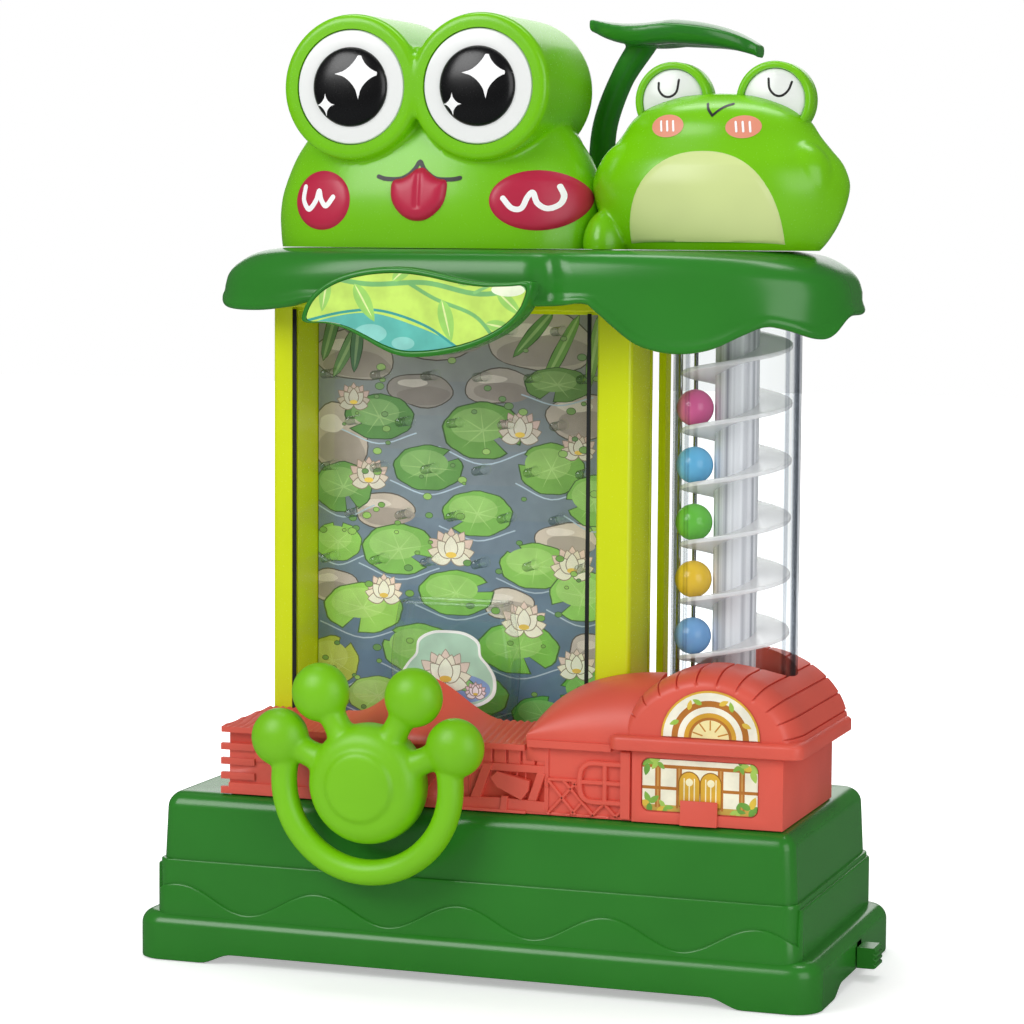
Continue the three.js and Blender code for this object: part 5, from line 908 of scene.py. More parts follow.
def leaf_ring(inset_ends, inset_front, height_of, count=320):
    """One ring of the leaf: a squared oval with the fold in its front, at heights worked out from its edge."""
    half_x, half_y = (LEAF["right"] - LEAF["left"]) / 2, (LEAF["back"] - LEAF["front"]) / 2
    mid_x, mid_y = (LEAF["right"] + LEAF["left"]) / 2, (LEAF["back"] + LEAF["front"]) / 2
    ring = []
    for i in range(count):
        turn = 2 * math.pi * (i + 0.5) / count
        c, s = math.cos(turn), math.sin(turn)
        size = (abs(c) ** 3 + abs(s) ** 3) ** (-1 / 3)
        x = mid_x + half_x * c * size
        fold = 1 - smoothstep(abs(x - LEAF["fold"]), 0, FOLD_REACH) if s < 0 else 0
        blend = smoothstep(s, -0.25, 0.25)
        edge = front_height(x) * (1 - blend) + back_height(x) * blend
        reach = inset_front + FOLD_DEPTH * fold
        ring.append(Vector((mid_x + (half_x - inset_ends) * c * size, mid_y + (half_y - reach) * s * size,
                            height_of(edge))))
    return ring


# %% Rolling the leaf over its shoulder and its rim
TOP, SHOULDER = LEAF["top"], LEAF["shoulder"]
ROLL = [(0, 1, 1), (0.012, 0.9, 0.78), (0.08, 0.64, 0.46), (0.18, 0.45, 0.26), (0.34, 0.28, 0.11),
        (0.52, 0.14, 0.03), (0.72, 0.05, 0), (1, 0, 0)]
RIM = [(0.9, 0.0), (0.6, -0.35), (0.36, -0.85), (0.12, -0.95), (-0.06, -0.5), (-0.14, 0.3), (-0.1, 1.2), (0.12, 1.9),
       (0.9, 2.4)]
rings = [leaf_ring(90, 40, lambda e: TOP), leaf_ring(40, 20, lambda e: TOP)]
for drop, end, front in smooth_path(ROLL, 3):
    rings.append(leaf_ring(24 * end, 8 * front, lambda e, d=drop: TOP - (TOP - SHOULDER) * d))
for up, inset in smooth_flat(RIM, 2):
    rings.append(leaf_ring(inset, inset, lambda e, u=up: e + u * max(1.2, min(5, SHOULDER - e))))
rings += [leaf_ring(4, 3, lambda e: SHOULDER), leaf_ring(24, 8, lambda e: 251)]
bm = bmesh.new()
loft(bm, rings)


def badge_outline(inset, steps=22):
    """The picture window's outline: a lazy leaf shape, drawn as curves between shares of its box."""
    left, right, low, high = -60 + inset, 24.5 - inset, 218 + inset, 249 - inset
    at = lambda u, v: Vector((left + (right - left) * u, low + (high - low) * v))
    curves = [((0, 0.42), (0.02, 0.72), (0.14, 0.98), (0.4, 1)), ((0.4, 1), (0.62, 1), (0.7, 0.76), (0.97, 0.86)),
              ((0.97, 0.86), (1.02, 0.86), (1, 0.76), (0.98, 0.6)), ((0.98, 0.6), (0.9, 0.18), (0.64, 0), (0.48, 0)),
              ((0.48, 0), (0.32, 0), (0.24, 0.4), (0.04, 0.36)), ((0.04, 0.36), (0.01, 0.36), (0, 0.38), (0, 0.42))]
    out = []
    for p0, p1, p2, p3 in curves:
        p0, p1, p2, p3 = at(*p0), at(*p1), at(*p2), at(*p3)
        for i in range(steps):
            t = i / steps
            out.append((1 - t) ** 3 * p0 + 3 * t * (1 - t) ** 2 * p1 + 3 * t * t * (1 - t) * p2 + t**3 * p3)
    return out


FRAME_ROWS = [(0, -50), (0, -59.0), (0.25, -59.9), (0.8, -60.4), (1.3, -60.5), (1.8, -60.4), (2.15, -59.9),
              (2.2, -59.2)]
loft(bm, [[Vector((p.x, y, p.y)) for p in badge_outline(inset)] for inset, y in FRAME_ROWS])
leaf = place("leaf_roof", bm, base_green, "game_body", "leaf_canopy", smooth=50)
if leaf.data.polygons[0].normal.z < 0:
    leaf.data.flip_normals()
print("leaf roof:", len(leaf.data.polygons), "faces")

# %% [markdown]
# The leaf over the little frog is a thick blade with a crease along its middle, on a curved stalk that thickens
# towards its bend. It is moulded hollow in two halves, but only its skin shows.

# %% The little frog's leaf
STALK = [(22.5, 26, 250), (21.5, 26, 268), (21.5, 26, 284), (23.5, 24, 300), (30.5, 21, 316), (39.5, 19, 329)]
BLADE = {"left": 20.5, "length": 62, "middle": 18, "half": 19, "top": 337, "edge": 2.6, "thick": 8.5}
bm = bmesh.new()
pipe(bm, smooth_path(STALK, 8), [3.5, 4.3, 4.9, 4.6, 4.4, 5.0], 32)


def blade_point(u, v, under):
    """A point of the blade: u runs from stalk end to tip, v across it, on its upper or under side."""
    reach = BLADE["half"] * math.sin(math.pi * min(0.97, max(0.03, u))) ** 0.5
    x, across = BLADE["left"] + BLADE["length"] * u, 2 * v - 1
    y = BLADE["middle"] + reach * across
    side = reach * across / BLADE["half"]
    top = BLADE["top"] - 1.7 * math.sin(math.pi * min(1, 2 * u)) - 10 * u**4.5 - side**2 * 2.5
    top -= 0.6 * math.exp(-((across / 0.07) ** 2)) * math.sin(math.pi * u)
    if not under:
        return Vector((x, y, top))
    edge = BLADE["edge"]
    thick = BLADE["thick"] * (0.45 + 0.55 * math.sin(math.pi * min(0.98, max(0.02, u))) ** 0.7)
    return Vector((x, y, top - edge - (thick - edge) * math.sqrt(max(0, 1 - across**4))))


rings = []
for i in range(49):
    u = i / 48
    ring = [blade_point(u, j / 24, False) for j in range(25)]
    ring += [blade_point(u, j / 24, True) for j in range(24, -1, -1)]
    rings.append(ring)
loft(bm, rings)
parasol = place("little_frog_leaf", melted(bm, 0.6, 10, DECK), base_green, "game_body", "leaf_parasol", smooth=60)
print("little frog's leaf:", len(parasol.data.polygons), "faces")

# %% [markdown]
# ## The base
# The base is a plinth in two tiers with a rounded lip. The lower tier is dressed with a raised apron whose edge
# waves along the front, as water does in a lily pond, and is straight on the other sides. The lip's underside is
# hollowed, so that the toy stands on its corners, and the floor plate is let in between its walls.


# %% A ring round the base
def plinth_ring(half_x, half_y, corner, height_of, side=120, end=56, bend=14):
    """A rounded rectangle of points, begun at the middle of its front, at heights that a function gives."""
    points = []
    x1, y1 = half_x - corner, half_y - corner

    def run(a, b, c, d, count):
        points.extend(Vector((a + (c - a) * i / count, b + (d - b) * i / count, 0)) for i in range(count))

    def arc(x, y, start):
        for i in range(bend):
            turn = start + math.pi / 2 * i / bend
            points.append(Vector((x + corner * math.cos(turn), y + corner * math.sin(turn), 0)))

    run(0, -half_y, x1, -half_y, side // 2)
    arc(x1, -y1, -math.pi / 2)
    run(half_x, -y1, half_x, y1, end)
    arc(x1, y1, 0)
    run(x1, half_y, -x1, half_y, side)
    arc(-x1, y1, math.pi / 2)
    run(-half_x, y1, -half_x, -y1, end)
    arc(-x1, -y1, math.pi)
    run(-x1, -half_y, 0, -half_y, side // 2)
    return [Vector((p.x, p.y, height_of(i, p))) for i, p in enumerate(points)]


def level(height):
    """A flat ring's height."""
    return lambda i, p: height


# %% The base's wave and hollow
LIP_X, LIP_Y, LIP_CORNER = 126, 58, 10
TIER_X, TIER_Y, TIER_CORNER = 118, 54.5, 5
WAVE_MIDDLE, WAVE_RISE, WAVE_STEP, APRON_FOLD = 22.7, 4.8, 53.5, 34.2


def wave_heights():
    """The apron's edge: waves along the front, and the height of its upper fold elsewhere."""
    ring = plinth_ring(TIER_X, TIER_Y, TIER_CORNER, level(0))
    lengths = [0]
    for a, b in zip(ring, [*ring[1:], ring[0]]):
        lengths.append(lengths[-1] + (b - a).length)
    total, straight = lengths[-1], 110
    crest_at = lambda x: (x + 2.5) / WAVE_STEP
    rest = 13 - (crest_at(straight) - crest_at(-straight))
    heights = []
    for along in lengths[:-1]:
        if along <= straight:
            turns = crest_at(along)
        elif along >= total - straight:
            turns = crest_at(along - total)
        else:
            turns = crest_at(straight) + rest * (along - straight) / (total - 2 * straight)
        heights.append(WAVE_MIDDLE + WAVE_RISE * math.cos(2 * math.pi * turns))
    return [z if p.y < -TIER_Y + TIER_CORNER * 0.6 else APRON_FOLD for z, p in zip(heights, ring)]


def hollow(rise=0.0, thick=3.6):
    """The lip's lower edge climbs between the corner feet."""

    def height(i, p):
        from_corner = LIP_X - abs(p.x) if abs(p.y) > 48 else LIP_Y - abs(p.y)
        return thick * smoothstep(from_corner, 26, 38) + rise

    return height


# %% The base's lip
SWITCH_NOTCH = {"past_x": 121, "middle_y": 5, "half": 3.6, "top": 12.7}
lip = [(2.4, level(13.5)), (2.4, level(3.4)), (2.4, hollow()), (0.6, hollow()), (0.15, hollow(0.2)),
       (0, hollow(0.7)), (0, level(9))]
lip += [(5 * (1 - math.cos(t)), level(12 + 5 * math.sin(t))) for t in quarter(8)]
lip += [(9, level(17.0))]
bm = bmesh.new()
loft(bm, [plinth_ring(LIP_X - inset, LIP_Y - inset, LIP_CORNER - min(inset, 8), height) for inset, height in lip],
     caps=False)
notch = []
for face in bm.faces:
    x, y, z = face.calc_center_median()
    beside = abs(y - SWITCH_NOTCH["middle_y"]) < SWITCH_NOTCH["half"]
    if x > SWITCH_NOTCH["past_x"] and beside and z < SWITCH_NOTCH["top"]:
        notch.append(face)
bmesh.ops.delete(bm, geom=notch, context="FACES")
base_lip = place("base_lip", bm, base_green, "game_body", "base_shell", smooth=38)
print("base lip:", len(base_lip.data.polygons), "faces")

# %% The base's apron, upper tier and feet
waves = wave_heights()
along_wave = lambda rise: lambda i, p: waves[i] + rise
apron = [(1.0, level(15.5)), (1.0, along_wave(-0.5)), (0.85, along_wave(-0.1)), (0.5, along_wave(0.15)),
         (0, along_wave(0.25)), (0, level(34.6)), (0, level(35.7)), (-0.15, level(36.05)), (-0.5, level(36.2)),
         (-1.6, level(36.2))]
bm = bmesh.new()
loft(bm, [plinth_ring(TIER_X + out, TIER_Y + out, TIER_CORNER + out, height) for out, height in apron])
UPPER_X, UPPER_Y, UPPER_TOP, UPPER_ROUND = 116.0, 53.2, 54.3, 6
tier = [plinth_ring(116.9, 53.4, TIER_CORNER, level(z)) for z in (35.8, 36.6)]
for t in quarter(8):
    inset = UPPER_ROUND * (1 - math.cos(t))
    tier.append(plinth_ring(UPPER_X - inset, UPPER_Y - inset, TIER_CORNER - 0.6 * inset,
                            level(UPPER_TOP + UPPER_ROUND * math.sin(t))))
loft(bm, tier)
FOOT = [(124.6, 50), (122.4, 54.4), (118, 56.6), (101, 56.6), (101, 33), (124.6, 33)]
for sx in (-1, 1):
    for sy in (-1, 1):
        loft(bm, [[Vector((sx * x, sy * y, z)) for x, y in FOOT] for z in (0.02, 3.3)])
tiers = place("base_tiers", bm, base_green, smooth=38)
print("base tiers:", len(tiers.data.polygons), "faces")

# %% [markdown]
# ## Mouldings with crisp edges
# A moulded box never has a knife edge: the mould's corners are 0.2 to 0.4 mm round, and that thin line of light
# along every edge is what makes plastic look real. These solids are copied, their flat facets joined, and each
# edge rounded.


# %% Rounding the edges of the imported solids
SHARP_ANGLE = math.radians(30)


def rounded_copy(node, finish, width, smooth=32, join_flats=True):
    """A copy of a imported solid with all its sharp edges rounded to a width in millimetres."""
    bm = bmesh.new()
    bm.from_mesh(nodes[node].data)
    bm.transform(Matrix.Scale(1000, 4) @ Matrix.Translation(-ORIGIN))
    bmesh.ops.remove_doubles(bm, verts=bm.verts, dist=0.01)
    if join_flats:
        bmesh.ops.dissolve_limit(bm, angle_limit=math.radians(1.2), verts=bm.verts, edges=bm.edges)
    piece = place(f"{node}_moulding", bm, finish, BODY_OF[node], node, smooth=smooth, turn_out=False)
    bevel = piece.modifiers.new("mould radius", "BEVEL")
    bevel.width = width / 1000
    bevel.segments = 2
    bevel.limit_method = "ANGLE"
    bevel.angle_limit = SHARP_ANGLE
    bevel.use_clamp_overlap = True
    return piece


walls = rounded_copy("house_walls", house_red, 0.3)
rounded_copy("cabinet_frame", cabinet_yellow, 0.4)
rounded_copy("rear_post", cabinet_yellow, 0.25, join_flats=False)
for node, finish, width in (
    ("return_ramp", house_red, 0.25), ("cabinet_back", cabinet_yellow, 0.3), ("canopy_lining", base_green, 0.3),
    ("top_channel", bright_white, 0.25), ("power_switch_knob", base_green, 0.25), ("battery_door", base_green, 0.3),
):
    rounded_copy(node, finish, width)
print("house walls:", len(walls.data.polygons), "faces")

# %% [markdown]
# ## The lift
# Balls ride up a clear tower on a turning screw, and two steel rods keep them from turning with it. The tower is
# an extruded tube with softened lips, and a mouth cut in its foot lets the balls in.


# %% The tower tube and its rods
def closed_turn(bm, profile, **where):
    """Spins a closed profile, for a ring or a tube."""
    turned(bm, [*profile, profile[0]], caps=False, **where)


LIFT_X, LIFT_Y = 82, -6
TUBE_LIP = [(22.3, 61.0), (22.3, 236.1), (22.2, 236.4), (22.0, 236.5), (21.7, 236.5), (21.5, 236.4), (21.4, 236.1),
            (21.4, 61.0), (21.5, 60.7), (21.7, 60.6), (22.0, 60.6), (22.2, 60.7)]
MOUTH_MIDDLE, MOUTH_SIZE = (LIFT_X - 14.5, LIFT_Y - 11.7, 71.1), (17.6, 21, 18.4)
bm = bmesh.new()
closed_turn(bm, TUBE_LIP, x=LIFT_X, y=LIFT_Y, axis="Z", around=128)
tube = place("lift_tube", bm, tower_clear, "game_body", "tower_tube")
bm = bmesh.new()
bmesh.ops.create_cube(bm, size=1, matrix=Matrix.Translation(MOUTH_MIDDLE) @ Matrix.Diagonal((*MOUTH_SIZE, 1)))
cut_with(tube, bm)
ROD, CHAMFER = 0.75, 0.2
for number in (1, 2):
    low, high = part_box(f"ball_guide_rod_{number}")
    middle = ((low + high) / 2 - ORIGIN) * 1000
    foot, head = low.z * 1000, high.z * 1000
    bm = bmesh.new()
    turned(bm, [(0, foot), (ROD - CHAMFER, foot), (ROD, foot + CHAMFER), (ROD, head - CHAMFER),
                (ROD - CHAMFER, head), (0, head)], x=middle.x, y=middle.y, axis="Z", around=20)
    place(f"guide_rod_{number}", bm, steel, "game_body", f"ball_guide_rod_{number}")
print("tower:", len(tube.data.polygons), "faces")

# %% [markdown]
# The screw is a white polystyrene moulding: a hollow column with one broad thread that thins towards its edge. The
# thread is drawn as one small section carried round a helix. Its height is set by the lowest ball, which lies on
# the thread and against the rods. The column's grey streaks are painted reflection and refraction.


# %% Plastic with painted reflection streaks
def reflection_streaked(name, hex_light, hex_dark, width=3.0):
    """Clear plastic with painted reflection streaks: grey streaks that run up the column, a few millimetres wide."""
    material, tree = new_material(name)
    where = add(tree, "ShaderNodeTexCoord")
    stretch = add(tree, "ShaderNodeMapping", [("Vector", where, "Object")], {"Scale": (1.0, 1.0, 0.004)})
    lines = add(tree, "ShaderNodeTexNoise", [("Vector", stretch, "Vector")],
                {"Scale": per_metre(width), "Detail": 2.5})
    ramp = add(tree, "ShaderNodeValToRGB", [("Fac", lines, "Fac")])
    dark, light = ramp.color_ramp.elements
    dark.position, dark.color = 0.36, colour(hex_dark)
    light.position, light.color = 0.56, colour(hex_light)
    bump = add(tree, "ShaderNodeBump", [("Height", lines, "Fac")], {"Strength": 0.2, "Distance": 0.0003})
    rough = add(tree, "ShaderNodeMapRange", [("Value", lines, "Fac")], {"To Min": 0.1, "To Max": 0.22})
    links = [("Base Color", ramp, "Color"), ("Roughness", rough, "Result"), ("Normal", bump, "Normal")]
    finish_surface(tree, add(tree, "ShaderNodeBsdfPrincipled", links, {"IOR": POLYSTYRENE_IOR}))
    return material


# The column's grey streaks are painted reflection and refraction, drawn into its colour.
reflection_streaked_white = reflection_streaked("Milky polystyrene, painted reflection streaks", "#eceef3", "#9fa1ab")

# %% The lift screw
BALL_RADIUS, BALL_PATH, BALL_HEIGHT, BALL_TURN, PLAY = 6.5, 14.6, 120.4, math.radians(199.1), 0.3
PITCH, THREAD_LOW, THREAD_TOP = 20, 65.2, 240
lead = math.atan(PITCH / (2 * math.pi * BALL_PATH))
seat = BALL_HEIGHT - BALL_RADIUS / math.cos(lead) - PLAY
turn_at = lambda height: BALL_TURN + 2 * math.pi * (height - seat) / PITCH
first, last = turn_at(THREAD_LOW), turn_at(THREAD_TOP)
THREAD = [(7.4, -2.6), (18.7, -1.62), (19.05, -1.5), (19.2, -1.2), (19.2, -0.35), (19.05, -0.08), (18.7, 0), (7.4, 0)]
COLUMN = [(7.3, 61.6), (7.7, 62.0), (7.7, 242.6), (7.3, 243), (2.5, 243), (2.3, 242.8), (2.3, 61.8), (2.5, 61.6)]
steps = int((last - first) / (2 * math.pi) * 64)
rings = []
for i in range(steps + 1):
    turn = first + (last - first) * i / steps
    height = seat + PITCH * (turn - BALL_TURN) / (2 * math.pi)
    c, s = math.cos(turn), math.sin(turn)
    rings.append([Vector((LIFT_X + radius * c, LIFT_Y + radius * s, height + up)) for radius, up in THREAD])
bm = bmesh.new()
loft(bm, rings)
place("screw_thread", bm, screw_white, BODY_OF["lift_screw"], "lift_screw", smooth=40)
bm = bmesh.new()
closed_turn(bm, COLUMN, x=LIFT_X, y=LIFT_Y, axis="Z", around=64)
place("screw_column", bm, reflection_streaked_white, BODY_OF["lift_screw"], "lift_screw", smooth=40)
print("screw turns:", round((last - first) / 2 / math.pi, 2))

# %% The balls
for number, finish in ball_finishes.items():
    low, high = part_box(f"ball_{number}")
    bm = bmesh.new()
    egg(bm, ((low + high) / 2 - ORIGIN) * 1000, [BALL_RADIUS] * 3, 2, 56, 32)
    place(f"game_ball_{number}", bm, finish, BODY_OF[f"ball_{number}"], f"ball_{number}", smooth=60)
print("balls:", len(ball_finishes))

# %% [markdown]
# ## The play field
# Behind the pane, a clear sheet carries the pegs. Each peg is moulded with a little draft, so that it leaves the
# mould, and has a domed end. The bucket is one clear skin with a rolled rim.


# %% Boxes and windows
def flat_box(bm, low, high):
    """A plain box between two corners."""
    size = Vector(high) - Vector(low)
    middle = (Vector(high) + Vector(low)) / 2
    bmesh.ops.create_cube(bm, size=1, matrix=Matrix.Translation(middle) @ Matrix.Diagonal((*size, 1)))


def box_window(left, right, low, high, corner=0.0, steps=8):
    """The outline of an upright rectangle, with its corners rounded if asked."""
    if not corner:
        return [(left, low), (right, low), (right, high), (left, high)]
    out = []
    for cx, cz, start in ((right - corner, low + corner, -90), (right - corner, high - corner, 0),
                          (left + corner, high - corner, 90), (left + corner, low + corner, 180)):
        for k in range(steps + 1):
            turn = math.radians(start + 90 * k / steps)
            out.append((cx + corner * math.cos(turn), cz + corner * math.sin(turn)))
    return out


# %% Pegs, pane and the black strips at its sides
SHEET_Y, PEG_STEP, PEG_LEFT, PEG_RIGHT, PEG_LOW, ROW_STEP = -7.0, 19.4, -59.1, 34.9, 142.8, 16.7
PEG = [(2.3, SHEET_Y), (1.95, -7.3), (1.72, -8.0), (1.6, -17.9), (1.4, -18.6), (0.9, -18.95), (0, -19.0)]
field_edge = box_window(left=-75.7, right=36.3, low=84, high=232.2)
bm = bmesh.new()
bm.faces.new([bm.verts.new((x, SHEET_Y, z)) for x, z in field_edge])
peg_count = 0
for row in range(6):
    x = PEG_LEFT - (PEG_STEP / 2 if row % 2 == 0 else 0)
    while x < PEG_RIGHT:
        turned(bm, PEG, x=x, z=PEG_LOW + ROW_STEP * row, around=24, caps=False)
        peg_count += 1
        x += PEG_STEP
place("peg_field", bm, peg_clear, "game_body", "peg_panel", turn_out=False)
print("pegs:", peg_count)
# Two black strips stand along the pane's sides, where dark lines run down its edges.
STRIP_HALF = 0.65
for side, x in (("left", -76.6), ("right", 34.2)):
    bm = bmesh.new()
    flat_box(bm, (x - STRIP_HALF, -26.7, 86.8), (x + STRIP_HALF, -26.0, 233))
    place(f"pane_seal_{side}", bm, black_edge_strip, smooth=0)
rounded_copy("window_pane", pane_clear, 0.2, smooth=0)

# %% The catcher's bucket
HALF_WIDTHS = [(88.4, 20.6), (91.7, 21.6), (99.9, 22.6), (109.8, 22.8), (119.6, 21.6), (129.5, 19.8)]
CATCH_X, CATCH_Y, HALF_DEPTH, RIM_Z, RIM_ROUND = -18.5, -15.25, 7.45, 128.9, 0.6


def bucket_ring(half, depth, corner, z):
    ring = plinth_ring(half, depth, corner, level(z), 16, 6, 8)
    return [p + Vector((CATCH_X, CATCH_Y, 0)) for p in ring]


rings = [bucket_ring(half, HALF_DEPTH, 3, z) for z, half in smooth_flat(HALF_WIDTHS, 6)]
rim = []
for k in range(9):
    turn = 2 * math.pi * k / 8
    out, up = RIM_ROUND * math.cos(turn), RIM_ROUND * math.sin(turn)
    rim.append(bucket_ring(19.2 + out, HALF_DEPTH - RIM_ROUND + out, 2.6 + out, RIM_Z + up))
bm = bmesh.new()
loft(bm, rings, caps=False)
bm.faces.new([bm.verts.new(p) for p in rings[0][::-1]])
loft(bm, rim, caps=False)
bucket = place("clear_bucket", bm, bucket_clear, BODY_OF["catcher_bucket"], "catcher_bucket", 40, turn_out=False)
print("bucket:", len(bucket.data.polygons), "faces")

# %% [markdown]
# ## Printed pictures
# The pictures are litho prints: flat inks with dark outlines. Each shape is a closed outline with its own ink. All
# outlines are cut against each other into one flat sheet, and each spot takes the ink of the last shape over it.
# The colour is stored with the faces. One paper material reads it and adds the paper's tooth, 0.4 mm coarse, and
# faint clouds of tone about 8 mm wide.


# %% Printed paper
CLOUD_SIZE, TOOTH_SIZE = 8.33, 0.385


def printed_paper(name, gloss, shade):
    """Paper or vinyl that shows the inks stored with its faces, a little clouded, with a tooth 0.03 mm deep."""
    material, tree = new_material(name)
    where = add(tree, "ShaderNodeTexCoord")
    ink = add(tree, "ShaderNodeVertexColor", layer_name="ink")
    wash = add(tree, "ShaderNodeTexNoise", [("Vector", where, "Object")],
               {"Scale": per_metre(CLOUD_SIZE), "Detail": 3.0})
    tooth = add(tree, "ShaderNodeTexNoise", [("Vector", where, "Object")],
                {"Scale": per_metre(TOOTH_SIZE), "Detail": 1.0})
    amount = add(tree, "ShaderNodeMapRange", [("Value", wash, "Fac")],
                 {"From Min": 0.35, "From Max": 0.65, "To Min": shade, "To Max": shade + 0.2})
    tinted = add(tree, "ShaderNodeVectorMath", [(0, ink, "Color"), ("Scale", amount, "Result")], operation="SCALE")
    bump = add(tree, "ShaderNodeBump", [("Height", tooth, "Fac")], {"Strength": 0.06, "Distance": 0.00003})
    rough = add(tree, "ShaderNodeMapRange", [("Value", tooth, "Fac")],
                {"To Min": gloss * 0.85, "To Max": gloss * 1.2})
    links = [("Base Color", tinted, "Vector"), ("Roughness", rough, "Result"), ("Normal", bump, "Normal")]
    finish_surface(tree, add(tree, "ShaderNodeBsdfPrincipled", links, {"IOR": VARNISH_IOR}))
    return material


# The pond card's inks are scaled up 1.25 to 1.45 times: painted light, for the light that the leaf canopy keeps off
# the card.
brightened_picture_paper = printed_paper("Litho print on card, painted brighter", 0.45, 1.25)
sticker_vinyl = printed_paper("Printed vinyl sticker", 0.3, 0.92)
print("papers:", brightened_picture_paper.name, "and", sticker_vinyl.name)


# %% A flat sheet of inks
def anticlockwise(outline):
    area = sum(a[0] * b[1] - b[0] * a[1] for a, b in zip(outline, [*outline[1:], outline[0]]))
    return outline if area > 0 else outline[::-1]


def print_picture(name, shapes, window, y, finish, body="game_body", stands_for=None, back=None):
    """One flat sheet of inks: of the shapes that cover a spot, the last one gives its colour."""
    points, outlines = [], []
    for outline in [anticlockwise(shape) for shape, _ in [(window, ""), *shapes]]:
        outlines.append(list(range(len(points), len(points) + len(outline))))
        points += [Vector(p) for p in outline]
    found, _, faces, _, _, covers = delaunay_2d_cdt(points, [], outlines, 1, 1e-4, True)
    bm = bmesh.new()
    ink = bm.loops.layers.float_color.new("ink")
    verts = [bm.verts.new((x, y, z)) for x, z in found]
    for corners, over in zip(faces, covers):
        if 0 not in over:
            continue
        (ax, az), (bx, bz), (cx, cz) = [found[i] for i in corners[:3]]
        if (bx - ax) * (cz - az) - (bz - az) * (cx - ax) < 0:
            corners = corners[::-1]
        face = bm.faces.new([verts[i] for i in corners])
        for loop in face.loops:
            loop[ink] = colour(shapes[max(over) - 1][1])
    bmesh.ops.delete(bm, geom=[v for v in bm.verts if not v.link_faces], context="VERTS")
    if back is not None:
        rim = [e for e in bm.edges if len(e.link_faces) == 1]
        side = bmesh.ops.extrude_edge_only(bm, edges=rim)["geom"]
        for vert in (g for g in side if isinstance(g, bmesh.types.BMVert)):
            vert.co.y = back
    return place(name, bm, finish, body, stands_for, smooth=0, turn_out=False)


# %% Shapes for the prints
def mixed(hex_a, hex_b, share):
    """A colour on the way from one hex colour to another."""
    parts = [round(int(hex_a[i : i + 2], 16) * (1 - share) + int(hex_b[i : i + 2], 16) * share) for i in (1, 3, 5)]
    return "#" + "".join(f"{p:02x}" for p in parts)


def grown(outline, size):
    """An outline pushed out by a size, for a dark edge behind a shape."""
    cx = sum(p[0] for p in outline) / len(outline)
    cz = sum(p[1] for p in outline) / len(outline)
    out = []
    for x, z in outline:
        reach = math.hypot(x - cx, z - cz) or 1
        out.append((x + (x - cx) / reach * size, z + (z - cz) / reach * size))
    return out


def blob(x, z, half_width, half_height, wobble, rng, count=28):
    """An uneven round outline, as of a stone."""
    phases = [rng.uniform(0, 2 * math.pi) for _ in range(3)]
    out = []
    for i in range(count):
        turn = 2 * math.pi * i / count
        size = 1 + wobble * (math.sin(2 * turn + phases[0]) + 0.7 * math.sin(3 * turn + phases[1])
                             + 0.4 * math.sin(5 * turn + phases[2]))
        out.append((x + half_width * size * math.cos(turn), z + half_height * size * math.sin(turn)))
    return out


# %% Plants for the prints
def lily_pad(x, z, half_width, half_height, notch, hex_value):
    """A round floating leaf with its notch, a lit half and pale veins."""

    def leaf(size, gap):
        out = [(x + 0.12 * half_width * math.cos(notch), z + 0.12 * half_height * math.sin(notch))]
        for i in range(31):
            turn = notch + gap + (2 * math.pi - 2 * gap) * i / 30
            reach = size * (1 + 0.025 * math.sin(9 * turn))
            out.append((x + half_width * reach * math.cos(turn), z + half_height * reach * math.sin(turn)))
        return out

    dark, light = mixed(hex_value, "#2c3a2a", 0.62), mixed(hex_value, "#e4f2b4", 0.42)
    lit = oval(x - 0.12 * half_width, z + 0.2 * half_height, 0.72 * half_width, 0.62 * half_height, 2, 24)
    shapes = [(leaf(1.045, 0.2), dark), (leaf(1.0, 0.24), hex_value), (lit, mixed(hex_value, light, 0.55))]
    for k in range(1, 8):
        turn = notch + 2 * math.pi * k / 8
        end = (x + 0.88 * half_width * math.cos(turn), z + 0.88 * half_height * math.sin(turn))
        side = (0.28 * math.sin(turn), -0.28 * math.cos(turn))
        shapes.append(([(x - side[0], z - side[1]), (x + side[0], z + side[1]), end], light))
    return shapes


def petal(x, z, length, width, turn, tip=1.0, steps=10):
    """A petal or a blade of grass that grows from a place at a turn."""
    half = lambda t: width / 2 * max(0, math.sin(math.pi * t**0.8)) ** (0.8 * tip)
    out = [(i / steps * length, -half(i / steps)) for i in range(steps + 1)]
    out += [(i / steps * length, half(i / steps)) for i in range(steps - 1, 0, -1)]
    c, s = math.cos(turn), math.sin(turn)
    return [(x + px * c - pz * s, z + px * s + pz * c) for px, pz in out]


def lotus(x, z, size, hex_value):
    """An open water lily seen from the side: back petals, side petals, front petals."""
    line = mixed(hex_value, "#6a5240", 0.62)
    shapes = []
    rows = ((1.0, (90, 62, 118, 38, 142), 0.1), (0.86, (14, 166, 76, 104), 0.03),
            (0.72, (-8, 188, 48, 132, 90), -0.06))
    for length, turns, shade in rows:
        tone = mixed(hex_value, "#d88f9e" if shade > 0 else "#ffffff", abs(shade) * 3)
        for degrees in turns:
            outline = petal(x, z - size * 0.2, size * length, size * 0.46, math.radians(degrees))
            shapes += [(grown(outline, 0.35), line), (outline, tone)]
    shapes.append((oval(x, z - size * 0.12, size * 0.2, size * 0.1), "#e9c45a"))
    return shapes
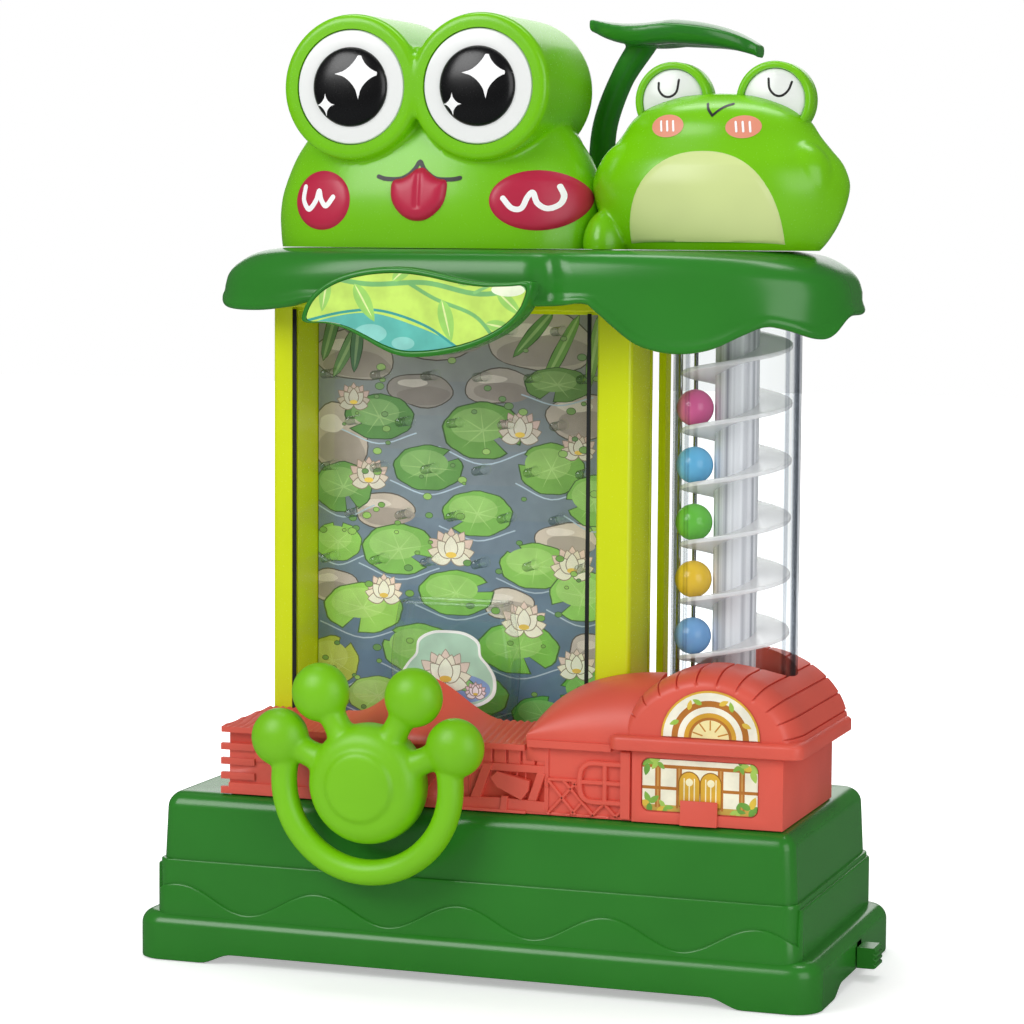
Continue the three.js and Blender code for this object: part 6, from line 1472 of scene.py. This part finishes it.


# %% [markdown]
# The card behind the pegs shows a pond from above: pale stones and water at the top, and bright lily pads with
# cream flowers lower down. Its inks are painted greyer and darker towards the top, as painted shade under the leaf
# canopy, and brighter lower down, as painted light. The places are drawn by a random generator with a fixed seed and
# by given lists, so the picture is the same each time.

# %% The pond's water, stones and reeds
# The stones near the top are inked greyer and darker: painted shade under the leaf canopy.
STONES = [
    (-62, 216, 15, 9, "#a59a93"), (-30, 224, 20, 8, "#9a918c"), (10, 222, 21, 10, "#b0a59d"),
    (-68, 186, 11, 12, "#b8aaa0"), (26, 196, 14, 8, "#baaca3"), (-36, 204, 12, 6, "#8f8783"),
    (-6, 206, 13, 6, "#a89d97"), (-50, 160, 12, 6, "#c5b6a9"), (20, 152, 11, 6, "#d2c3b4"),
    (-2, 128, 10, 5, "#d9ccbd"), (-70, 132, 9, 6, "#c2b4ae"), (30, 112, 9, 6, "#cfc3bd"),
]
REEDS = [
    (24, 232, 34, -118, "#6f9a4e"), (32, 233, 30, -100, "#82a85a"), (14, 233, 22, -132, "#5f8a4a"),
    (-74, 214, 26, 74, "#5a8058"), (-70, 208, 30, 62, "#6b9060"), (-60, 228, 18, -96, "#55795a"),
    (34, 150, 26, 112, "#9cc46a"),
]
# The water runs from blue at the bottom to grey at the top: the grey is painted shade under the leaf canopy.
SHADED_WATER_TOP, WATER_LOW, WATER_BANDS = "#8b8a88", "#5f7c98", 12
rng = random.Random(11)
pond = []
for k in range(WATER_BANDS):
    z = 84 + 148 * k / WATER_BANDS
    pond.append((box_window(-77, 38, z, 233), mixed(WATER_LOW, SHADED_WATER_TOP, k / (WATER_BANDS - 1))))
for x, z, half_width, half_height, hex_value in STONES:
    stone = blob(x, z, half_width, half_height, 0.07, rng)
    shaded = blob(x + 1.2, z - half_height * 0.34, half_width * 0.86, half_height * 0.56, 0.06, rng)
    glow = blob(x - half_width * 0.25, z + half_height * 0.42, half_width * 0.45, half_height * 0.26, 0.08, rng)
    pond += [(grown(stone, 0.5), mixed(hex_value, "#3d3833", 0.75)), (stone, hex_value)]
    pond += [(shaded, mixed(hex_value, "#6c615e", 0.32)), (glow, mixed(hex_value, "#f7eee4", 0.45))]
for x, z, length, turn, hex_value in REEDS:
    blade = petal(x, z, length, 4.4, math.radians(turn), 0.7)
    pond += [(grown(blade, 0.4), mixed(hex_value, "#27331f", 0.7)), (blade, hex_value)]
    pond.append((petal(x, z, length * 0.92, 1.2, math.radians(turn), 0.7), mixed(hex_value, "#e8f0b8", 0.35)))
print("stones:", len(STONES), "reeds:", len(REEDS))

# %% The pond's lily pads and flowers
# The pads are inked darker near the top and brighter lower down: painted shade and painted light.
PADS = [
    (-52, 194, 13, 8, 200, "#5d8a4e"), (-12, 190, 15, 10, 320, "#6b9a4c"), (16, 207, 12, 6, 250, "#6d9150"),
    (14, 177, 12, 9, 160, "#79a94f"), (-33, 176, 13, 8, 40, "#66974f"), (-66, 168, 11, 9, 290, "#6f9f55"),
    (-14, 160, 13, 8, 210, "#7fb556"), (30, 166, 10, 9, 190, "#86ba58"), (-44, 146, 14, 9, 330, "#84bb5a"),
    (8, 142, 13, 8, 130, "#8cc35a"), (-68, 148, 9, 7, 90, "#93c75e"), (-22, 131, 14, 8, 20, "#86c055"),
    (26, 132, 12, 9, 215, "#93cc62"), (-58, 124, 15, 9, 250, "#9bcf5c"), (-36, 110, 14, 9, 150, "#8dc65e"),
    (2, 112, 15, 9, 300, "#7fbf52"), (-70, 104, 10, 9, 60, "#b9c94f"), (30, 97, 12, 8, 175, "#69b94e"),
    (-16, 94, 14, 8, 110, "#83c662"), (-52, 92, 12, 7, 10, "#a5d06a"), (12, 88, 12, 7, 70, "#5fb252"),
]
# The flowers near the top are inked greyer: painted shade.
FLOWERS = [
    (-56, 172, 9, "#cfc5b4"), (2, 190, 9.5, "#c9c1b2"), (-24, 146, 10.5, "#e2dbc2"), (22, 142, 9.5, "#e9e2c8"),
    (-50, 130, 8.5, "#efe9cf"), (4, 121, 10, "#f1ecd4"), (-62, 200, 7.5, "#b9b0a4"), (24, 184, 7.5, "#cdc4b3"),
    (-34, 100, 9, "#f3efdd"), (24, 106, 8.5, "#eef2dc"),
]
for x, z, half_width, half_height, notch, hex_value in PADS:
    ripple = [(x - half_width * 1.12, z - half_height * 0.62), (x, z - half_height * 1.22),
              (x + half_width * 1.1, z - half_height * 0.7)]
    pond.append((ribbon(ripple, 0.5, 5), mixed(WATER_LOW, "#e6eef2", 0.6)))
    pond += lily_pad(x, z, half_width, half_height, math.radians(notch), hex_value)
for x, z, size, hex_value in FLOWERS:
    pond += lotus(x, z, size, hex_value)
for _ in range(90):
    x, z = rng.uniform(-75, 36), rng.uniform(86, 226)
    size = rng.uniform(0.6, 1.7)
    # Dots above 150 mm are greyed, more with height: painted shade.
    tone = mixed(rng.choice(["#7fae55", "#9bc765", "#6d9a56"]), "#8a8d80", max(0, (z - 150) / 160))
    dot = oval(x, z, size, size * 0.7, 2, 14)
    pond += [(grown(dot, 0.22), mixed(tone, "#26331f", 0.6)), (dot, tone)]
print_picture("pond_picture", pond, field_edge, -6.0, brightened_picture_paper)
print("inks in the pond picture:", len(pond))

# %% [markdown]
# The bucket's sticker, the hood's badge and the barn's two stickers are small prints of the same kind. They sit in
# shallow seats, and each carries plain plant and window motifs.

# %% The bucket's sticker
SX, SZ = CATCH_X, 106
EDGE = [(-17.5, -9), (-18, -3), (-15.5, 1.5), (-12.5, 5), (-11.5, 10), (-6.5, 13), (0, 13.6), (6.5, 13), (11.5, 10),
        (12.5, 5), (15.5, 1.5), (18, -3), (17.5, -9), (12, -13), (4, -13.8), (-4, -13.8), (-12, -13)]
edge = smooth_flat([(SX + dx, SZ + dz) for dx, dz in EDGE], 5, closed=True)
label = [(edge, "#fbfcf8"), ([(SX + (x - SX) * 0.93, SZ + (z - SZ) * 0.93) for x, z in edge], "#b9dcc4")]
label.append((oval(SX + 4, SZ - 7, 12, 5.2), "#8fa9d8"))
label += lily_pad(SX - 3, SZ - 6.4, 12.4, 5.8, math.radians(330), "#8fce7c")
label += lotus(SX - 1, SZ - 2.5, 11.5, "#f1f4dc")
label += lotus(SX + 10.4, SZ - 8.2, 4.6, "#fbe9ef")
print_picture("bucket_sticker", label, edge, -23.35, sticker_vinyl, BODY_OF["catcher_label"], "catcher_label",
              -23.05)
print("inks on the bucket:", len(label))

# %% The hood's badge
WATER_EDGE = [(-64, 226), (-50, 231), (-34, 233), (-18, 229), (-4, 223), (4, 214), (-64, 214)]
badge = [(box_window(-62, 26, 216, 251), "#c8ea6a"), (smooth_flat(WATER_EDGE, 6), "#63bfb2")]
badge.append((ribbon([(-60, 229.5), (-44, 233.2), (-30, 233.8), (-14, 229), (-2, 221.6)], 0.9), "#3fa39c"))
badge.append((ribbon([(-58, 247), (-36, 243), (-14, 243.6), (6, 240), (26, 243)], 1.7), "#7dbf74"))
badge.append((ribbon([(-20, 243.4), (-10, 238), (4, 232.6), (12, 224)], 1.3), "#7dbf74"))
badge.append((ribbon([(4, 240.4), (12, 244.6), (18, 251)], 1.1), "#8ccb7c"))
for x, z, length, turn in [(-40, 243, 15, -60), (-26, 244, 13, 42), (-8, 238, 15, -76), (-2, 243, 14, 30),
                           (8, 230, 11, -10), (12, 241, 12, -42), (-50, 245, 12, -100)]:
    leaf_shape = petal(x, z, length, length * 0.36, math.radians(turn))
    badge += [(leaf_shape, "#9fd86a"), (petal(x, z, length * 0.9, 0.7, math.radians(turn)), "#e3f3a6")]
badge += [(oval(-34, 226, 6, 3.2), "#8fd6cb"), (oval(-22, 222.8, 4.2, 2.2), "#8fd6cb"),
          (oval(16, 241.5, 6, 2.2), "#f2fbdc")]
inside_frame = [(p.x, p.y) for p in badge_outline(2.25)]
print_picture("badge_picture", badge, inside_frame, -60.25, sticker_vinyl)
print("inks on the badge:", len(badge))

# %% [markdown]
# ## The barn's roof
# The hood over the gate is a barrel of planks with a softly rounded front, on a flat eave, and a low dome leads
# from it to the house. The plank lines are grooves 0.9 mm deep. The hole lets the tower stand in the roof.


# %% The barn's hood
VAULT_X, VAULT_HALF, VAULT_TOP, EAVE_TOP, SQUARED = 84.4, 32.5, 114, 90.6, 1.85
VAULT_FRONT, FRONT_DEPTH, FRONT_DROP, GROOVE = -50.5, 13, 6.2, 0.9
GROOVES = [math.radians(8.6 + 162.8 * k / 11) for k in range(12)]
plain = [(math.pi * i / 72, 0) for i in range(73)]
steps = [step for step in plain if min(abs(step[0] - groove) for groove in GROOVES) > 0.015]
for groove in GROOVES:
    steps += [(groove - 0.013, 0), (groove - 0.007, 1), (groove + 0.007, 1), (groove + 0.013, 0)]
steps.sort()


def tower_hole():
    bm = bmesh.new()
    turned(bm, [(0, 80), (22.6, 80), (22.6, 118), (0, 118)], x=LIFT_X, y=LIFT_Y, axis="Z", around=96)
    return bm


def vault_ring(y, inset, groove):
    """One arch of the hood, with its plank lines sunk to the groove's depth."""
    ring, foot = [], EAVE_TOP - 2
    for turn, cut_share in steps:
        c, s = math.cos(turn), max(0, math.sin(turn))
        size = (abs(c) ** SQUARED + s**SQUARED) ** (-1 / SQUARED)
        depth = inset + groove * cut_share
        ring.append(Vector((VAULT_X + (VAULT_HALF - depth) * c * size, y,
                            foot + (VAULT_TOP - foot - depth) * s * size)))
    return ring


rings = []
for k, turn in enumerate(quarter(12)):
    rings.append(vault_ring(VAULT_FRONT + FRONT_DEPTH * (1 - math.cos(turn)), FRONT_DROP * (1 - math.sin(turn)),
                            GROOVE * smoothstep(k / 12, 0.04, 0.3)))
rings += [vault_ring(y, 0, GROOVE) for y in (-30, -20, -10, 0, 10, 19)]
rings += [vault_ring(21.3, 0.15, 0.5), vault_ring(21.9, 0.8, 0.2)]
bm = bmesh.new()
loft(bm, rings)
vault = place("barn_vault", bm, house_red, "game_body", "barn_roof", smooth=40)
cut_with(vault, tower_hole())
print("barn's hood:", len(vault.data.polygons), "faces")

# %% The barn's eave
EAVE = [(0.5, 85.3), (0.1, 85.5), (0, 85.9), (0, 88.9), (0.15, 89.5), (0.6, 90.0), (1.2, 90.35), (2.2, EAVE_TOP)]
rings = []
for inset, z in EAVE:
    ring = plinth_ring(34.1 - inset, 38.25 - inset, 4 - inset / 2, level(z), 24, 12, 10)
    rings.append([p + Vector((VAULT_X, -14.75, 0)) for p in ring])
bm = bmesh.new()
loft(bm, rings)
eave = place("barn_eave", bm, house_red, smooth=40)
cut_with(eave, tower_hole())
print("barn's eave:", len(eave.data.polygons), "faces")


# %% The dome between barn and house
def grid_solid(bm, across, deep, at, top, bottom):
    """A closed solid over a grid: at(u, v) is the place, top and bottom give its heights."""
    places = [[at(i / across, k / deep) for i in range(across + 1)] for k in range(deep + 1)]
    upper = [[bm.verts.new((x, y, top(x, y))) for x, y in row] for row in places]
    lower = [[bm.verts.new((x, y, bottom)) for x, y in row] for row in places]
    for k in range(deep):
        for i in range(across):
            bm.faces.new((upper[k][i], upper[k][i + 1], upper[k + 1][i + 1], upper[k + 1][i]))
            bm.faces.new((lower[k][i], lower[k + 1][i], lower[k + 1][i + 1], lower[k][i + 1]))
    rim = [(0, i) for i in range(across)] + [(k, across) for k in range(deep)]
    rim += [(deep, i) for i in range(across, 0, -1)] + [(k, 0) for k in range(deep, 0, -1)]
    for (k0, i0), (k1, i1) in zip(rim, [*rim[1:], rim[0]]):
        bm.faces.new((lower[k0][i0], lower[k1][i1], upper[k1][i1], upper[k0][i0]))


HOUSE_REAR = -27.3
DOME = {"left": 20.3, "right": 64, "front": -50.2, "foot": 88.4, "top": 109.3}


def dome_place(u, v):
    return (DOME["right"] - (DOME["right"] - DOME["left"]) * math.sin(math.pi / 2 * (1 - u)),
            DOME["front"] + (HOUSE_REAR - DOME["front"]) * (1 - math.cos(math.pi / 2 * v)))


def dome_top(x, y):
    across = min(1, (DOME["right"] - x) / (DOME["right"] - DOME["left"]))
    away = min(1, (HOUSE_REAR - y) / (HOUSE_REAR - DOME["front"]))
    return DOME["foot"] + (DOME["top"] - DOME["foot"]) * math.sqrt(1 - across**2) * math.sqrt(1 - away**2)


bm = bmesh.new()
grid_solid(bm, 44, 32, dome_place, dome_top, 85.35)
dome = place("barn_annex_dome", bm, house_red, smooth=50)
print("dome:", len(dome.data.polygons), "faces")

# %% [markdown]
# The old wing's roof is a shingle ledge that swells into a hill. Rows of battens run from front to back on both
# sides of the hill, 2.6 mm apart.


# %% The old wing's roof
WING_FRONT, WING_EDGE, BATTEN_STEP, BATTEN_DEPTH = -50.5, 85, 2.6, 0.6


def hill(x):
    """The roof's height along the house, at its rear."""
    rise = (x + 52) / 26 if x < -26 else (4 - x) / 30
    return 89.5 + 14 * smoothstep(rise, 0, 1)


def wing_place(u, v):
    begin = -94.6 + 9 * v
    return (begin + (19.7 - begin) * u, WING_FRONT + (HOUSE_REAR - WING_FRONT) * v)


def wing_top(x, y):
    """The roof climbs to the hill from its front edge, with battens on both sides of the hill."""
    share = (y - WING_FRONT) / (HOUSE_REAR - WING_FRONT)
    battens = 1 - smoothstep(x, -58, -52) + smoothstep(x, 0, 4)
    wave = 0.5 + 0.5 * math.cos(2 * math.pi * x / BATTEN_STEP)
    edge = min(1, share / 0.04)
    sunk = BATTEN_DEPTH * battens * (1 - wave**0.6) * edge + 0.3 * (1 - edge) ** 2
    return WING_EDGE + (hill(x) - WING_EDGE) * share - sunk


bm = bmesh.new()
grid_solid(bm, 440, 10, wing_place, wing_top, 82.7)
flat_box(bm, (-92.6, -47.5, 78.2), (26.8, -46.4, 82.9))
flat_box(bm, (-92.6, -46.4, 78.8), (-90.4, HOUSE_REAR, 82.9))
wing = place("old_wing_roof", bm, house_red, "game_body", "ruin_roof", smooth=55)
print("old wing's roof:", len(wing.data.polygons), "faces")

# %% [markdown]
# Two stickers dress the barn: a round-headed fan light on the hood, and a pair of arched doors on the gate.

# %% The fan light
FAN_X, FAN_Z = 86.2, 90.9


def arch_shape(half, height, x=FAN_X, z=FAN_Z, steps=24):
    """A half oval on its flat side."""
    turns = [math.pi * k / steps for k in range(steps + 1)]
    return [(x + half * math.cos(turn), z + height * math.sin(turn)) for turn in turns]


fan = [(arch_shape(17.4, 16.4), "#e2b13a"), (arch_shape(16.6, 15.6), "#f7f3df")]
for radius, hex_value in ((13.6, "#b9742b"), (11.4, "#f7f3df"), (9.2, "#d9a32f"), (7.6, "#b9742b"),
                          (6.6, "#f6e7a8")):
    fan.append((arch_shape(radius, radius * 0.95), hex_value))
for k in range(5):
    turn = math.radians(18 + 36 * k)
    c, s = math.cos(turn), math.sin(turn)
    fan.append((ribbon([(FAN_X + 3 * c, FAN_Z + 3 * s), (FAN_X + 6.3 * c, FAN_Z + 6 * s)], 0.5, 2), "#c98a2c"))
for k, degrees in enumerate((28, 52, 76, 104, 128, 152)):
    turn = math.radians(degrees)
    x, z = FAN_X + 12.5 * math.cos(turn), FAN_Z + 11.9 * math.sin(turn)
    fan.append((petal(x, z, 3.6, 1.7, turn + (0.9 if k % 2 else -0.9)), "#9cc24c" if k % 2 else "#e6c24a"))
print_picture("fan_light_sticker", fan, arch_shape(17.3, 16.3), -51.1, sticker_vinyl, "game_body", "roof_sticker",
              -50.85)
print("inks in the fan light:", len(fan))

# %% The gate's doors
gate_window = box_window(62, 102.6, 64.8, 82.6, 2.6)
doors = [(gate_window, "#f5f1d8"), (box_window(60, 105, 64, 67), "#c9a64a"),
         (box_window(60, 105, 79.6, 80.8), "#b9742b")]
for x in (67.5, 75, 89.6, 97.1):
    doors += [(box_window(x - 1, x + 1, 66, 79.8), "#b9742b"), (box_window(x - 0.3, x + 0.3, 66, 79.8), "#d09a52")]
doors.append((box_window(60, 105, 72.2, 73.3), "#b9742b"))
for x in (78.6, 86.2):
    arch = [(x + 3.5, 67), *arch_shape(3.5, 3.6, x, 75, 12), (x - 3.5, 67)]
    doors += [(grown(arch, 0.4), "#9c6a1e"), (arch, "#dfae35")]
    for dx in (-1.8, 0, 1.8):
        doors.append((ribbon([(x + dx, 68), (x + dx, 76.4)], 0.4, 2), "#fbf3c8"))
    doors.append((oval(x, 75.2, 1.3, 1.3), "#fbf3c8"))
for x, z, size in [(64, 81, 4.4), (67.4, 81.6, 3.4), (100.5, 80.6, 4.6), (96.4, 81.8, 3.2), (64.6, 67.4, 4.2),
                   (100.2, 67.2, 4.6), (70, 66.2, 3.2), (95.6, 66.4, 3)]:
    for degrees in (20, 95, 165, 250):
        leaf_shape = petal(x, z, size, size * 0.5, math.radians(degrees + 17 * x))
        doors.append((leaf_shape, rng.choice(["#86b84a", "#a9cf5c", "#e0bf45", "#6fa544"])))
print_picture("barn_door_sticker", doors, gate_window, -49.4, sticker_vinyl, "game_body", "gate_sticker", -49.1)
print("inks on the gate:", len(doors))

# %% [markdown]
# ## The back
# The yellow back is held by six pan-head screws in round wells, each with a cross slot. The photo doesn't show
# them, but a moulded cabinet of this kind is closed so.

# %% Screws in the back
SCREW_HEAD = [(0, -2.0), (1.95, -2.0), (2.0, -1.8), (1.9, -1.5), (1.4, -1.25), (0, -1.15)]
BACK_LOW, BACK_TOP, SLOT_LONG, SLOT_THIN = 60.6, 236.5, 1.2, 0.22
screw_places = [(x, BACK_LOW + (BACK_TOP - BACK_LOW) * share) for x in (-81.2, 46.3) for share in (0.03, 0.5, 0.97)]
for number, (x, z) in enumerate(screw_places, 1):
    bm = bmesh.new()
    turned(bm, SCREW_HEAD, x=x, z=z, around=40)
    head = place(f"back_screw_{number}", bm, screw_steel, smooth=40)
    for wide, high in ((SLOT_LONG, SLOT_THIN), (SLOT_THIN, SLOT_LONG)):
        bm = bmesh.new()
        flat_box(bm, (x - wide, -1.75, z - high), (x + wide, -0.8, z + high))
        cut_with(head, bm)
print("screws:", len(screw_places))

# %% [markdown]
# ## The farmhouse front
# The house front is where the toymaker's carving shows: a barred window, a trellis, a corner post, and on the old
# wing a broken board nailed over loose planks. Raised work on a flat wall looks thin, so a shallow field is sunk
# into the wall first, and each bar stands up from its floor with a small bevel along its edges.


# %% Carved work
def carved(bm, outline, inner, back, front, bevel=0.25):
    """A raised shape between two depths: its outline, and the smaller one that its bevel ends on."""
    rows = ((outline, back), (outline, front + bevel), (inner, front))
    rings = [[Vector((x, y, z)) for x, z in points] for points, y in rows]
    loft(bm, rings)


def bar(bm, path, width, back, front, bevel=0.25):
    """A round-ended bar along a path."""
    carved(bm, ribbon(path, width, 2), ribbon(path, width - 2 * bevel, 2), back, front, bevel)


def board(bm, outline, back, front):
    """A flat board of any outline."""
    carved(bm, outline, grown(outline, -0.35), back, front)


# %% The fields sunk in the wall
bm = bmesh.new()
flat_box(bm, (-12.5, -52, 61.6), (26.6, -48.0, 79.2))
flat_box(bm, (28.0, -52, 61.6), (54.2, -48.5, 83.9))
cut_with(walls, bm)
print("walls with their fields:", len(walls.data.polygons), "faces")

# %% The farmhouse front
LOFT_FLOOR, WALL_FLOOR = -47.9, -48.4
PATCH = [(9.2, 69.4), (18.4, 65.3), (21.0, 68.6), (21.4, 72.2), (9.4, 74.9), (6.9, 72.6)]
WINDOW = [(54.2, 66.3), (48, 66.3), (43.6, 66.3), (40.9, 67.4), (39.6, 70.2), (39.6, 75.4), (40.9, 78.4),
          (43.6, 79.7), (48, 79.7), (54.2, 79.7)]
TRELLIS = [((28.2, 72.6), (37.6, 61.6)), ((33.4, 73.2), (44.2, 61.6)), ((28.2, 61.6), (38.6, 73.0)),
           ((36.6, 61.6), (39.6, 65.0)), ((44.2, 61.6), (48.2, 65.9)), ((48.2, 65.9), (52.4, 61.6)),
           ((52.4, 61.6), (54.2, 63.4)), ((38.9, 70.3), (36.8, 73.0))]
bm = bmesh.new()
for left in (-11.8, -7, -2.2, 2.8, 7.9, 13.2, 18.4, 23.6):
    board(bm, box_window(left, left + 4.4, 77.4, 83.2), -47.0, -48.7)
board(bm, box_window(-12.4, 26.6, 75.0, 77.6), LOFT_FLOOR, -49.3)
board(bm, [(-0.4, 65.2), (3.2, 65.2), (7.8, 77.4), (4.3, 77.4)], LOFT_FLOOR, -49.6)
board(bm, [(20.6, 65.2), (23.7, 65.2), (27.0, 74.8), (24.2, 75.6)], LOFT_FLOOR, -49.6)
board(bm, PATCH, LOFT_FLOOR, -50.2)
board(bm, [(-12.4, 61.4), (26.8, 61.4), (26.8, 65.0), (11.4, 65.8), (-12.4, 64.6)], LOFT_FLOOR, -49.3)
board(bm, [(10.5, 61.4), (13.1, 61.4), (13.6, 66.4), (11.2, 66.4)], LOFT_FLOOR, -50.0)
for x in (-6.4, -1.2, 16.2, 19.4):
    bar(bm, [(x, 66), (x, 74.6)], 0.5, LOFT_FLOOR, -48.3, 0.1)
for start, end in TRELLIS:
    bar(bm, [start, end], 1.05, WALL_FLOOR, -49.6)
bar(bm, [(28.2, 73.2), (39.2, 73.2)], 1.0, WALL_FLOOR, -49.7)
bar(bm, WINDOW, 1.7, WALL_FLOOR, -50.1, 0.3)
bar(bm, [(48.5, 66.3), (48.5, 79.7)], 1.5, WALL_FLOOR, -49.97)
bar(bm, [(39.6, 73.0), (54.2, 73.0)], 1.5, WALL_FLOOR, -49.8)
board(bm, box_window(54.3, 57.7, 61.0, 84.4), WALL_FLOOR, -50.3)
board(bm, box_window(20.6, 51.0, 84.2, 86.8), -48.6, -51.1)
relief = place("house_front_relief", bm, house_red, smooth=30)
print("house front:", len(relief.data.polygons), "faces")

# %% [markdown]
# The last line notes the object's box as imported, before dressing.

# %% Sizes and the end
print("packed box:", [round(v, 4) for v in (*cad_low, *cad_high)])
